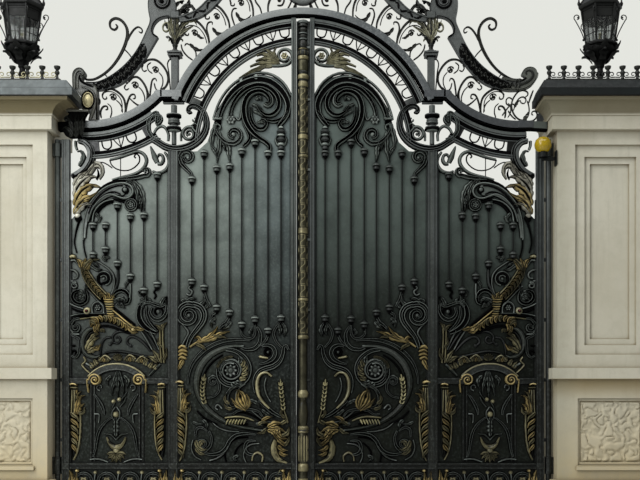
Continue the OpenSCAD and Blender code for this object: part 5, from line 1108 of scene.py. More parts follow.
def centre_lower(S):
    """Centre bay below its bars."""
    # bracket scroll at the mid stile
    sweep(S, chain((187, 348), (190.6, 338), (197, 329.4), (202.6, 321.6), (204, 314), (200.4, 307.4), (193.6, 304.6), spiral(188.6, 315.4, 11.6, -62, -1.55, 2.2)), [3.0, 5.0, 6.2, 6.0, 5.0, 3.4, 1.8], .038, "mould", mat=1)
    eye(S, 188.8, 315.6, 2.0, .038, 1)
    sweep(S, [(181, 323), (185.6, 327.6), (188.4, 333.6), (184.4, 341), (181, 348)], [1.0, 2.2, 1.6], .026, "round", mat=1)
    for p, w in (([(186, 303.6), (190, 299.4), (196.6, 298.6)], 2.2), ([(200, 305), (204, 301.6), (203.4, 296.4)], 2.0), ([(205, 308), (208.6, 304), (206, 300.4)], 1.7), ([(181, 302.6), (184.6, 300), (190, 301)], 1.8)):
        blade(S, p, w, .034, 2, mat=1)
    sweep(S, chain((191.4, 285), (189, 288.4), (192, 291.6), (190, 295.4), (186.6, 294)), [1.4, 2.0, 1.4], .028, "round", mat=1, ds=.8)
    # gilded shell on the stile
    for i, (dx, dy) in enumerate(((0, 0), (.4, 3.6), (.2, 7.2), (-.6, 10.8))):
        sweep(S, [(177.6, 349 + dy), (182 + dx, 346.4 + dy), (187 + dx, 348.4 + dy)], [2.0, 3.6, 1.6], .046 - .004 * i, "ridge", mat=3, ends=(1.2, 1.2))
    blade(S, [(183, 360), (179.6, 366), (177.4, 372)], 2.4, .034, 2, mat=3)
    # gilded branch
    for p, w, l, mt in (([(197, 342), (205, 339.4), (212, 334), (217.6, 326.6)], 2.6, 4, 3), ([(205, 340.6), (213, 338), (221, 333.6), (229.6, 331.4)], 2.6, 4, 3), ([(196, 344), (202, 346.6), (206.4, 351)], 1.8, 2, 2), ([(212, 336), (220, 336.4), (228, 338.6)], 1.7, 3, 2),
                        ([(201, 341), (198, 337.4), (194.6, 338.4)], 1.7, 2, 3)):
        blade(S, p, w, .044, l, lift=.004, mat=mt)
    sweep(S, [(190, 347), (197, 342.4), (205, 339.6), (213, 337)], [1.4, 2.4, 1.4], .04, "round", mat=3)
    # stems of the cups
    for p, wd in (([(204, 291), (206.4, 300), (210.4, 306.6)], [1.6, 2.6, 1.6]), ([(216.8, 312), (212, 315), (211.4, 320.6), (215, 324)], [2.4, 2.0, 1.2]), ([(229, 318), (226, 323), (222, 325.6), (219, 329)], [2.4, 3.0, 1.4]),
                  ([(241, 329), (241.6, 334.6), (246.4, 338.4), (252, 338), (255, 333), (255, 323)], [1.6, 2.2, 2.4, 1.6]), ([(257, 327), (260.4, 334), (259.4, 343), (254, 348.6), (246, 349.6), (241, 347.6)], [1.4, 3.2, 4.0, 3.4, 2.0]),
                  ([(268, 335), (266, 340), (262, 344.6), (258.4, 346)], [2.0, 2.4, 1.2]), ([(280.6, 322), (276, 327.4), (273.6, 334), (276, 341.6), (281.4, 347.4)], [1.4, 2.2, 2.4, 1.4]),
                  ([(281.4, 322), (285, 328), (283.6, 334)], [1.4, 2.0, 1.0])):
        sweep(S, p, wd, .032, "mould", mat=1)
    for p, w in (([(215, 318), (211, 322.6), (211.6, 328)], 2.0), ([(231, 322), (226.4, 327), (221.6, 330)], 2.2), ([(279, 325), (280.6, 331), (278.6, 336)], 2.2), ([(284, 325), (285.6, 331), (283.6, 337)], 1.8), ([(252, 329), (250, 333), (253.6, 336)], 1.5)):
        blade(S, p, w, .034, 3, mat=1)
    # great C band that sweeps from the leaf scroll to the stile's foot
    sweep(S, [(243.6, 346.4), (234, 346.6), (224, 348.4), (214, 352.6), (205.6, 359.4), (199.6, 368.4), (196.6, 379), (197.2, 390), (201.4, 400.6), (208.4, 410), (217.6, 417.6), (228, 423), (239, 426.6), (251, 429), (262, 430.6)],
          [2.6, 4.6, 5.6, 6.0, 6.0, 5.4, 4.6, 4.0, 3.4, 2.6], .036, "ridge", mat=1)
    sweep(S, [(250, 340.6), (238, 339.6), (224, 341), (211, 346), (200.6, 353.6), (192.6, 363.6), (188.6, 375), (188, 384)], [1.4, 3.0, 3.6, 3.4, 2.4, 1.2], .026, "mould", mat=1)
    sweep(S, [(203.6, 401), (202, 391), (202.6, 380), (206.6, 369.6), (213.6, 361), (222.6, 355)], [1.0, 1.6, 1.6, 1.0], .020, "round", mat=4)
    # leaf scroll in the middle
    sweep(S, chain((226, 349.4), (236, 351.4), (245, 358.4), (249, 368), (246.6, 378), (238.6, 385), spiral(231, 371, 14.6, 60, .92, 8.6)), [3.4, 5.2, 6.0, 5.4, 4.0, 3.2], .034, "mould", mat=1)
    sweep(S, spiral(231, 370.4, 11.0, -120, 1.15, 7.0), [2.2, 2.6, 2.0], .038, "round", mat=1)
    for a0, n in ((200, 5), (-150, 4)):
        for i in range(n):
            d = math.radians(a0 + i * 17)
            x, y = 231 + 13.2 * math.cos(d), 370.6 + 12.8 * math.sin(d)
            blade(S, [(x + 2.2 * math.sin(d), y - 2.2 * math.cos(d)), (x + .4 * math.cos(d), y + .4 * math.sin(d)), (x - 2.6 * math.sin(d) + 1.2 * math.cos(d), y + 2.6 * math.cos(d) + 1.2 * math.sin(d))], 1.2, .042, 0, base=.5, tip=.3, lift=.004, mat=2, n=8)
    rosette(S, (230.8, 370.6), 5.8, .036, .006, 1, 8)
    dome(S, (230.8, 370.6), 2.8, .050, mat=1)
    for i in range(7):
        d = math.radians(-52 + i * 21)
        r = 15.2
        x, y = 231 + r * math.cos(d), 371 + r * math.sin(d)
        blade(S, [(x - 3.4 * math.cos(d) - 2.4 * math.sin(d), y - 3.4 * math.sin(d) + 2.4 * math.cos(d)), (x, y), (x + 2.0 * math.cos(d) + 3.4 * math.sin(d), y + 2.0 * math.sin(d) - 3.4 * math.cos(d))], 2.9, .042, 2, lift=.006, mat=2 if i in (1, 2, 3, 4) else 1)
    for i in range(5):
        d = math.radians(150 + i * 22)
        x, y = 231 + 11.4 * math.cos(d), 369 + 10.4 * math.sin(d)
        blade(S, [(x + 3 * math.cos(d + 1.9), y + 3 * math.sin(d + 1.9)), (x, y), (x + 4 * math.cos(d - .9), y + 4 * math.sin(d - .9))], 2.0, .036, 2, lift=.006, mat=1)
    # small scrolls beside the great C
    sweep(S, chain((207, 398), (214, 396.4), (219, 391), (219.4, 384), spiral(213, 381.4, 5.4, 20, -1.1, 2.0)), [1.4, 2.2, 2.6, 1.8], .030, "mould", mat=1)
    eye(S, 213, 381.6, 1.5, .03, 1)
    blade(S, [(208, 380), (213, 377), (220, 379.6)], 2.0, .03, 3, mat=1)
    sweep(S, [(222, 408.6), (218, 405), (215.4, 407.6), (217.6, 409.8)], [1.6, 2.2, 1.2], .026, "round", mat=1, ds=.8)
    # band from the leaf scroll down to the flower, and the S at the meeting stile
    sweep(S, [(239.6, 384), (233.6, 386.6), (229, 391.4), (226.6, 398), (228.4, 405), (233.6, 408), (236, 404.4), (232.8, 402.6)], [1.6, 3.0, 3.4, 2.6, 1.6], .034, "mould", mat=1, ds=.9)
    sweep(S, [(245, 384), (239.6, 388), (236, 394), (235.4, 401)], [1.2, 2.0, 1.0], .032, "round", mat=1)
    sweep(S, [(288.6, 350), (286.4, 345.8), (283.6, 347.6), (282.8, 354), (279.6, 361.4), (273.4, 366.4), (266, 368.6), (259.6, 371.6), (255.6, 377.6), (254.4, 385), (255.6, 393)], [1.8, 3.0, 4.4, 5.4, 5.2, 4.0, 2.4], .034, "mould", mat=1)
    # hook above it
    sweep(S, chain((259.4, 364), (266, 362.8), (272.4, 359), (275, 353), (272.6, 347.4), (267, 345.2), (262, 346.4)), [1.2, 3.0, 4.0, 3.6, 1.8], .034, "mould", mat=1)
    sweep(S, spiral(268, 352.6, 4.4, -40, -1.0, 1.6), [1.2, 2.0, 1.4], .030, "round", mat=4, ds=.7)
    eye(S, 268, 352.4, 1.5, .032, 1)
    sweep(S, [(258.6, 356.6), (263.4, 357.6), (268, 358.4)], [2.6, 1.6], .04, "round", mat=2, ends=(1.2, 0))
    # gilded C with its ear of wheat
    sweep(S, [(271.6, 376.6), (266.4, 372.6), (260.6, 374.4), (257.4, 381), (257.2, 389.4), (259.6, 397.4), (264.4, 404), (269.4, 408.6)], [1.6, 2.8, 3.8, 3.8, 3.0, 1.6], .044, "round", mat=2, ds=.9)
    sweep(S, [(266, 378), (264.4, 386), (266.6, 395), (270.6, 402)], [1.0, 1.8, .8], .026, "round", mat=1)
    wheat(S, [(283.4, 410), (282.4, 400), (281.2, 391), (280.6, 382)], 2.6)
    sweep(S, [(287.6, 423), (286, 416.4), (283.8, 409), (282, 401)], [1.6, 1.2, .9], .03, "round", mat=2)
    # gilded flower
    for p, w in (([(246, 410), (240, 404), (237.4, 396.6), (239.6, 388)], 3.4), ([(247.4, 409), (245, 400), (241.6, 393), (236.4, 390)], 3.0), ([(247.6, 408), (248.6, 401), (246.4, 394)], 2.4), ([(244, 409.6), (236, 404.6), (231, 398)], 2.2)):
        blade(S, p, w, .050, 3, lift=.008, mat=3)
    # gilded ear on the great C
    wheat(S, [(204.6, 404), (202.6, 395), (202.6, 386), (204.4, 377)], 2.8)
    # toothed leaf
    for i in range(7):
        x = 227 + i * 2.9
        sweep(S, [(x + 1.4, 419.6), (x + .2, 421.6), (x - .8, 424.4)], [1.2, 1.5, .6], .046, "round", mat=7, ds=.7)
    sweep(S, [(226, 424.4), (234, 425.4), (242, 425), (248, 424)], [1.0, 1.6, .8], .022, "round", mat=4)
    sweep(S, [(225, 418.0), (232, 417.0), (240, 416.8), (247.6, 418.4), (254, 421)], [1.4, 1.9, 1.6, 1.0], .042, "round", mat=2)
    sweep(S, chain((226, 414), (232, 414.6), (237.6, 411), (244, 409.4), (252, 409.8), (259, 412), (262.6, 417)), [1.2, 2.4, 2.4, 1.4], .036, "mould", mat=1)
    for p, w in (([(250, 400), (256, 402.6), (261, 408)], 2.0), ([(262, 410), (268, 414.6), (275, 417.6)], 2.2), ([(256, 424), (262, 424.6), (268, 428)], 2.0)):
        blade(S, p, w, .034, 3, mat=1)
    sweep(S, [(258, 400.6), (265, 406), (273, 412.6), (281, 417)], [1.6, 3.4, 2.4], .030, "mould", mat=1)
    # gilded cluster and D at the meeting stile
    for p, w, mt in (([(268, 427), (275, 423.4), (283, 423.6)], 2.8, 3), ([(268, 430), (274, 433), (276, 440)], 2.6, 3), ([(270, 429), (278, 428.4), (285, 432)], 2.8, 3), ([(276, 431), (281, 437), (287, 439)], 2.8, 3), ([(281, 424), (286, 420.6), (285.6, 416.6)], 2.0, 2),
                    ([(282, 436), (287.6, 433), (289, 427)], 2.4, 2), ([(276, 436), (280, 441), (286, 444)], 2.2, 3), ([(266, 429), (262, 432.6), (257, 433.4)], 1.8, 2)):
        blade(S, p, w, .052, 3, lift=.010, mat=mt)
    rosette(S, (277.6, 430.6), 3.4, .058, .006, 3, 5)
    sweep(S, [(275.4, 440), (273.6, 447), (274.8, 454.6), (279.4, 460.6), (287, 463.6)], [3.0, 5.6, 6.0, 4.6, 2.2], .048, "ridge", mat=2, ds=.9)
    for p in ([(278, 446), (282, 450), (287.6, 450.6)], [(280, 441), (284, 444.6), (288.6, 444)], [(279.6, 452), (283, 455), (288, 455)]):
        blade(S, p, 1.9, .044, 2, mat=3)
    # leafy stems that run into the cluster
    sweep(S, [(262, 431), (268, 428.6), (274, 430)], [1.6, 2.8, 1.6], .034, "mould", mat=1)
    sweep(S, [(256, 434.6), (246, 433.6), (236, 435.4), (229.6, 441), (226, 448), (220, 453), (211, 454.6), (204, 453)], [1.2, 2.8, 3.6, 3.6, 3.0, 1.8], .034, "mould", mat=1)
    sweep(S, chain((256, 441), (248, 441.4), (245, 447), (247, 453), (254, 455.4)), [1.2, 2.8, 3.2, 1.8], .028, "mould", mat=1)
    sweep(S, [(228, 446), (224.4, 452.6), (217, 458.4), (209.6, 460.6)], [1.0, 2.6, 1.4], .026, "round", mat=1)
    sweep(S, chain((209, 431), (211.6, 438), (210, 446), (205, 451), spiral(202.6, 444.6, 6.0, 70, 1.1, 2.2)), [1.4, 2.6, 3.2, 3.0, 1.8], .034, "mould", mat=1)
    blade(S, [(199, 447), (202, 441.6), (206.4, 443)], 2.4, .036, 3, lift=.006, mat=2)
    sweep(S, [(207, 431), (201, 427.4), (196, 430), (195.6, 437)], [1.0, 2.4, 2.4, 1.2], .028, "mould", mat=1)
    for p, w in (([(193, 422), (199, 424.6), (205, 423.6)], 1.5), ([(203, 420), (206.6, 424), (206.4, 429)], 2.2), ([(238, 455.6), (234, 458), (238, 462)], 1.8)):
        blade(S, p, w, .03, 2, mat=1)
    sweep(S, chain((262, 462), (262.4, 456), (257.6, 452.8), (253, 455.6), (252, 461)), [1.2, 2.0, 1.2], .026, "round", mat=2, ds=.8)
    sweep(S, [(283, 462), (281.6, 468), (278, 473.6)], [1.0, 1.6, .8], .028, "round", mat=2)
    for p, wd, mt in (([(226, 462), (224.6, 453), (228.6, 444), (237, 438.6), (248, 437.4)], [1.0, 1.6, 1.0], 4), ([(246, 463), (243.6, 456), (245.4, 449), (251, 444.6), (259, 443.6)], [1.0, 1.8, 1.2], 1), ([(237, 462), (234.6, 455), (237, 448.6), (243, 443)], [.8, 1.4, 1.0], 4),
                      ([(197, 411), (202, 416.6), (209, 421), (217, 424.6)], [1.0, 1.6, 1.0], 4), ([(252, 411), (259, 417), (267, 421.6), (276, 423)], [1.0, 2.0, 1.4], 1), ([(233, 413), (243, 412.6), (253, 416), (262, 421.6), (270, 425)], [1.0, 1.6, 1.0], 4),
                      ([(258, 398), (263, 405), (270, 410.6), (279, 414.6)], [1.0, 1.8, 1.2], 4), ([(193, 440), (191.4, 448), (194.6, 456), (201, 460)], [1.0, 1.6, 1.0], 1), ([(213, 423), (219, 428), (228, 431), (239, 432)], [1.0, 1.6, 1.0], 1)):
        sweep(S, p, wd, .026, "round", mat=mt)
    for p, w, mt in (([(196, 441), (198, 446.6), (203, 450), (208, 449)], 2.6, 2), ([(196, 448), (200, 453), (206, 454.6)], 2.2, 2), ([(262, 421), (267, 417.6), (272, 417)], 1.8, 3), ([(258, 425), (263, 422), (268, 423.6)], 1.8, 2), ([(284, 446), (288, 441), (289, 436)], 1.8, 2),
                     ([(229, 404), (225, 400), (226, 394)], 1.8, 2), ([(232, 409), (227, 408), (224, 404)], 1.8, 2), ([(236, 386), (231, 389), (228, 394)], 1.7, 1), ([(285, 418), (281, 413.6), (282.4, 408)], 1.6, 2)):
        blade(S, p, w, .044, 2, lift=.004, mat=mt)
    acanthus_console(S, 180.4, 384, 461, 1, 5.8)


def wheat(S, pts, w):
    """An ear of wheat: grains in pairs along a stem."""
    c, share, total = resample(smooth(pts), 4.4)
    sweep(S, pts, 1.3, .036, "round", mat=6)
    for i in range(len(c) - 1):
        dx, dy = c[i + 1][0] - c[i][0], c[i + 1][1] - c[i][1]
        L = math.hypot(dx, dy)
        dx, dy = dx / L, dy / L
        for s in (-1, 1):
            p = c[i]
            sweep(S, [(p[0] - dy * s * .3, p[1] + dx * s * .3), (p[0] - dy * s * w * .55 + dx * 1.4, p[1] + dx * s * w * .55 + dy * 1.4), (p[0] - dy * s * w * .72 + dx * 3.6, p[1] + dx * s * w * .72 + dy * 3.6)], [1.0, 1.6, .5], .046, "round", mat=7, ds=.7)
    p, q = c[-2], c[-1]
    sweep(S, [p, q, (q[0] + (q[0] - p[0]) * .7, q[1] + (q[1] - p[1]) * .7)], [1.0, 1.6, .5], .046, "round", mat=7, ds=.7)


def frieze(S):
    """Ring frieze at the foot of both bays, with leaves in the corners."""
    for x0, x1 in ((70, 167), (175, 291)):
        n = int((x1 - x0 - 6) / 20.4)
        pitch = (x1 - x0 - 4) / n
        for i in range(n):
            x = x0 + 2 + pitch * (i + .5)
            sweep(S, spiral(x, 481.6, 8.6, -90, 1.0, 8.6), 2.4, .030, "mould", mat=1)
            rosette(S, (x, 481.6), 4.2, .034, mat=2, petals=6)
            for d in (45, 135, 225, 315):
                r = math.radians(d)
                blade(S, [(x + 4.0 * math.cos(r), 481.6 + 4.0 * math.sin(r)), (x + 5.6 * math.cos(r), 481.6 + 5.6 * math.sin(r)), (x + 7.4 * math.cos(r), 481.6 + 7.4 * math.sin(r))], 1.2, .026, 0, mat=1, n=6)
            if i:
                for y in (472.6, 490.6):
                    dome(S, (x - pitch / 2, y), 1.9, .03, mat=2)
                sweep(S, [(x - pitch / 2, 474), (x - pitch / 2 - .8, 481.6), (x - pitch / 2, 489)], [1.2, 2.2, 1.2], .024, "round", mat=1)
    for x, s in ((69.6, 1), (167, -1), (174.4, 1), (290.6, -1)):
        blade(S, [(x, 486), (x + 1.6 * s, 479), (x + .6 * s, 470)], 3.0, .046, 3, lift=.006, mat=3)
        blade(S, [(x + 1 * s, 486), (x + 6 * s, 480), (x + 7.4 * s, 471)], 2.6, .042, 3, lift=.004, mat=3)
        dome(S, (x + 7.6 * s, 470.6), 1.8, .048, mat=3)


# ------------------------------------------------------------------ two-faced members (the overthrow is seen from both sides)
def rod(S, pts, widths, T=.011, mat=0, ds=1.4, ends=(0.6, 0.6), kind="round", yc=0.0):
    """A bar with the same relief on both faces. T is half its depth in metres."""
    c, share, total = resample(smooth(pts), ds)
    loop = {"round": ((-1, 0), (-.8, -.75), (-.35, -1), (.35, -1), (.8, -.75), (1, 0), (.8, .75), (.35, 1), (-.35, 1), (-.8, .75)),
            "flat": ((-1, -.7), (-.8, -1), (-.5, -.8), (0, -.72), (.5, -.8), (.8, -1), (1, -.7), (1, .7), (.8, 1), (.5, .8), (0, .72), (-.5, .8), (-.8, 1), (-1, .7))}[kind]
    rings = []
    m = len(c)
    for i in range(m):
        a, b = c[max(i - 1, 0)], c[min(i + 1, m - 1)]
        tx, tz = b[0] - a[0], b[1] - a[1]
        L = math.hypot(tx, tz) or 1
        nx, nz = -tz / L, tx / L
        w = lerp_list(widths, share[i]) / 2
        t = lerp_list(T, share[i])
        for e, dist in ((ends[0], share[i] * total), (ends[1], (1 - share[i]) * total)):
            if e and dist < e:
                k = math.sqrt(max(0.02, 1 - (1 - dist / e) ** 2))
                w *= k
                t *= .5 + .5 * k
        rings.append([(*[(303 - (c[i][0] + nx * w * u)) / 100], yc + t * v, (550 - (c[i][1] + nz * w * u)) / 100) for u, v in loop])
    S.loft(rings, mat)
    return c


def knob(S, x, y, r, T=.02, mat=0, n=16, yc=0.0):
    """A button seen from both sides."""
    A, Z = grid_at((x, y))
    R = r / 100
    prof = [(.1 * R, -T), (.5 * R, -.95 * T), (.85 * R, -.7 * T), (R, -.25 * T), (R, .25 * T), (.85 * R, .7 * T), (.5 * R, .95 * T), (.1 * R, T)]
    S.loft([[(A + q * math.cos(2 * math.pi * k / n), yc + yy, Z + q * math.sin(2 * math.pi * k / n)) for k in range(n)] for q, yy in prof], mat)


def flower(S, x, y, r, T=.022, mat=0, petals=6):
    """A curl with ragged leaves inside it."""
    rod(S, spiral(x, y, r, 200, 1.15, .42 * r), [1.1, 1.2, .9], T * .8, mat, .8, (.4, .4))
    for k, (d, L) in enumerate(((20, .62), (150, .55), (265, .70))):
        e = math.radians(d)
        frond(S, [(x + .12 * r * math.cos(e), y + .12 * r * math.sin(e)), (x + .45 * r * math.cos(e + .3), y + .45 * r * math.sin(e + .3)), (x + L * 1.25 * r * math.cos(e + .5), y + L * 1.25 * r * math.sin(e + .5))], .34 * r, T * .7, 2, mat)
    knob(S, x, y, .26 * r, T * .9, mat, 8)


def frond(S, pts, W, T=.016, lobes=4, mat=0, tip=.15):
    """A leaf with the same face on both sides."""
    c, share, total = resample(smooth(pts), resample(smooth(pts), 1.0)[2] / max(10, lobes * 5))
    m = len(c)
    rings = []
    for i in range(m):
        a, b = c[max(i - 1, 0)], c[min(i + 1, m - 1)]
        tx, tz = b[0] - a[0], b[1] - a[1]
        L = math.hypot(tx, tz) or 1
        tx, tz = tx / L, tz / L
        nx, nz = -tz, tx
        s = share[i]
        env = .35 + .65 * math.sin(math.pi * min(1, s * 1.1) ** .8)
        if s > .6:
            env *= 1 - (1 - tip) * ((s - .6) / .4) ** 1.5
        ph = (s * lobes) % 1.0
        lob = .66 + .34 * math.sin(math.pi * min(ph * 1.25, 1)) ** .7 if lobes else 1
        w = max(W * env * lob, .12)
        sw = .5 * W * env * (1 - ph) if lobes else 0
        ring = []
        for v, h in ((-1, 0), (-.7, -1), (-.35, -.8), (0, -.5), (.35, -.8), (.7, -1), (1, 0), (.7, 1), (.35, .8), (0, .5), (-.35, .8), (-.7, 1)):
            q = (c[i][0] + nx * w * v - tx * sw * v * v, c[i][1] + nz * w * v - tz * sw * v * v)
            A, Z = grid_at(q)
            ring.append((A, T * h, Z))
        rings.append(ring)
    S.loft(rings, mat)


def rimmed(S, pts, widths, T, rim=1.1, sunk=.010, mat=0, ds=2.0, two=True):
    """A plate whose edges stand up as rims on both faces."""
    c, share, total = resample(smooth(pts), ds)
    m = len(c)
    rings = []
    face = [(-1, 0, .3), (-1, .25, 1), (-1, rim, 1), (-1, rim + .5, 1 - sunk / T), (1, -rim - .5, 1 - sunk / T), (1, -rim, 1), (1, -.25, 1), (1, 0, .3)]
    for i in range(m):
        a, b = c[max(i - 1, 0)], c[min(i + 1, m - 1)]
        tx, tz = b[0] - a[0], b[1] - a[1]
        L = math.hypot(tx, tz) or 1
        nx, nz = -tz / L, tx / L
        w = lerp_list(widths, share[i]) / 2
        ring = []
        for s, o, h in face:
            t = s * w + o
            A, Z = grid_at((c[i][0] + nx * t, c[i][1] + nz * t))
            ring.append((A, -T * h, Z))
        for s, o, h in reversed(face):
            t = s * w + o
            A, Z = grid_at((c[i][0] + nx * t, c[i][1] + nz * t))
            ring.append((A, T * h, Z))
        rings.append(ring)
    S.loft(rings, mat)
    return c


BAND = [(.0, .040), (.003, .0455), (.062, .0455), (.066, .0435), (.0665, .026), (.0745, .026), (.075, .036), (.080, .034), (.080, -.034), (.075, -.036), (.0745, -.026), (.0665, -.026), (.066, -.0435), (.062, -.0455), (.003, -.0455), (.0, -.040)]
# the band's recessed strips coloured black: painted shade
BAND_COLS = {3: 1, 4: 1, 5: 1, 6: 1, 7: 1, 8: 1, 9: 1, 10: 1, 11: 1}


def fixed_bands(S):
    """Moulded band of the shoulder with its level step (one side). mats 0 fascia, 1 black, the painted shade of its
    hollows and the painted shadow under its step and end.
    """
    arc_bar(S, SHO, [(.936 + 1.1 * r, y) for r, y in BAND], -90.4, -135.6, 1.4, 0, BAND_COLS)
    # black strips under the step's fascia: painted shadow
    for z0, z1, y, mt in ((4.588 - .068, 4.588, .0462, 0), (4.506, 4.588 - .067, .027, 1), (4.500, 4.5065, .036, 1)):
        brick(S, 1.212, 1.424, -y, y, z0, z1, mt, .002)
    # the mitre between the level step and the curve
    for y, mt, poly in ((.0462, 0, [(1.405, 4.588), (1.405, 4.520), (1.433, 4.5165), (1.484, 4.5655), (1.470, 4.580), (1.456, 4.588)]), (.034, 1, [(1.405, 4.523), (1.405, 4.5005), (1.420, 4.5005), (1.440, 4.5185)])):
        S.loft([[(a, yy, z) for a, z in poly] for yy in (-y, y)], mt)
    brick(S, 2.142, 2.300, -.047, .047, 4.212, 4.282, 0, .003)
    # black strip under the band's end: painted shadow
    brick(S, 2.142, 2.310, -.040, .040, 4.196, 4.214, 1, .002)
    # the end bends down to the pier
    for z0, z1, y, mt in ((4.212, 4.280, .045, 2), (4.198, 4.214, .038, 1)):
        straight(S, 2.290, z1 - .002, 2.440, z1 - .012, [(.0, -y), (.0, y), (-(z1 - z0), y), (-(z1 - z0), -y)], 0, mt)


def arch_band(S):
    arc_bar(S, ARCH, [(1.400 - r, y) for r, y in BAND], 20.8, 159.2, 1.3, 0, BAND_COLS)


def console_left(S):
    """Scrolled console above a leafy capital. mats 0 iron, 1 dark, 2 gold, 3 black."""
    out = smooth([(98.7, 121.6), (98.8, 110), (98.8, 98), (98.2, 91.4), (96.4, 87.4), (92.6, 85.8), (88.4, 84.8), (84.6, 82.6), (83.2, 80), (85.4, 77.8), (86.2, 74.2), (84.2, 70.8), (80.6, 69.4), (77, 70.6), (74.4, 73.6), (73.6, 78), (73.8, 84), (74.2, 91.4)], n=4)
    out += [(76.8, 91.6), (83.2, 99.6), (83.9, 101), (83.8, 112.8)] + smooth([(89.4, 113.2), (91, 115.8), (89.6, 121.6)], n=3)
    panel(S, out, .043, 1.0, .008, 0, yc=-.015)
    # folds that run down from the roll, with a black strip between them, the painted shade of the hollow
    for sgn, yf in ((1, -.052), (-1, .022)):
        def fold(p, w, h, mt, sec="round", lift=.0):
            sweep(S, p, w, h * sgn, sec, yf, yf + .006 * sgn, 1.0, mt, skirt=.15, lift=lift)
        fold([(75.8, 90.6), (75.4, 84), (75.6, 78), (77.4, 73.4), (80.8, 71.6), (83.8, 73.2), (84.2, 76), (82, 77.4)], [3.0, 3.4, 3.0, 2.6, 1.6], .012, 0, "cove")
        fold([(79.2, 90.4), (78.4, 84), (79, 78.6), (81, 75.6)], [2.4, 2.6, 1.6], .008, 0, "cove")
        fold([(81.6, 75), (80.8, 79), (83, 83.2), (88.4, 86.2), (94.6, 88.6)], [1.0, 2.0, 2.2, 1.0], .006, 3)
        fold([(83, 88.4), (88, 89.6), (93.6, 93), (96.2, 99.6), (96, 107.6), (94, 114.2), (91.8, 120.4)], [1.6, 2.2, 2.6, 2.8, 2.2], .010, 0, "cove")
        fold([(98, 104), (98, 120.6)], [1.0, 1.6], .006, 3)
        # egg-shaped boss in a moulded ring
        fold([(89.3 + 6.2 * math.cos(t * math.pi / 8), 101.6 + 8.6 * math.sin(t * math.pi / 8)) for t in range(17)], 1.9, .014, 3)
        fold([(89.4 + 4.9 * math.cos(t * math.pi / 8), 101.8 + 7.2 * math.sin(t * math.pi / 8)) for t in range(17)], 1.5, .014, 2)
        A, Z = grid_at((89.6, 102.4))
        S.loft([[(A + .044 * q * math.cos(2 * math.pi * k / 24), yf - y * sgn, Z + .066 * q * math.sin(2 * math.pi * k / 24)) for k in range(24)] for q, y in ((1.0, -.003), (.97, .008), (.8, .020), (.5, .029), (.2, .033), (.03, .034))], 2)
    # capital: a dark block of leaves under a thin slab
    brick(S, 2.118, 2.336, -.113, -.045, 4.350, 4.371, 0, .003)
    brick(S, 2.132, 2.322, -.106, -.048, 4.338, 4.352, 3, .002)
    panel(S, [(72.4, 116), (89.4, 116), (87.6, 119.6), (86, 124), (85.4, 130), (84.6, 135), (81.6, 140), (73, 140.6), (68, 138), (65.4, 133), (67, 128.6), (71.4, 127.4), (68.6, 123.4), (68.2, 119.6), (71, 118.4)], .028, .6, .006, 3, yc=-.078)
    for p, w, l in (([(74, 140), (74.6, 131), (72, 122.6), (68.4, 119.4)], 2.6, 4), ([(79, 140), (79.4, 131), (78.4, 123), (75.6, 118.6)], 2.6, 4), ([(84, 138), (84.4, 130), (85, 123), (88, 118.4)], 2.2, 4), ([(76, 139), (72.4, 133), (68, 130.6), (65, 132.6)], 2.2, 3),
                    ([(80.4, 138), (81.6, 129), (81.4, 122.6), (82, 117.6)], 2.0, 4)):
        blade(S, p, w, .016, l, -.100, -.070, mat=1)
    sweep(S, spiral(68.6, 121.6, 2.3, -90, 1.2, .8), [1.4, 1.2, .8], .012, "round", -.100, -.070, .7, 1)


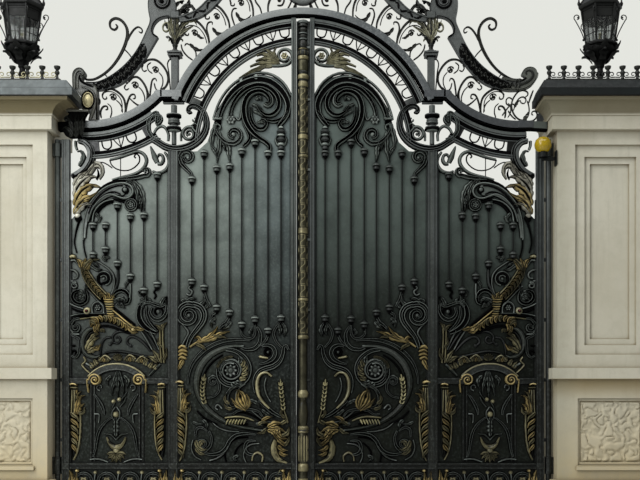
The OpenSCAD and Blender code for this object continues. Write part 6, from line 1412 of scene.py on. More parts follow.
def console_right(S):
    """Open scrolls beside the pier; the raking plate ends in a roll. mats as console_left."""
    out = smooth([(104, 90.4), (98, 91.4), (91, 91.4), (85, 90.8), (79.6, 89.2), (74.6, 86.2), (71, 82), (68.6, 78), (68, 74.2)], n=4)
    out += smooth([(69.2, 73.4), (70.2, 70.4), (73, 68.2), (77, 67.6), (81, 69), (83.8, 72), (84.6, 75.2), (82.4, 77), (80.4, 78.4)], n=4)[1:]
    out += smooth([(84, 80), (90, 80), (97, 79.2), (104, 77.4)], n=3)
    panel(S, out, .030, .8, .007, 0)
    for yc in (-.020, .020):
        rod(S, [(101, 84.6), (92, 85.6), (84, 84.6), (77.4, 81.4), (73.4, 76.6), (74.4, 72.4), (78, 71), (80.8, 73), (79.4, 75.4)], [2.6, 3.4, 3.6, 3.0, 2.4, 1.6], .0095, 1, 1.0, yc=yc)
        rod(S, [(103, 89.4), (92, 90), (82, 88.4), (75, 84.4), (70.4, 78.4)], [1.0, 1.4, 1.0], .0105, 0, 1.2, yc=yc)
        rod(S, [(102, 80.6), (92, 82.4), (84, 81.4), (79.6, 78.4)], [.9, 1.3, 1.0], .0105, 3, 1.2, yc=yc)
        for p in ([(89.6, 79.6), (91, 84), (90.4, 90.6)], [(87.6, 80.6), (87, 85), (88.4, 90)]):
            rod(S, p, [1.2, 2.4, 1.2], .0125, 1, 1.0, yc=yc)
    frond(S, [(89.4, 90.6), (89.6, 86), (88.8, 81.6)], 2.2, .033, 3, 0)

    def r(p, w, T=.012, mt=1):
        rod(S, p, w, T, mt, 1.2, (.6, .6))
    r([(81.4, 97.6), (78.2, 95), (79, 91.8), (84, 90.4), (89, 93), (93.4, 100), (94.4, 107), (92.2, 114), (88.2, 118.6), (84, 120.2), (79.6, 118.6), (77, 113), (77.2, 106), (79, 100.6)], [1.3, 1.7, 1.7, 1.5, 1.1])
    r([(92.6, 111), (90.4, 104), (87, 98.6), (82.8, 97), (80, 99.6), (81.6, 103.4), (84.8, 102.8), (85.6, 100.4)], [1.0, 1.5, 1.3, 1.0])
    frond(S, [(91.4, 107), (88.4, 102), (85, 100.4)], 1.8, .013, 3, 1)
    frond(S, [(76.8, 112), (79, 114.4), (81.6, 116.4)], 1.3, .012, 2, 1)
    r([(104, 116), (99, 109), (95, 104.4), (91.6, 104.8), (90.2, 107.4)], [1.6, 1.5, 1.0])
    r([(90, 119.6), (94, 116.4), (98, 110.6)], [1.2, 1.4])
    r([(77.4, 103.6), (76, 99), (74, 93.6), (72.6, 90)], [1.4, 2.0, 1.4])
    r([(80, 121.4), (73.4, 120.8), (69.6, 117.6), (68.9, 113.8), (70.8, 111.2), (73.6, 111.8), (74.2, 114.2), (72.6, 115.4)], [1.2, 1.7, 1.5, 1.1])
    brick(S, 2.205, 2.235, -.028, .028, 4.200, 4.335, 1, .003)


RAKE_TOP = [(86.4, 82.4), (92, 82.8), (98, 82.2), (105, 79.6), (113, 75), (120, 69.8), (127, 63.4), (133, 56.4), (138.4, 48.4), (143, 39.6), (146.8, 31), (149.6, 24.4), (150.2, 20)]
RAKE_LOW = [(158.4, 37.6), (153, 46.8), (148, 55.4), (143, 62.8), (137, 70.4), (130, 77.8), (123, 83.4), (115, 87.4), (106, 90), (97, 91), (90, 90.2), (86.2, 88.6)]
RAKE_HEAD = [(148.8, 13), (148.2, 5), (149.4, -3), (153.6, -8.8), (160, -11.2), (167, -9.4), (172.4, -4.4), (175.4, 2), (176.2, 9), (174.6, 14.6), (170, 17.4), (164.6, 17.8), (159.4, 19.8), (155, 24), (152.8, 29.6), (153.6, 34.2)]


def panel(S, outline, T, rim, sunk, mat=0, inner=None, yc=0.0):
    """A plate of that outline, with a raised rim on both faces. rim in grid squares."""
    import bmesh
    for sgn in (-1, 1):
        bm = bmesh.new()
        vs = []
        for x, z in outline:
            A, Z = grid_at((x, z))
            vs.append(bm.verts.new((A, yc, Z)))
        f = bm.faces.new(vs)
        f.normal_update()
        bmesh.ops.inset_region(bm, faces=[f], thickness=rim * .01, use_even_offset=False, use_boundary=True)
        bm.verts.ensure_lookup_table()
        own = set(v.index for v in f.verts)
        bm.verts.index_update()
        core = set(f.verts)
        verts = [(v.co.x, yc + sgn * (T - (sunk if v in core else 0)), v.co.z) for v in bm.verts]
        idx = {v: i for i, v in enumerate(bm.verts)}
        faces = [tuple(idx[v] for v in g.verts) for g in bm.faces]
        n = len(outline)
        base = [idx[v] for v in vs]
        o = len(verts)
        verts += [(verts[i][0], yc, verts[i][2]) for i in base]
        for k in range(n):
            j = (k + 1) % n
            faces.append((base[k], base[j], o + j, o + k))
        m0 = len(S.m)
        S.add(verts, faces, mat)
        if inner is not None:
            S.m[m0 + [g for g in bm.faces].index(f)] = inner
        bm.free()


def raking_plate(S):
    """Raking plate with rims and carved relief, its round head, and the boss. mats 0 plate, 1 dark, 2 gold, 3 black."""
    out = smooth(RAKE_TOP, n=3) + smooth(RAKE_HEAD, n=3) + smooth(RAKE_LOW, n=3)
    panel(S, out, .030, .9, .008, 0)
    # carved relief between the rims of the lower half, on both faces
    top, low = resample(smooth(RAKE_TOP), 1.0)[0], resample(smooth(list(reversed(RAKE_LOW))), 1.0)[0]

    def mid(t, u):
        """Point at share t along the plate and u across it (0 lower rim, 1 upper rim)."""
        a = top[min(len(top) - 1, int(t * (len(top) - 1)))]
        b = low[min(len(low) - 1, int(t * (len(low) - 1)))]
        return (b[0] + (a[0] - b[0]) * u, b[1] + (a[1] - b[1]) * u)
    for yc in (-.0215, .0215):
        for r in range(17):
            t = .105 + r * .0375
            s = 1 if r % 2 else -1
            rod(S, [mid(t - .026, .5 - .40 * s), mid(t + .004, .5 - .08 * s), mid(t + .024, .5 + .30 * s), mid(t + .050, .5 + .36 * s), mid(t + .060, .5 + .10 * s)], [1.4, 3.2, 2.8, 1.5], .0085, 3, .9, yc=yc)
            rod(S, [mid(t, .5 + .04 * s), mid(t + .02, .5 - .22 * s), mid(t + .040, .5 - .40 * s)], [1.2, 2.6, 1.0], .0085, 3, .9, yc=yc)
            rod(S, [mid(t - .02, .5 + .38 * s), mid(t + .016, .5 + .10 * s), mid(t + .046, .5 - .36 * s)], [.6, .9, .6], .0090, 3, .9, yc=yc)
            rod(S, [mid(t - .012, .5 - .22 * s), mid(t + .008, .5 + .0 * s), mid(t + .024, .5 + .20 * s), mid(t + .040, .5 + .20 * s)], [.5, 1.0, .7], .0115, 1, .9, yc=yc)
            q = mid(t + .034, .5 - .02 * s)
            knob(S, q[0], q[1], 1.1, .0115, 1, 8, yc)
        # leaf at the upper end of the carving
        for k in (-1, 0, 1):
            rod(S, [mid(.72, .5 + .1 * k), mid(.76, .5 + .26 * k), mid(.80, .5 + .12 * k)], [1.6, 3.0, .8], .0095, 3, .9, yc=yc)
        q = mid(.765, .5)
        knob(S, q[0], q[1], 2.0, .0115, 1, 10, yc)
    # boss on the round head: a dark hoop round a raised button
    for sgn in (-1, 1):
        sweep(S, spiral(162.6, 1.6, 7.4, 0, 1.0, 7.4), 1.8, .012 * -sgn, "round", .024 * sgn, .020 * sgn, .9, 3, skirt=.1)
        sweep(S, spiral(162.6, 1.6, 4.2, 0, 1.0, 4.2), 1.2, .010 * -sgn, "round", .024 * sgn, .020 * sgn, .9, 0, skirt=.1)
    knob(S, 162.0, 2.2, 2.4, .044, 3, 14)
    # oval gilded ring in the notch, and the dark lip of the notch
    rod(S, [(164.8, 23.4), (162.8, 26.6), (163.4, 30.2), (166.2, 31.6), (168.8, 29.4), (169, 25.6), (167.2, 23), (164.8, 23.4)], 1.7, .016, 2, .9, (0, 0))
    rod(S, [(169, 24), (170.4, 21), (170.4, 16.4)], [1.2, 1.0], .012, 3)
    rod(S, [(158.2, 38.4), (153.4, 35.2), (151.9, 29.6), (154.2, 23.4), (158.8, 19.2), (164.6, 17.2), (170, 16.8)], [.8, 1.3, 1.2, .8], .032, 3, 1.2)


def infill(S):
    """Scrolls over the shoulder band and on the arch's back. mats 0 iron, 1 dark, 2 gold."""
    def r(p, w, T=.011, mt=0, k="round"):
        rod(S, p, [x * .78 + .16 for x in w], T, mt, 1.3, (.7, .7), k)
    # whip that follows the raking plate
    rod(S, [(84.5, 79.2), (89, 79.8), (95, 79), (103, 74.6), (110, 68.8), (116, 61.6), (121, 53.6), (125, 44.6), (127.4, 35), (126.2, 27), (121.4, 20.6), (115.2, 18.4), (110.2, 21.6), (110.4, 27.6), (114.6, 29.8), (117.4, 26.6), (115.2, 24.2)],
        [1.8, 2.0, 2.2, 2.8, 3.0, 2.6, 2.0, 1.6], .014, 0, 1.4, (.6, .8), "flat")
    r([(127.2, 41), (130, 35), (134, 29.4), (138.2, 27), (142, 29.6), (141.4, 33), (138.4, 31.4)], [2.2, 2.4, 1.8, 1.2], .012)
    r([(104.4, 73.8), (107.4, 77.4)], [1.6, 1.2])
    # link from the whip's bend to the plate
    r([(124, 49), (128, 53), (131.6, 57.6)], [1.6, 1.4])
    # first set
    r([(104, 91.6), (108, 89.4), (113, 89.4), (119.6, 93.6), (124, 99.6), (125.4, 108.4), (124.8, 114.2)], [1.6, 2.4, 2.6, 2.2, 1.6], .012, 0, "flat")
    r([(101.4, 94.4), (107, 91.6), (114, 92.6), (120, 98), (122, 105), (121.4, 112)], [1.0, 1.2], .008)
    r([(104, 91.8), (102.2, 95.4), (103.6, 99), (106.6, 98.6), (106, 96.2)], [2.0, 1.6, 1.2], .012)
    flower(S, 113, 97.4, 3.8, .014, 0)
    r([(115.6, 99.8), (119.6, 103.4), (121.8, 108), (122.4, 113)], [1.2, 1.6, 1.2])
    r([(101.2, 118.4), (100.4, 112), (102.8, 107), (106.6, 106.2), (107.4, 109.2), (105, 110)], [2.0, 2.4, 1.6], .012)
    r([(110, 118), (111.6, 112.4), (110.6, 106.6), (107, 103.4)], [1.4, 1.2])
    r([(93, 100), (96.6, 97.6), (99.6, 99.6), (99.4, 104), (96.4, 105.6)], [1.2, 1.6, 1.2])
    r([(98.4, 118), (95.6, 112.8), (95.4, 107), (98, 103)], [1.2, 1.6, 1.0])
    # second set
    r([(128, 82.6), (133, 77.4), (138.6, 77.8), (144, 84), (147.2, 92), (146.8, 100), (144, 104.4), (139, 105.6), (134, 102.6), (129.2, 98)], [1.4, 2.4, 2.6, 2.2, 2.0, 1.2], .012, 0, "flat")
    r([(126, 84.6), (124.2, 87.4), (126.2, 90), (129, 88.2)], [1.8, 1.2])
    r([(128.4, 82), (125.6, 84.4)], [1.8, 1.8])
    flower(S, 135, 85.4, 3.8, .014, 0)
    r([(138, 86.6), (142, 90.8), (144.6, 97.6), (144, 103)], [1.2, 1.6, 1.2])
    r([(125.6, 114.8), (126, 109), (127.8, 101), (130.6, 95.2), (134.4, 94.6), (135, 98.2), (132.6, 98.8)], [2.2, 2.4, 1.4], .012)
    r([(140, 109.6), (140.6, 106), (143.6, 103)], [1.8, 1.4])
    r([(146, 107.6), (148.2, 101), (148.4, 94), (146.6, 88)], [1.6, 1.2])
    # third set
    r([(143.4, 63.8), (148, 60), (155.6, 60), (162.4, 65.2), (167.2, 73.4), (168, 81), (165, 87.4), (159.4, 91.4), (155.6, 88.6), (154, 82.6)], [1.4, 2.4, 2.6, 2.4, 2.0, 1.2], .012, 0, "flat")
    r([(143.4, 64), (141.8, 68), (143.8, 71.4), (147, 70)], [1.8, 1.2])
    r([(152.6, 73.6), (148.4, 70.4), (147.4, 65.4), (151, 62.4)], [1.6, 1.2])
    flower(S, 155.4, 70, 3.6, .014, 0)
    r([(158.4, 72), (162.2, 77), (162.6, 84), (160, 90)], [1.2, 1.4, 1.0])
    r([(149.8, 97.4), (150.4, 90), (152, 80.6), (155.2, 78.4), (156.6, 81.6)], [2.0, 2.2, 1.2], .012)
    r([(170.4, 91.6), (169.6, 82), (168.6, 72), (167.4, 64), (169.4, 59.6), (171.8, 60)], [1.4, 1.6, 1.2])
    r([(158, 91.8), (160.6, 90.4), (164.4, 87)], [1.4, 1.6])
    # first set on the arch
    r([(184.6, 32), (183.6, 28), (186, 22.4), (190, 19.6), (196.4, 21), (203.4, 28), (208, 37.6), (209.4, 46.6)], [1.8, 2.2, 2.6, 2.4, 1.8], .012, 0, "flat")
    r([(183, 29), (190, 25.4), (198, 27.4), (204.2, 35), (207, 44)], [1.0, 1.2], .008)
    r([(183.8, 30), (184, 34), (187.8, 35.4), (188.8, 32.8)], [1.8, 1.2])
    flower(S, 194.6, 33, 3.4, .014, 0)
    frond(S, [(197.4, 34.6), (200.6, 37.6), (204, 38)], 1.8, .012, 2, 0)
    frond(S, [(190, 44), (194.6, 48.4), (200, 50.2), (206, 49)], 2.2, .014, 3, 0)
    r([(181, 44), (182.4, 50), (187, 56), (193, 60.4)], [1.6, 2.0, 1.6], .012)
    r([(196, 58), (195.6, 52), (191.6, 46.4), (186.6, 43.6), (184.4, 46)], [1.6, 1.8, 1.2])
    r([(206, 49), (209.4, 46), (213.6, 45.6)], [1.2, 1.2])
    # second set
    r([(206, 17), (204.8, 13), (207, 7.4), (212.6, 4.6), (219.6, 7.6), (226, 15.6), (229.2, 24), (229.4, 34)], [1.8, 2.2, 2.6, 2.4, 1.8], .012, 0, "flat")
    r([(205.4, 12.4), (211, 8.4), (217.4, 9.4), (223.4, 17), (226, 26)], [1.0, 1.2], .008)
    r([(205, 15), (205.6, 18.6), (209, 18.6), (209.4, 16)], [1.8, 1.2])
    flower(S, 216.6, 16.6, 3.4, .014, 0)
    r([(209.6, 43), (208.4, 36), (206.6, 29), (208, 23), (212, 22), (212, 25)], [1.6, 2.2, 1.2], .012)
    frond(S, [(212.6, 28), (217.4, 33.6), (223, 33.4), (227.6, 29)], 2.2, .014, 3, 0)
    r([(229, 32), (232.4, 29.6), (235.4, 29)], [1.2, 1.2])
    # third set
    r([(231.4, 4), (230, 0), (232, -6), (238, -9), (245, -6.6), (250.6, 1), (253, 10), (253, 20)], [1.8, 2.2, 2.6, 2.4, 1.8], .012, 0, "flat")
    r([(230.6, -.6), (236, -4.6), (243, -4), (248.4, 3), (250, 12)], [1.0, 1.2], .008)
    r([(230.4, 2), (231, 5.4), (234, 5.4), (234.4, 3)], [1.8, 1.2])
    flower(S, 241, 3, 3.4, .014, 0)
    r([(236, 29), (233.4, 22), (231.6, 14.6), (233.2, 9), (237, 8.4)], [1.6, 2.2, 1.2], .012)
    frond(S, [(236, 12.6), (240.6, 19.6), (246.6, 19.6), (251, 15)], 2.2, .014, 3, 0)
    r([(262, 15.6), (260, 8), (255.4, 1), (256, -5), (260, -7)], [1.6, 2.2, 1.2], .012)
    # crown scrolls next to the centre line
    r([(268, 12.6), (268.4, 4), (272.4, -4), (279.4, -6), (284, -1), (282, 5), (277, 5.4)], [1.8, 2.6, 2.2, 1.4], .012, 0, "flat")
    flower(S, 279, 0, 2.4, .014, 0)
    r([(287, 10), (291, 2), (292.4, -6), (290.4, -14), (285, -17.6)], [1.6, 2.4, 1.4], .012)
    frond(S, [(294, 10), (297, 0), (300.4, -10)], 2.2, .014, 3, 0)


def post(S):
    """Post on the level step: a square block with a cap, a leafy bud, and leaf work that fills the space beside it."""
    brick(S, 1.245, 1.315, -.036, .036, 4.586, 4.930, 0, .004)
    for a0, a1, y, z0, z1, mt in ((1.238, 1.322, .042, 4.916, 4.930, 3), (1.214, 1.346, .058, 4.930, 4.946, 0), (1.226, 1.334, .048, 4.946, 4.956, 3), (1.208, 1.352, .060, 4.956, 4.974, 0), (1.232, 1.328, .044, 4.974, 4.984, 0)):
        brick(S, a0, a1, -y, y, z0, z1, mt, .003)
    # slim stem and a palmette of leaves, flat leaves towards both sides and small ones round the stem
    a = 1.280
    n = 20

    def turned(prof, mat, dp=0.0, pet=6):
        S.loft([[(a + r * (1 + dp * math.cos(pet * 2 * math.pi * k / n)) * math.cos(2 * math.pi * k / n), r * (1 + dp * math.cos(pet * 2 * math.pi * k / n)) * math.sin(2 * math.pi * k / n), z) for k in range(n)] for r, z in prof], mat)
    turned([(.020, 4.980), (.034, 4.986), (.032, 4.998), (.020, 5.006), (.022, 5.030), (.029, 5.044), (.022, 5.058), (.018, 5.075), (.016, 5.200), (.014, 5.315)], 1)

    def leaf3(d, path, ww, mat):
        up = []
        m = len(path)
        for i, (R, z) in enumerate(path):
            t = i / (m - 1)
            w = ww * math.sin(math.pi * min(1, .22 + .78 * t)) * (.85 + .15 * math.cos(t * 16)) + .003
            cx, cy = a + R * math.cos(d), R * math.sin(d)
            tx, ty = -math.sin(d), math.cos(d)
            ox, oy = .005 * math.cos(d), .005 * math.sin(d)
            up.append([(cx - tx * w, cy - ty * w, z - .006), (cx - tx * w * .5 + ox, cy - ty * w * .5 + oy, z + .002), (cx, cy, z + .001), (cx + tx * w * .5 + ox, cy + ty * w * .5 + oy, z + .002), (cx + tx * w, cy + ty * w, z - .006), (cx - 1.6 * ox, cy - 1.6 * oy, z - .008)])
        S.loft(up, mat)
    for k in range(6):
        d = 2 * math.pi * (k + .5) / 6
        leaf3(d, [(.018, 5.060), (.030, 5.090), (.046, 5.112), (.062, 5.124), (.076, 5.120), (.082, 5.106)], .017, 1 if k % 2 else 4)
    for p, w, l, mt in (([(174.8, 46), (174.4, 36), (173.8, 25), (174, 13)], 2.3, 5, 4), ([(174.2, 41), (171.2, 33), (169, 25), (168.4, 15.6)], 2.3, 4, 4), ([(175.6, 41), (178.8, 33), (183, 26.4), (188.6, 22)], 2.6, 4, 4),
                        ([(174.2, 35), (171.2, 26), (171.2, 18), (172.6, 9)], 1.9, 4, 4), ([(175.8, 35), (177.4, 27), (177.2, 18), (178.4, 9)], 1.9, 4, 4), ([(173.4, 45), (171, 40), (168.2, 36.6), (165.8, 37.4)], 1.6, 2, 1),
                        ([(176, 45), (178.8, 40), (181.8, 36), (184, 35.4)], 1.6, 2, 1), ([(176, 24), (180, 19), (184.6, 17.6)], 1.8, 3, 1)):
        frond(S, p, w, .016, l, mt)
    for p, w, mt in (([(176, 39), (181, 33.6), (187, 29.4), (193, 26)], 2.4, 4), ([(182, 27), (187.6, 21), (194, 20.6), (197, 26)], 3.0, 4), ([(177, 30), (182, 24), (188, 17.6), (195, 15)], 2.0, 1), ([(170, 30), (166, 25), (164.6, 19.6)], 1.7, 1)):
        frond(S, p, w, .016, 4, mt)
    # head block where the plates meet, and the leaf work round it
    brick(S, 1.236, 1.324, -.032, .032, 5.312, 5.378, 0, .006)
    brick(S, 1.322, 1.384, -.020, .020, 5.327, 5.363, 0, .004)
    frond(S, [(181, 17), (186, 14.6), (191, 15.6), (194, 19)], 2.2, .016, 4, 1)
    for x, y in ((172.4, 12), (178.4, 15.4), (184, 10), (189.6, 5), (176, 5), (181.6, 2.4)):
        knob(S, x, y, 1.5, .021, 3, 8)
    frond(S, [(170, 17), (173.6, 9), (178, 3), (184, 0.6)], 2.6, .018, 5, 1)
    frond(S, [(172, 16), (178, 12), (184.6, 11.4), (190, 14.6)], 2.2, .018, 4, 3)
    frond(S, [(178.6, 12), (185, 7), (192, 6.4), (196, 10)], 2.2, .018, 4, 1)
    rod(S, [(177.6, 43), (180.6, 37), (184, 33.4), (187, 35)], [1.4, 1.6, 1.0], .012, 1)
    rod(S, chain((180, 17), (181, 10), (186, 5), (192, 6), spiral(190, 11, 4.4, -60, .9, 1.6)), [2.4, 3.0, 2.6, 1.6], .016, 1, .9)
    frond(S, [(181, 13), (186, 8), (189, 1), (188, -6)], 2.4, .014, 4, 1)


UPPER = [(177, 15.6), (183, 14), (190, 12.2), (197, 9), (203.6, 4), (210, -3), (217, -11), (224, -17.6), (232, -22), (240, -24.6), (250, -26), (262, -25.8), (272, -25), (281, -24)]


def upper(S):
    c = rimmed(S, [(179.6, 20), (188, 18), (200, 13), (211.5, 3), (221, -8), (232, -16.6), (246, -20.4), (263, -20.4), (276.4, -19)], [6.0, 8.4, 10.4, 10.8, 10.8, 10.4, 9.6, 9.2], .029, 1.1, .010, 0, 2.0)
    for i in range(4, len(c) - 2, 4):
        x, y = c[i]
        dx, dy = c[i + 1][0] - c[i - 1][0], c[i + 1][1] - c[i - 1][1]
        L = math.hypot(dx, dy)
        dx, dy = dx / L, dy / L
        s = 1 if (i // 4) % 2 else -1
        for yc in (-.020, .020):
            rod(S, [(x - 2.6 * dx + s * 2.0 * dy, y - 2.6 * dy - s * 2.0 * dx), (x, y), (x + 2.4 * dx - s * 1.8 * dy, y + 2.4 * dy + s * 1.8 * dx), (x + 4.6 * dx - s * .4 * dy, y + 4.6 * dy + s * .4 * dx)], [1.0, 2.2, 1.8, .8], .007, 1, .9, yc=yc)


def shield(S):
    """Blank oval shield with a moulded rim, on the whole width (a from -0.26 to 0.26)."""
    n = 48
    for sgn in (-1, 1):
        rings = []
        for q, y in ((1.0, .004), (1.0, .028), (.975, .035), (.93, .035), (.90, .027), (.87, .020), (.80, .022), (.6, .028), (.35, .032), (.1, .034), (.01, .034)):
            rings.append([(.235 * q * math.cos(2 * math.pi * k / n), sgn * y, 5.775 + .325 * q * math.sin(2 * math.pi * k / n)) for k in range(n)])
        S.loft(rings, 0)
    for s in (-1, 1):
        brick(S, min(s * .20, s * .262), max(s * .20, s * .262), -.028, .028, 5.70, 5.78, 0, .005)
        for zz, tw in ((5.60, 1), (5.95, -1)):
            x, y = 303 - 100 * s * .225, 550 - 100 * zz
            rod(S, [(x, y + 8 * tw), (x - s * 2.4, y + 2 * tw), (x - s * 1.6, y - 4 * tw)], [1.0, 3.0, 1.2], .026, 1)
    prof = [(.020, 6.085), (.058, 6.092), (.060, 6.104), (.034, 6.120), (.030, 6.132), (.052, 6.165), (.056, 6.195), (.042, 6.235), (.026, 6.262), (.013, 6.290), (.004, 6.309)]
    rings = []
    for r, z in prof:
        dp = .10 if 6.14 < z < 6.25 else 0
        rings.append([(r * (1 + dp * math.cos(8 * 2 * math.pi * k / n)) * math.cos(2 * math.pi * k / n), r * (1 + dp * math.cos(8 * 2 * math.pi * k / n)) * math.sin(2 * math.pi * k / n), z) for k in range(n)])
    S.loft(rings, 0)


# ------------------------------------------------------------------ piers (a outwards from the pier's inner face, y from the piers' centre line)
PW = {"left": 0.760, "right": 1.060}
PD = 0.380


def vermicule(S, w, side, face, mat=0):
    """Rough worm-eaten carving in a sunk panel of the pedestal. face: front, back or outer."""
    m = 0.19 * w
    if face == "outer":
        u0, u1 = -PD + m + .004, PD - m - .004
    else:
        u0, u1 = m + .004, w - m - .004
    z0, z1 = 0.866, 1.511
    nu, nz = int((u1 - u0) / .0085), int((z1 - z0) / .0085)
    shift = {"front": 0.0, "back": 7.3, "outer": 13.1}[face] + side * 3.7

    def at(u, z, h):
        if face == "front":
            return (u, -PD + .045 - h, z)
        if face == "back":
            return (u, PD - .045 + h, z)
        return (w - .045 + h, u, z)
    verts, faces = [], []
    for j in range(nz + 1):
        for i in range(nu + 1):
            u = u0 + (u1 - u0) * i / nu
            z = z0 + (z1 - z0) * j / nz
            p = Vector((u * 15 + shift, z * 15, shift))
            q = p + 0.7 * noise.noise_vector(p * 0.8)
            ridge = 1 - min(1.0, abs(noise.noise(q)) * 3.4)
            lump = 0.5 + 0.5 * noise.noise(p * .31 + Vector((3, 1, 2)))
            edge = min(u - u0, u1 - u, z - z0, z1 - z)
            border = 1.0 if edge < .022 else 0.0
            soft = min(1.0, max(0.0, (edge - .022) / .02))
            h = .026 if border else .004 + soft * (.024 * lump + .016 * (1 - ridge) ** 1.0 - .006)
            verts.append(at(u, z, max(.001, h)))
    for j in range(nz):
        for i in range(nu):
            a = j * (nu + 1) + i
            faces.append((a, a + 1, a + nu + 2, a + nu + 1))
    # close it with a flat back
    o = len(verts)
    verts += [at(u0, z0, -.004), at(u1, z0, -.004), at(u1, z1, -.004), at(u0, z1, -.004)]
    faces.append((o + 3, o + 2, o + 1, o))
    faces.append(tuple([o, o + 1] + [i for i in range(nu, -1, -1)]))
    faces.append(tuple([o + 2, o + 3] + [nz * (nu + 1) + i for i in range(0, nu + 1)]))
    faces.append(tuple([o + 1, o + 2] + [j * (nu + 1) + nu for j in range(nz, -1, -1)]))
    faces.append(tuple([o + 3, o] + [j * (nu + 1) for j in range(0, nz + 1)]))
    S.add(verts, faces, mat)


CAP_TOP = 4.580
CR = 0.140                      # reach of the cresting beyond the shaft


def crest_run(S, p0, p1, n, mats=(0, 1)):
    """Pots and little paired scrolls on a rail from p0 to p1."""
    dx, dy = p1[0] - p0[0], p1[1] - p0[1]
    L = math.hypot(dx, dy)
    tx, ty = dx / L, dy / L
    pot = [(.010, .020), (.017, .026), (.014, .038), (.010, .050), (.013, .062), (.022, .074), (.024, .086), (.018, .098), (.013, .106), (.016, .112), (.027, .122), (.031, .136), (.031, .144), (.020, .147)]
    for i in range(n):
        t = i / (n - 1)
        x, y = p0[0] + dx * t, p0[1] + dy * t
        rings = [[(x + r * math.cos(2 * math.pi * k / 12), y + r * math.sin(2 * math.pi * k / 12), CAP_TOP + z) for k in range(12)] for r, z in pot]
        S.loft(rings, 0)
        if i == n - 1:
            break
        for s in (-1, 1):
            # a C scroll from the rail up to the next pot
            xc, yc = x + tx * L / (n - 1) * .5, y + ty * L / (n - 1) * .5
            h = L / (n - 1) * .5
            pts = []
            for k in range(15):
                d = math.radians(-70 + 400 * k / 14)
                r = .030 - .0016 * k
                u = s * (h * .45 + r * math.cos(d))
                pts.append((u, .066 + r * math.sin(d)))
            pts = [(s * .002, .040)] + pts
            rr = []
            for k, (u, z) in enumerate(pts):
                q0, q1 = pts[max(k - 1, 0)], pts[min(k + 1, len(pts) - 1)]
                vx, vz = q1[0] - q0[0], q1[1] - q0[1]
                M = math.hypot(vx, vz) or 1
                nx, nz = -vz / M, vx / M
                wd = .0062 * (1 - .4 * k / len(pts))
                rr.append([(xc + tx * (u + nx * wd * ca) - ty * .006 * sa, yc + ty * (u + nx * wd * ca) + tx * .006 * sa, CAP_TOP + z + nz * wd * ca)
                           for ca, sa in ((1, 0), (.5, .87), (-.5, .87), (-1, 0), (-.5, -.87), (.5, -.87))])
            S.loft(rr, mats[1])


def cresting(S, w, gilded):
    """Rail, pots and paired scrolls round the cap; behind the gate it steps back to the pier's inner face."""
    ci = .170 if gilded else CR
    yi = -PD + .220
    for (x0, y0, x1, y1) in ((-ci, -PD - CR, w + CR, -PD - CR + .024), (.012, PD + CR - .024, w + CR, PD + CR), (-ci, -PD - CR + .022, -ci + .024, yi), (-ci + .022, yi - .024, .014, yi),
                             (.012, yi - .024, .036, PD + CR - .022), (w + CR - .024, -PD - CR + .022, w + CR, PD + CR - .022)):
        brick(S, x0, x1, y0, y1, CAP_TOP - .001, CAP_TOP + .024, 0, .003)
    c = CR - .012
    # the left pier's scrolls dim gold and the right's dark iron: the same gilding painted lit on the left and in shade
    # on the right
    mats = (0, 1 if gilded else 0)
    crest_run(S, (-ci + .032, -PD - c), (w + c - .02, -PD - c), int((w + CR + ci) / .122), mats)
    crest_run(S, (.044, PD + c), (w + c - .02, PD + c), int((w + CR) / .122), mats)
    crest_run(S, (w + c, -PD - c + .02), (w + c, PD + c - .02), int((2 * PD + 2 * CR) / .122), mats)


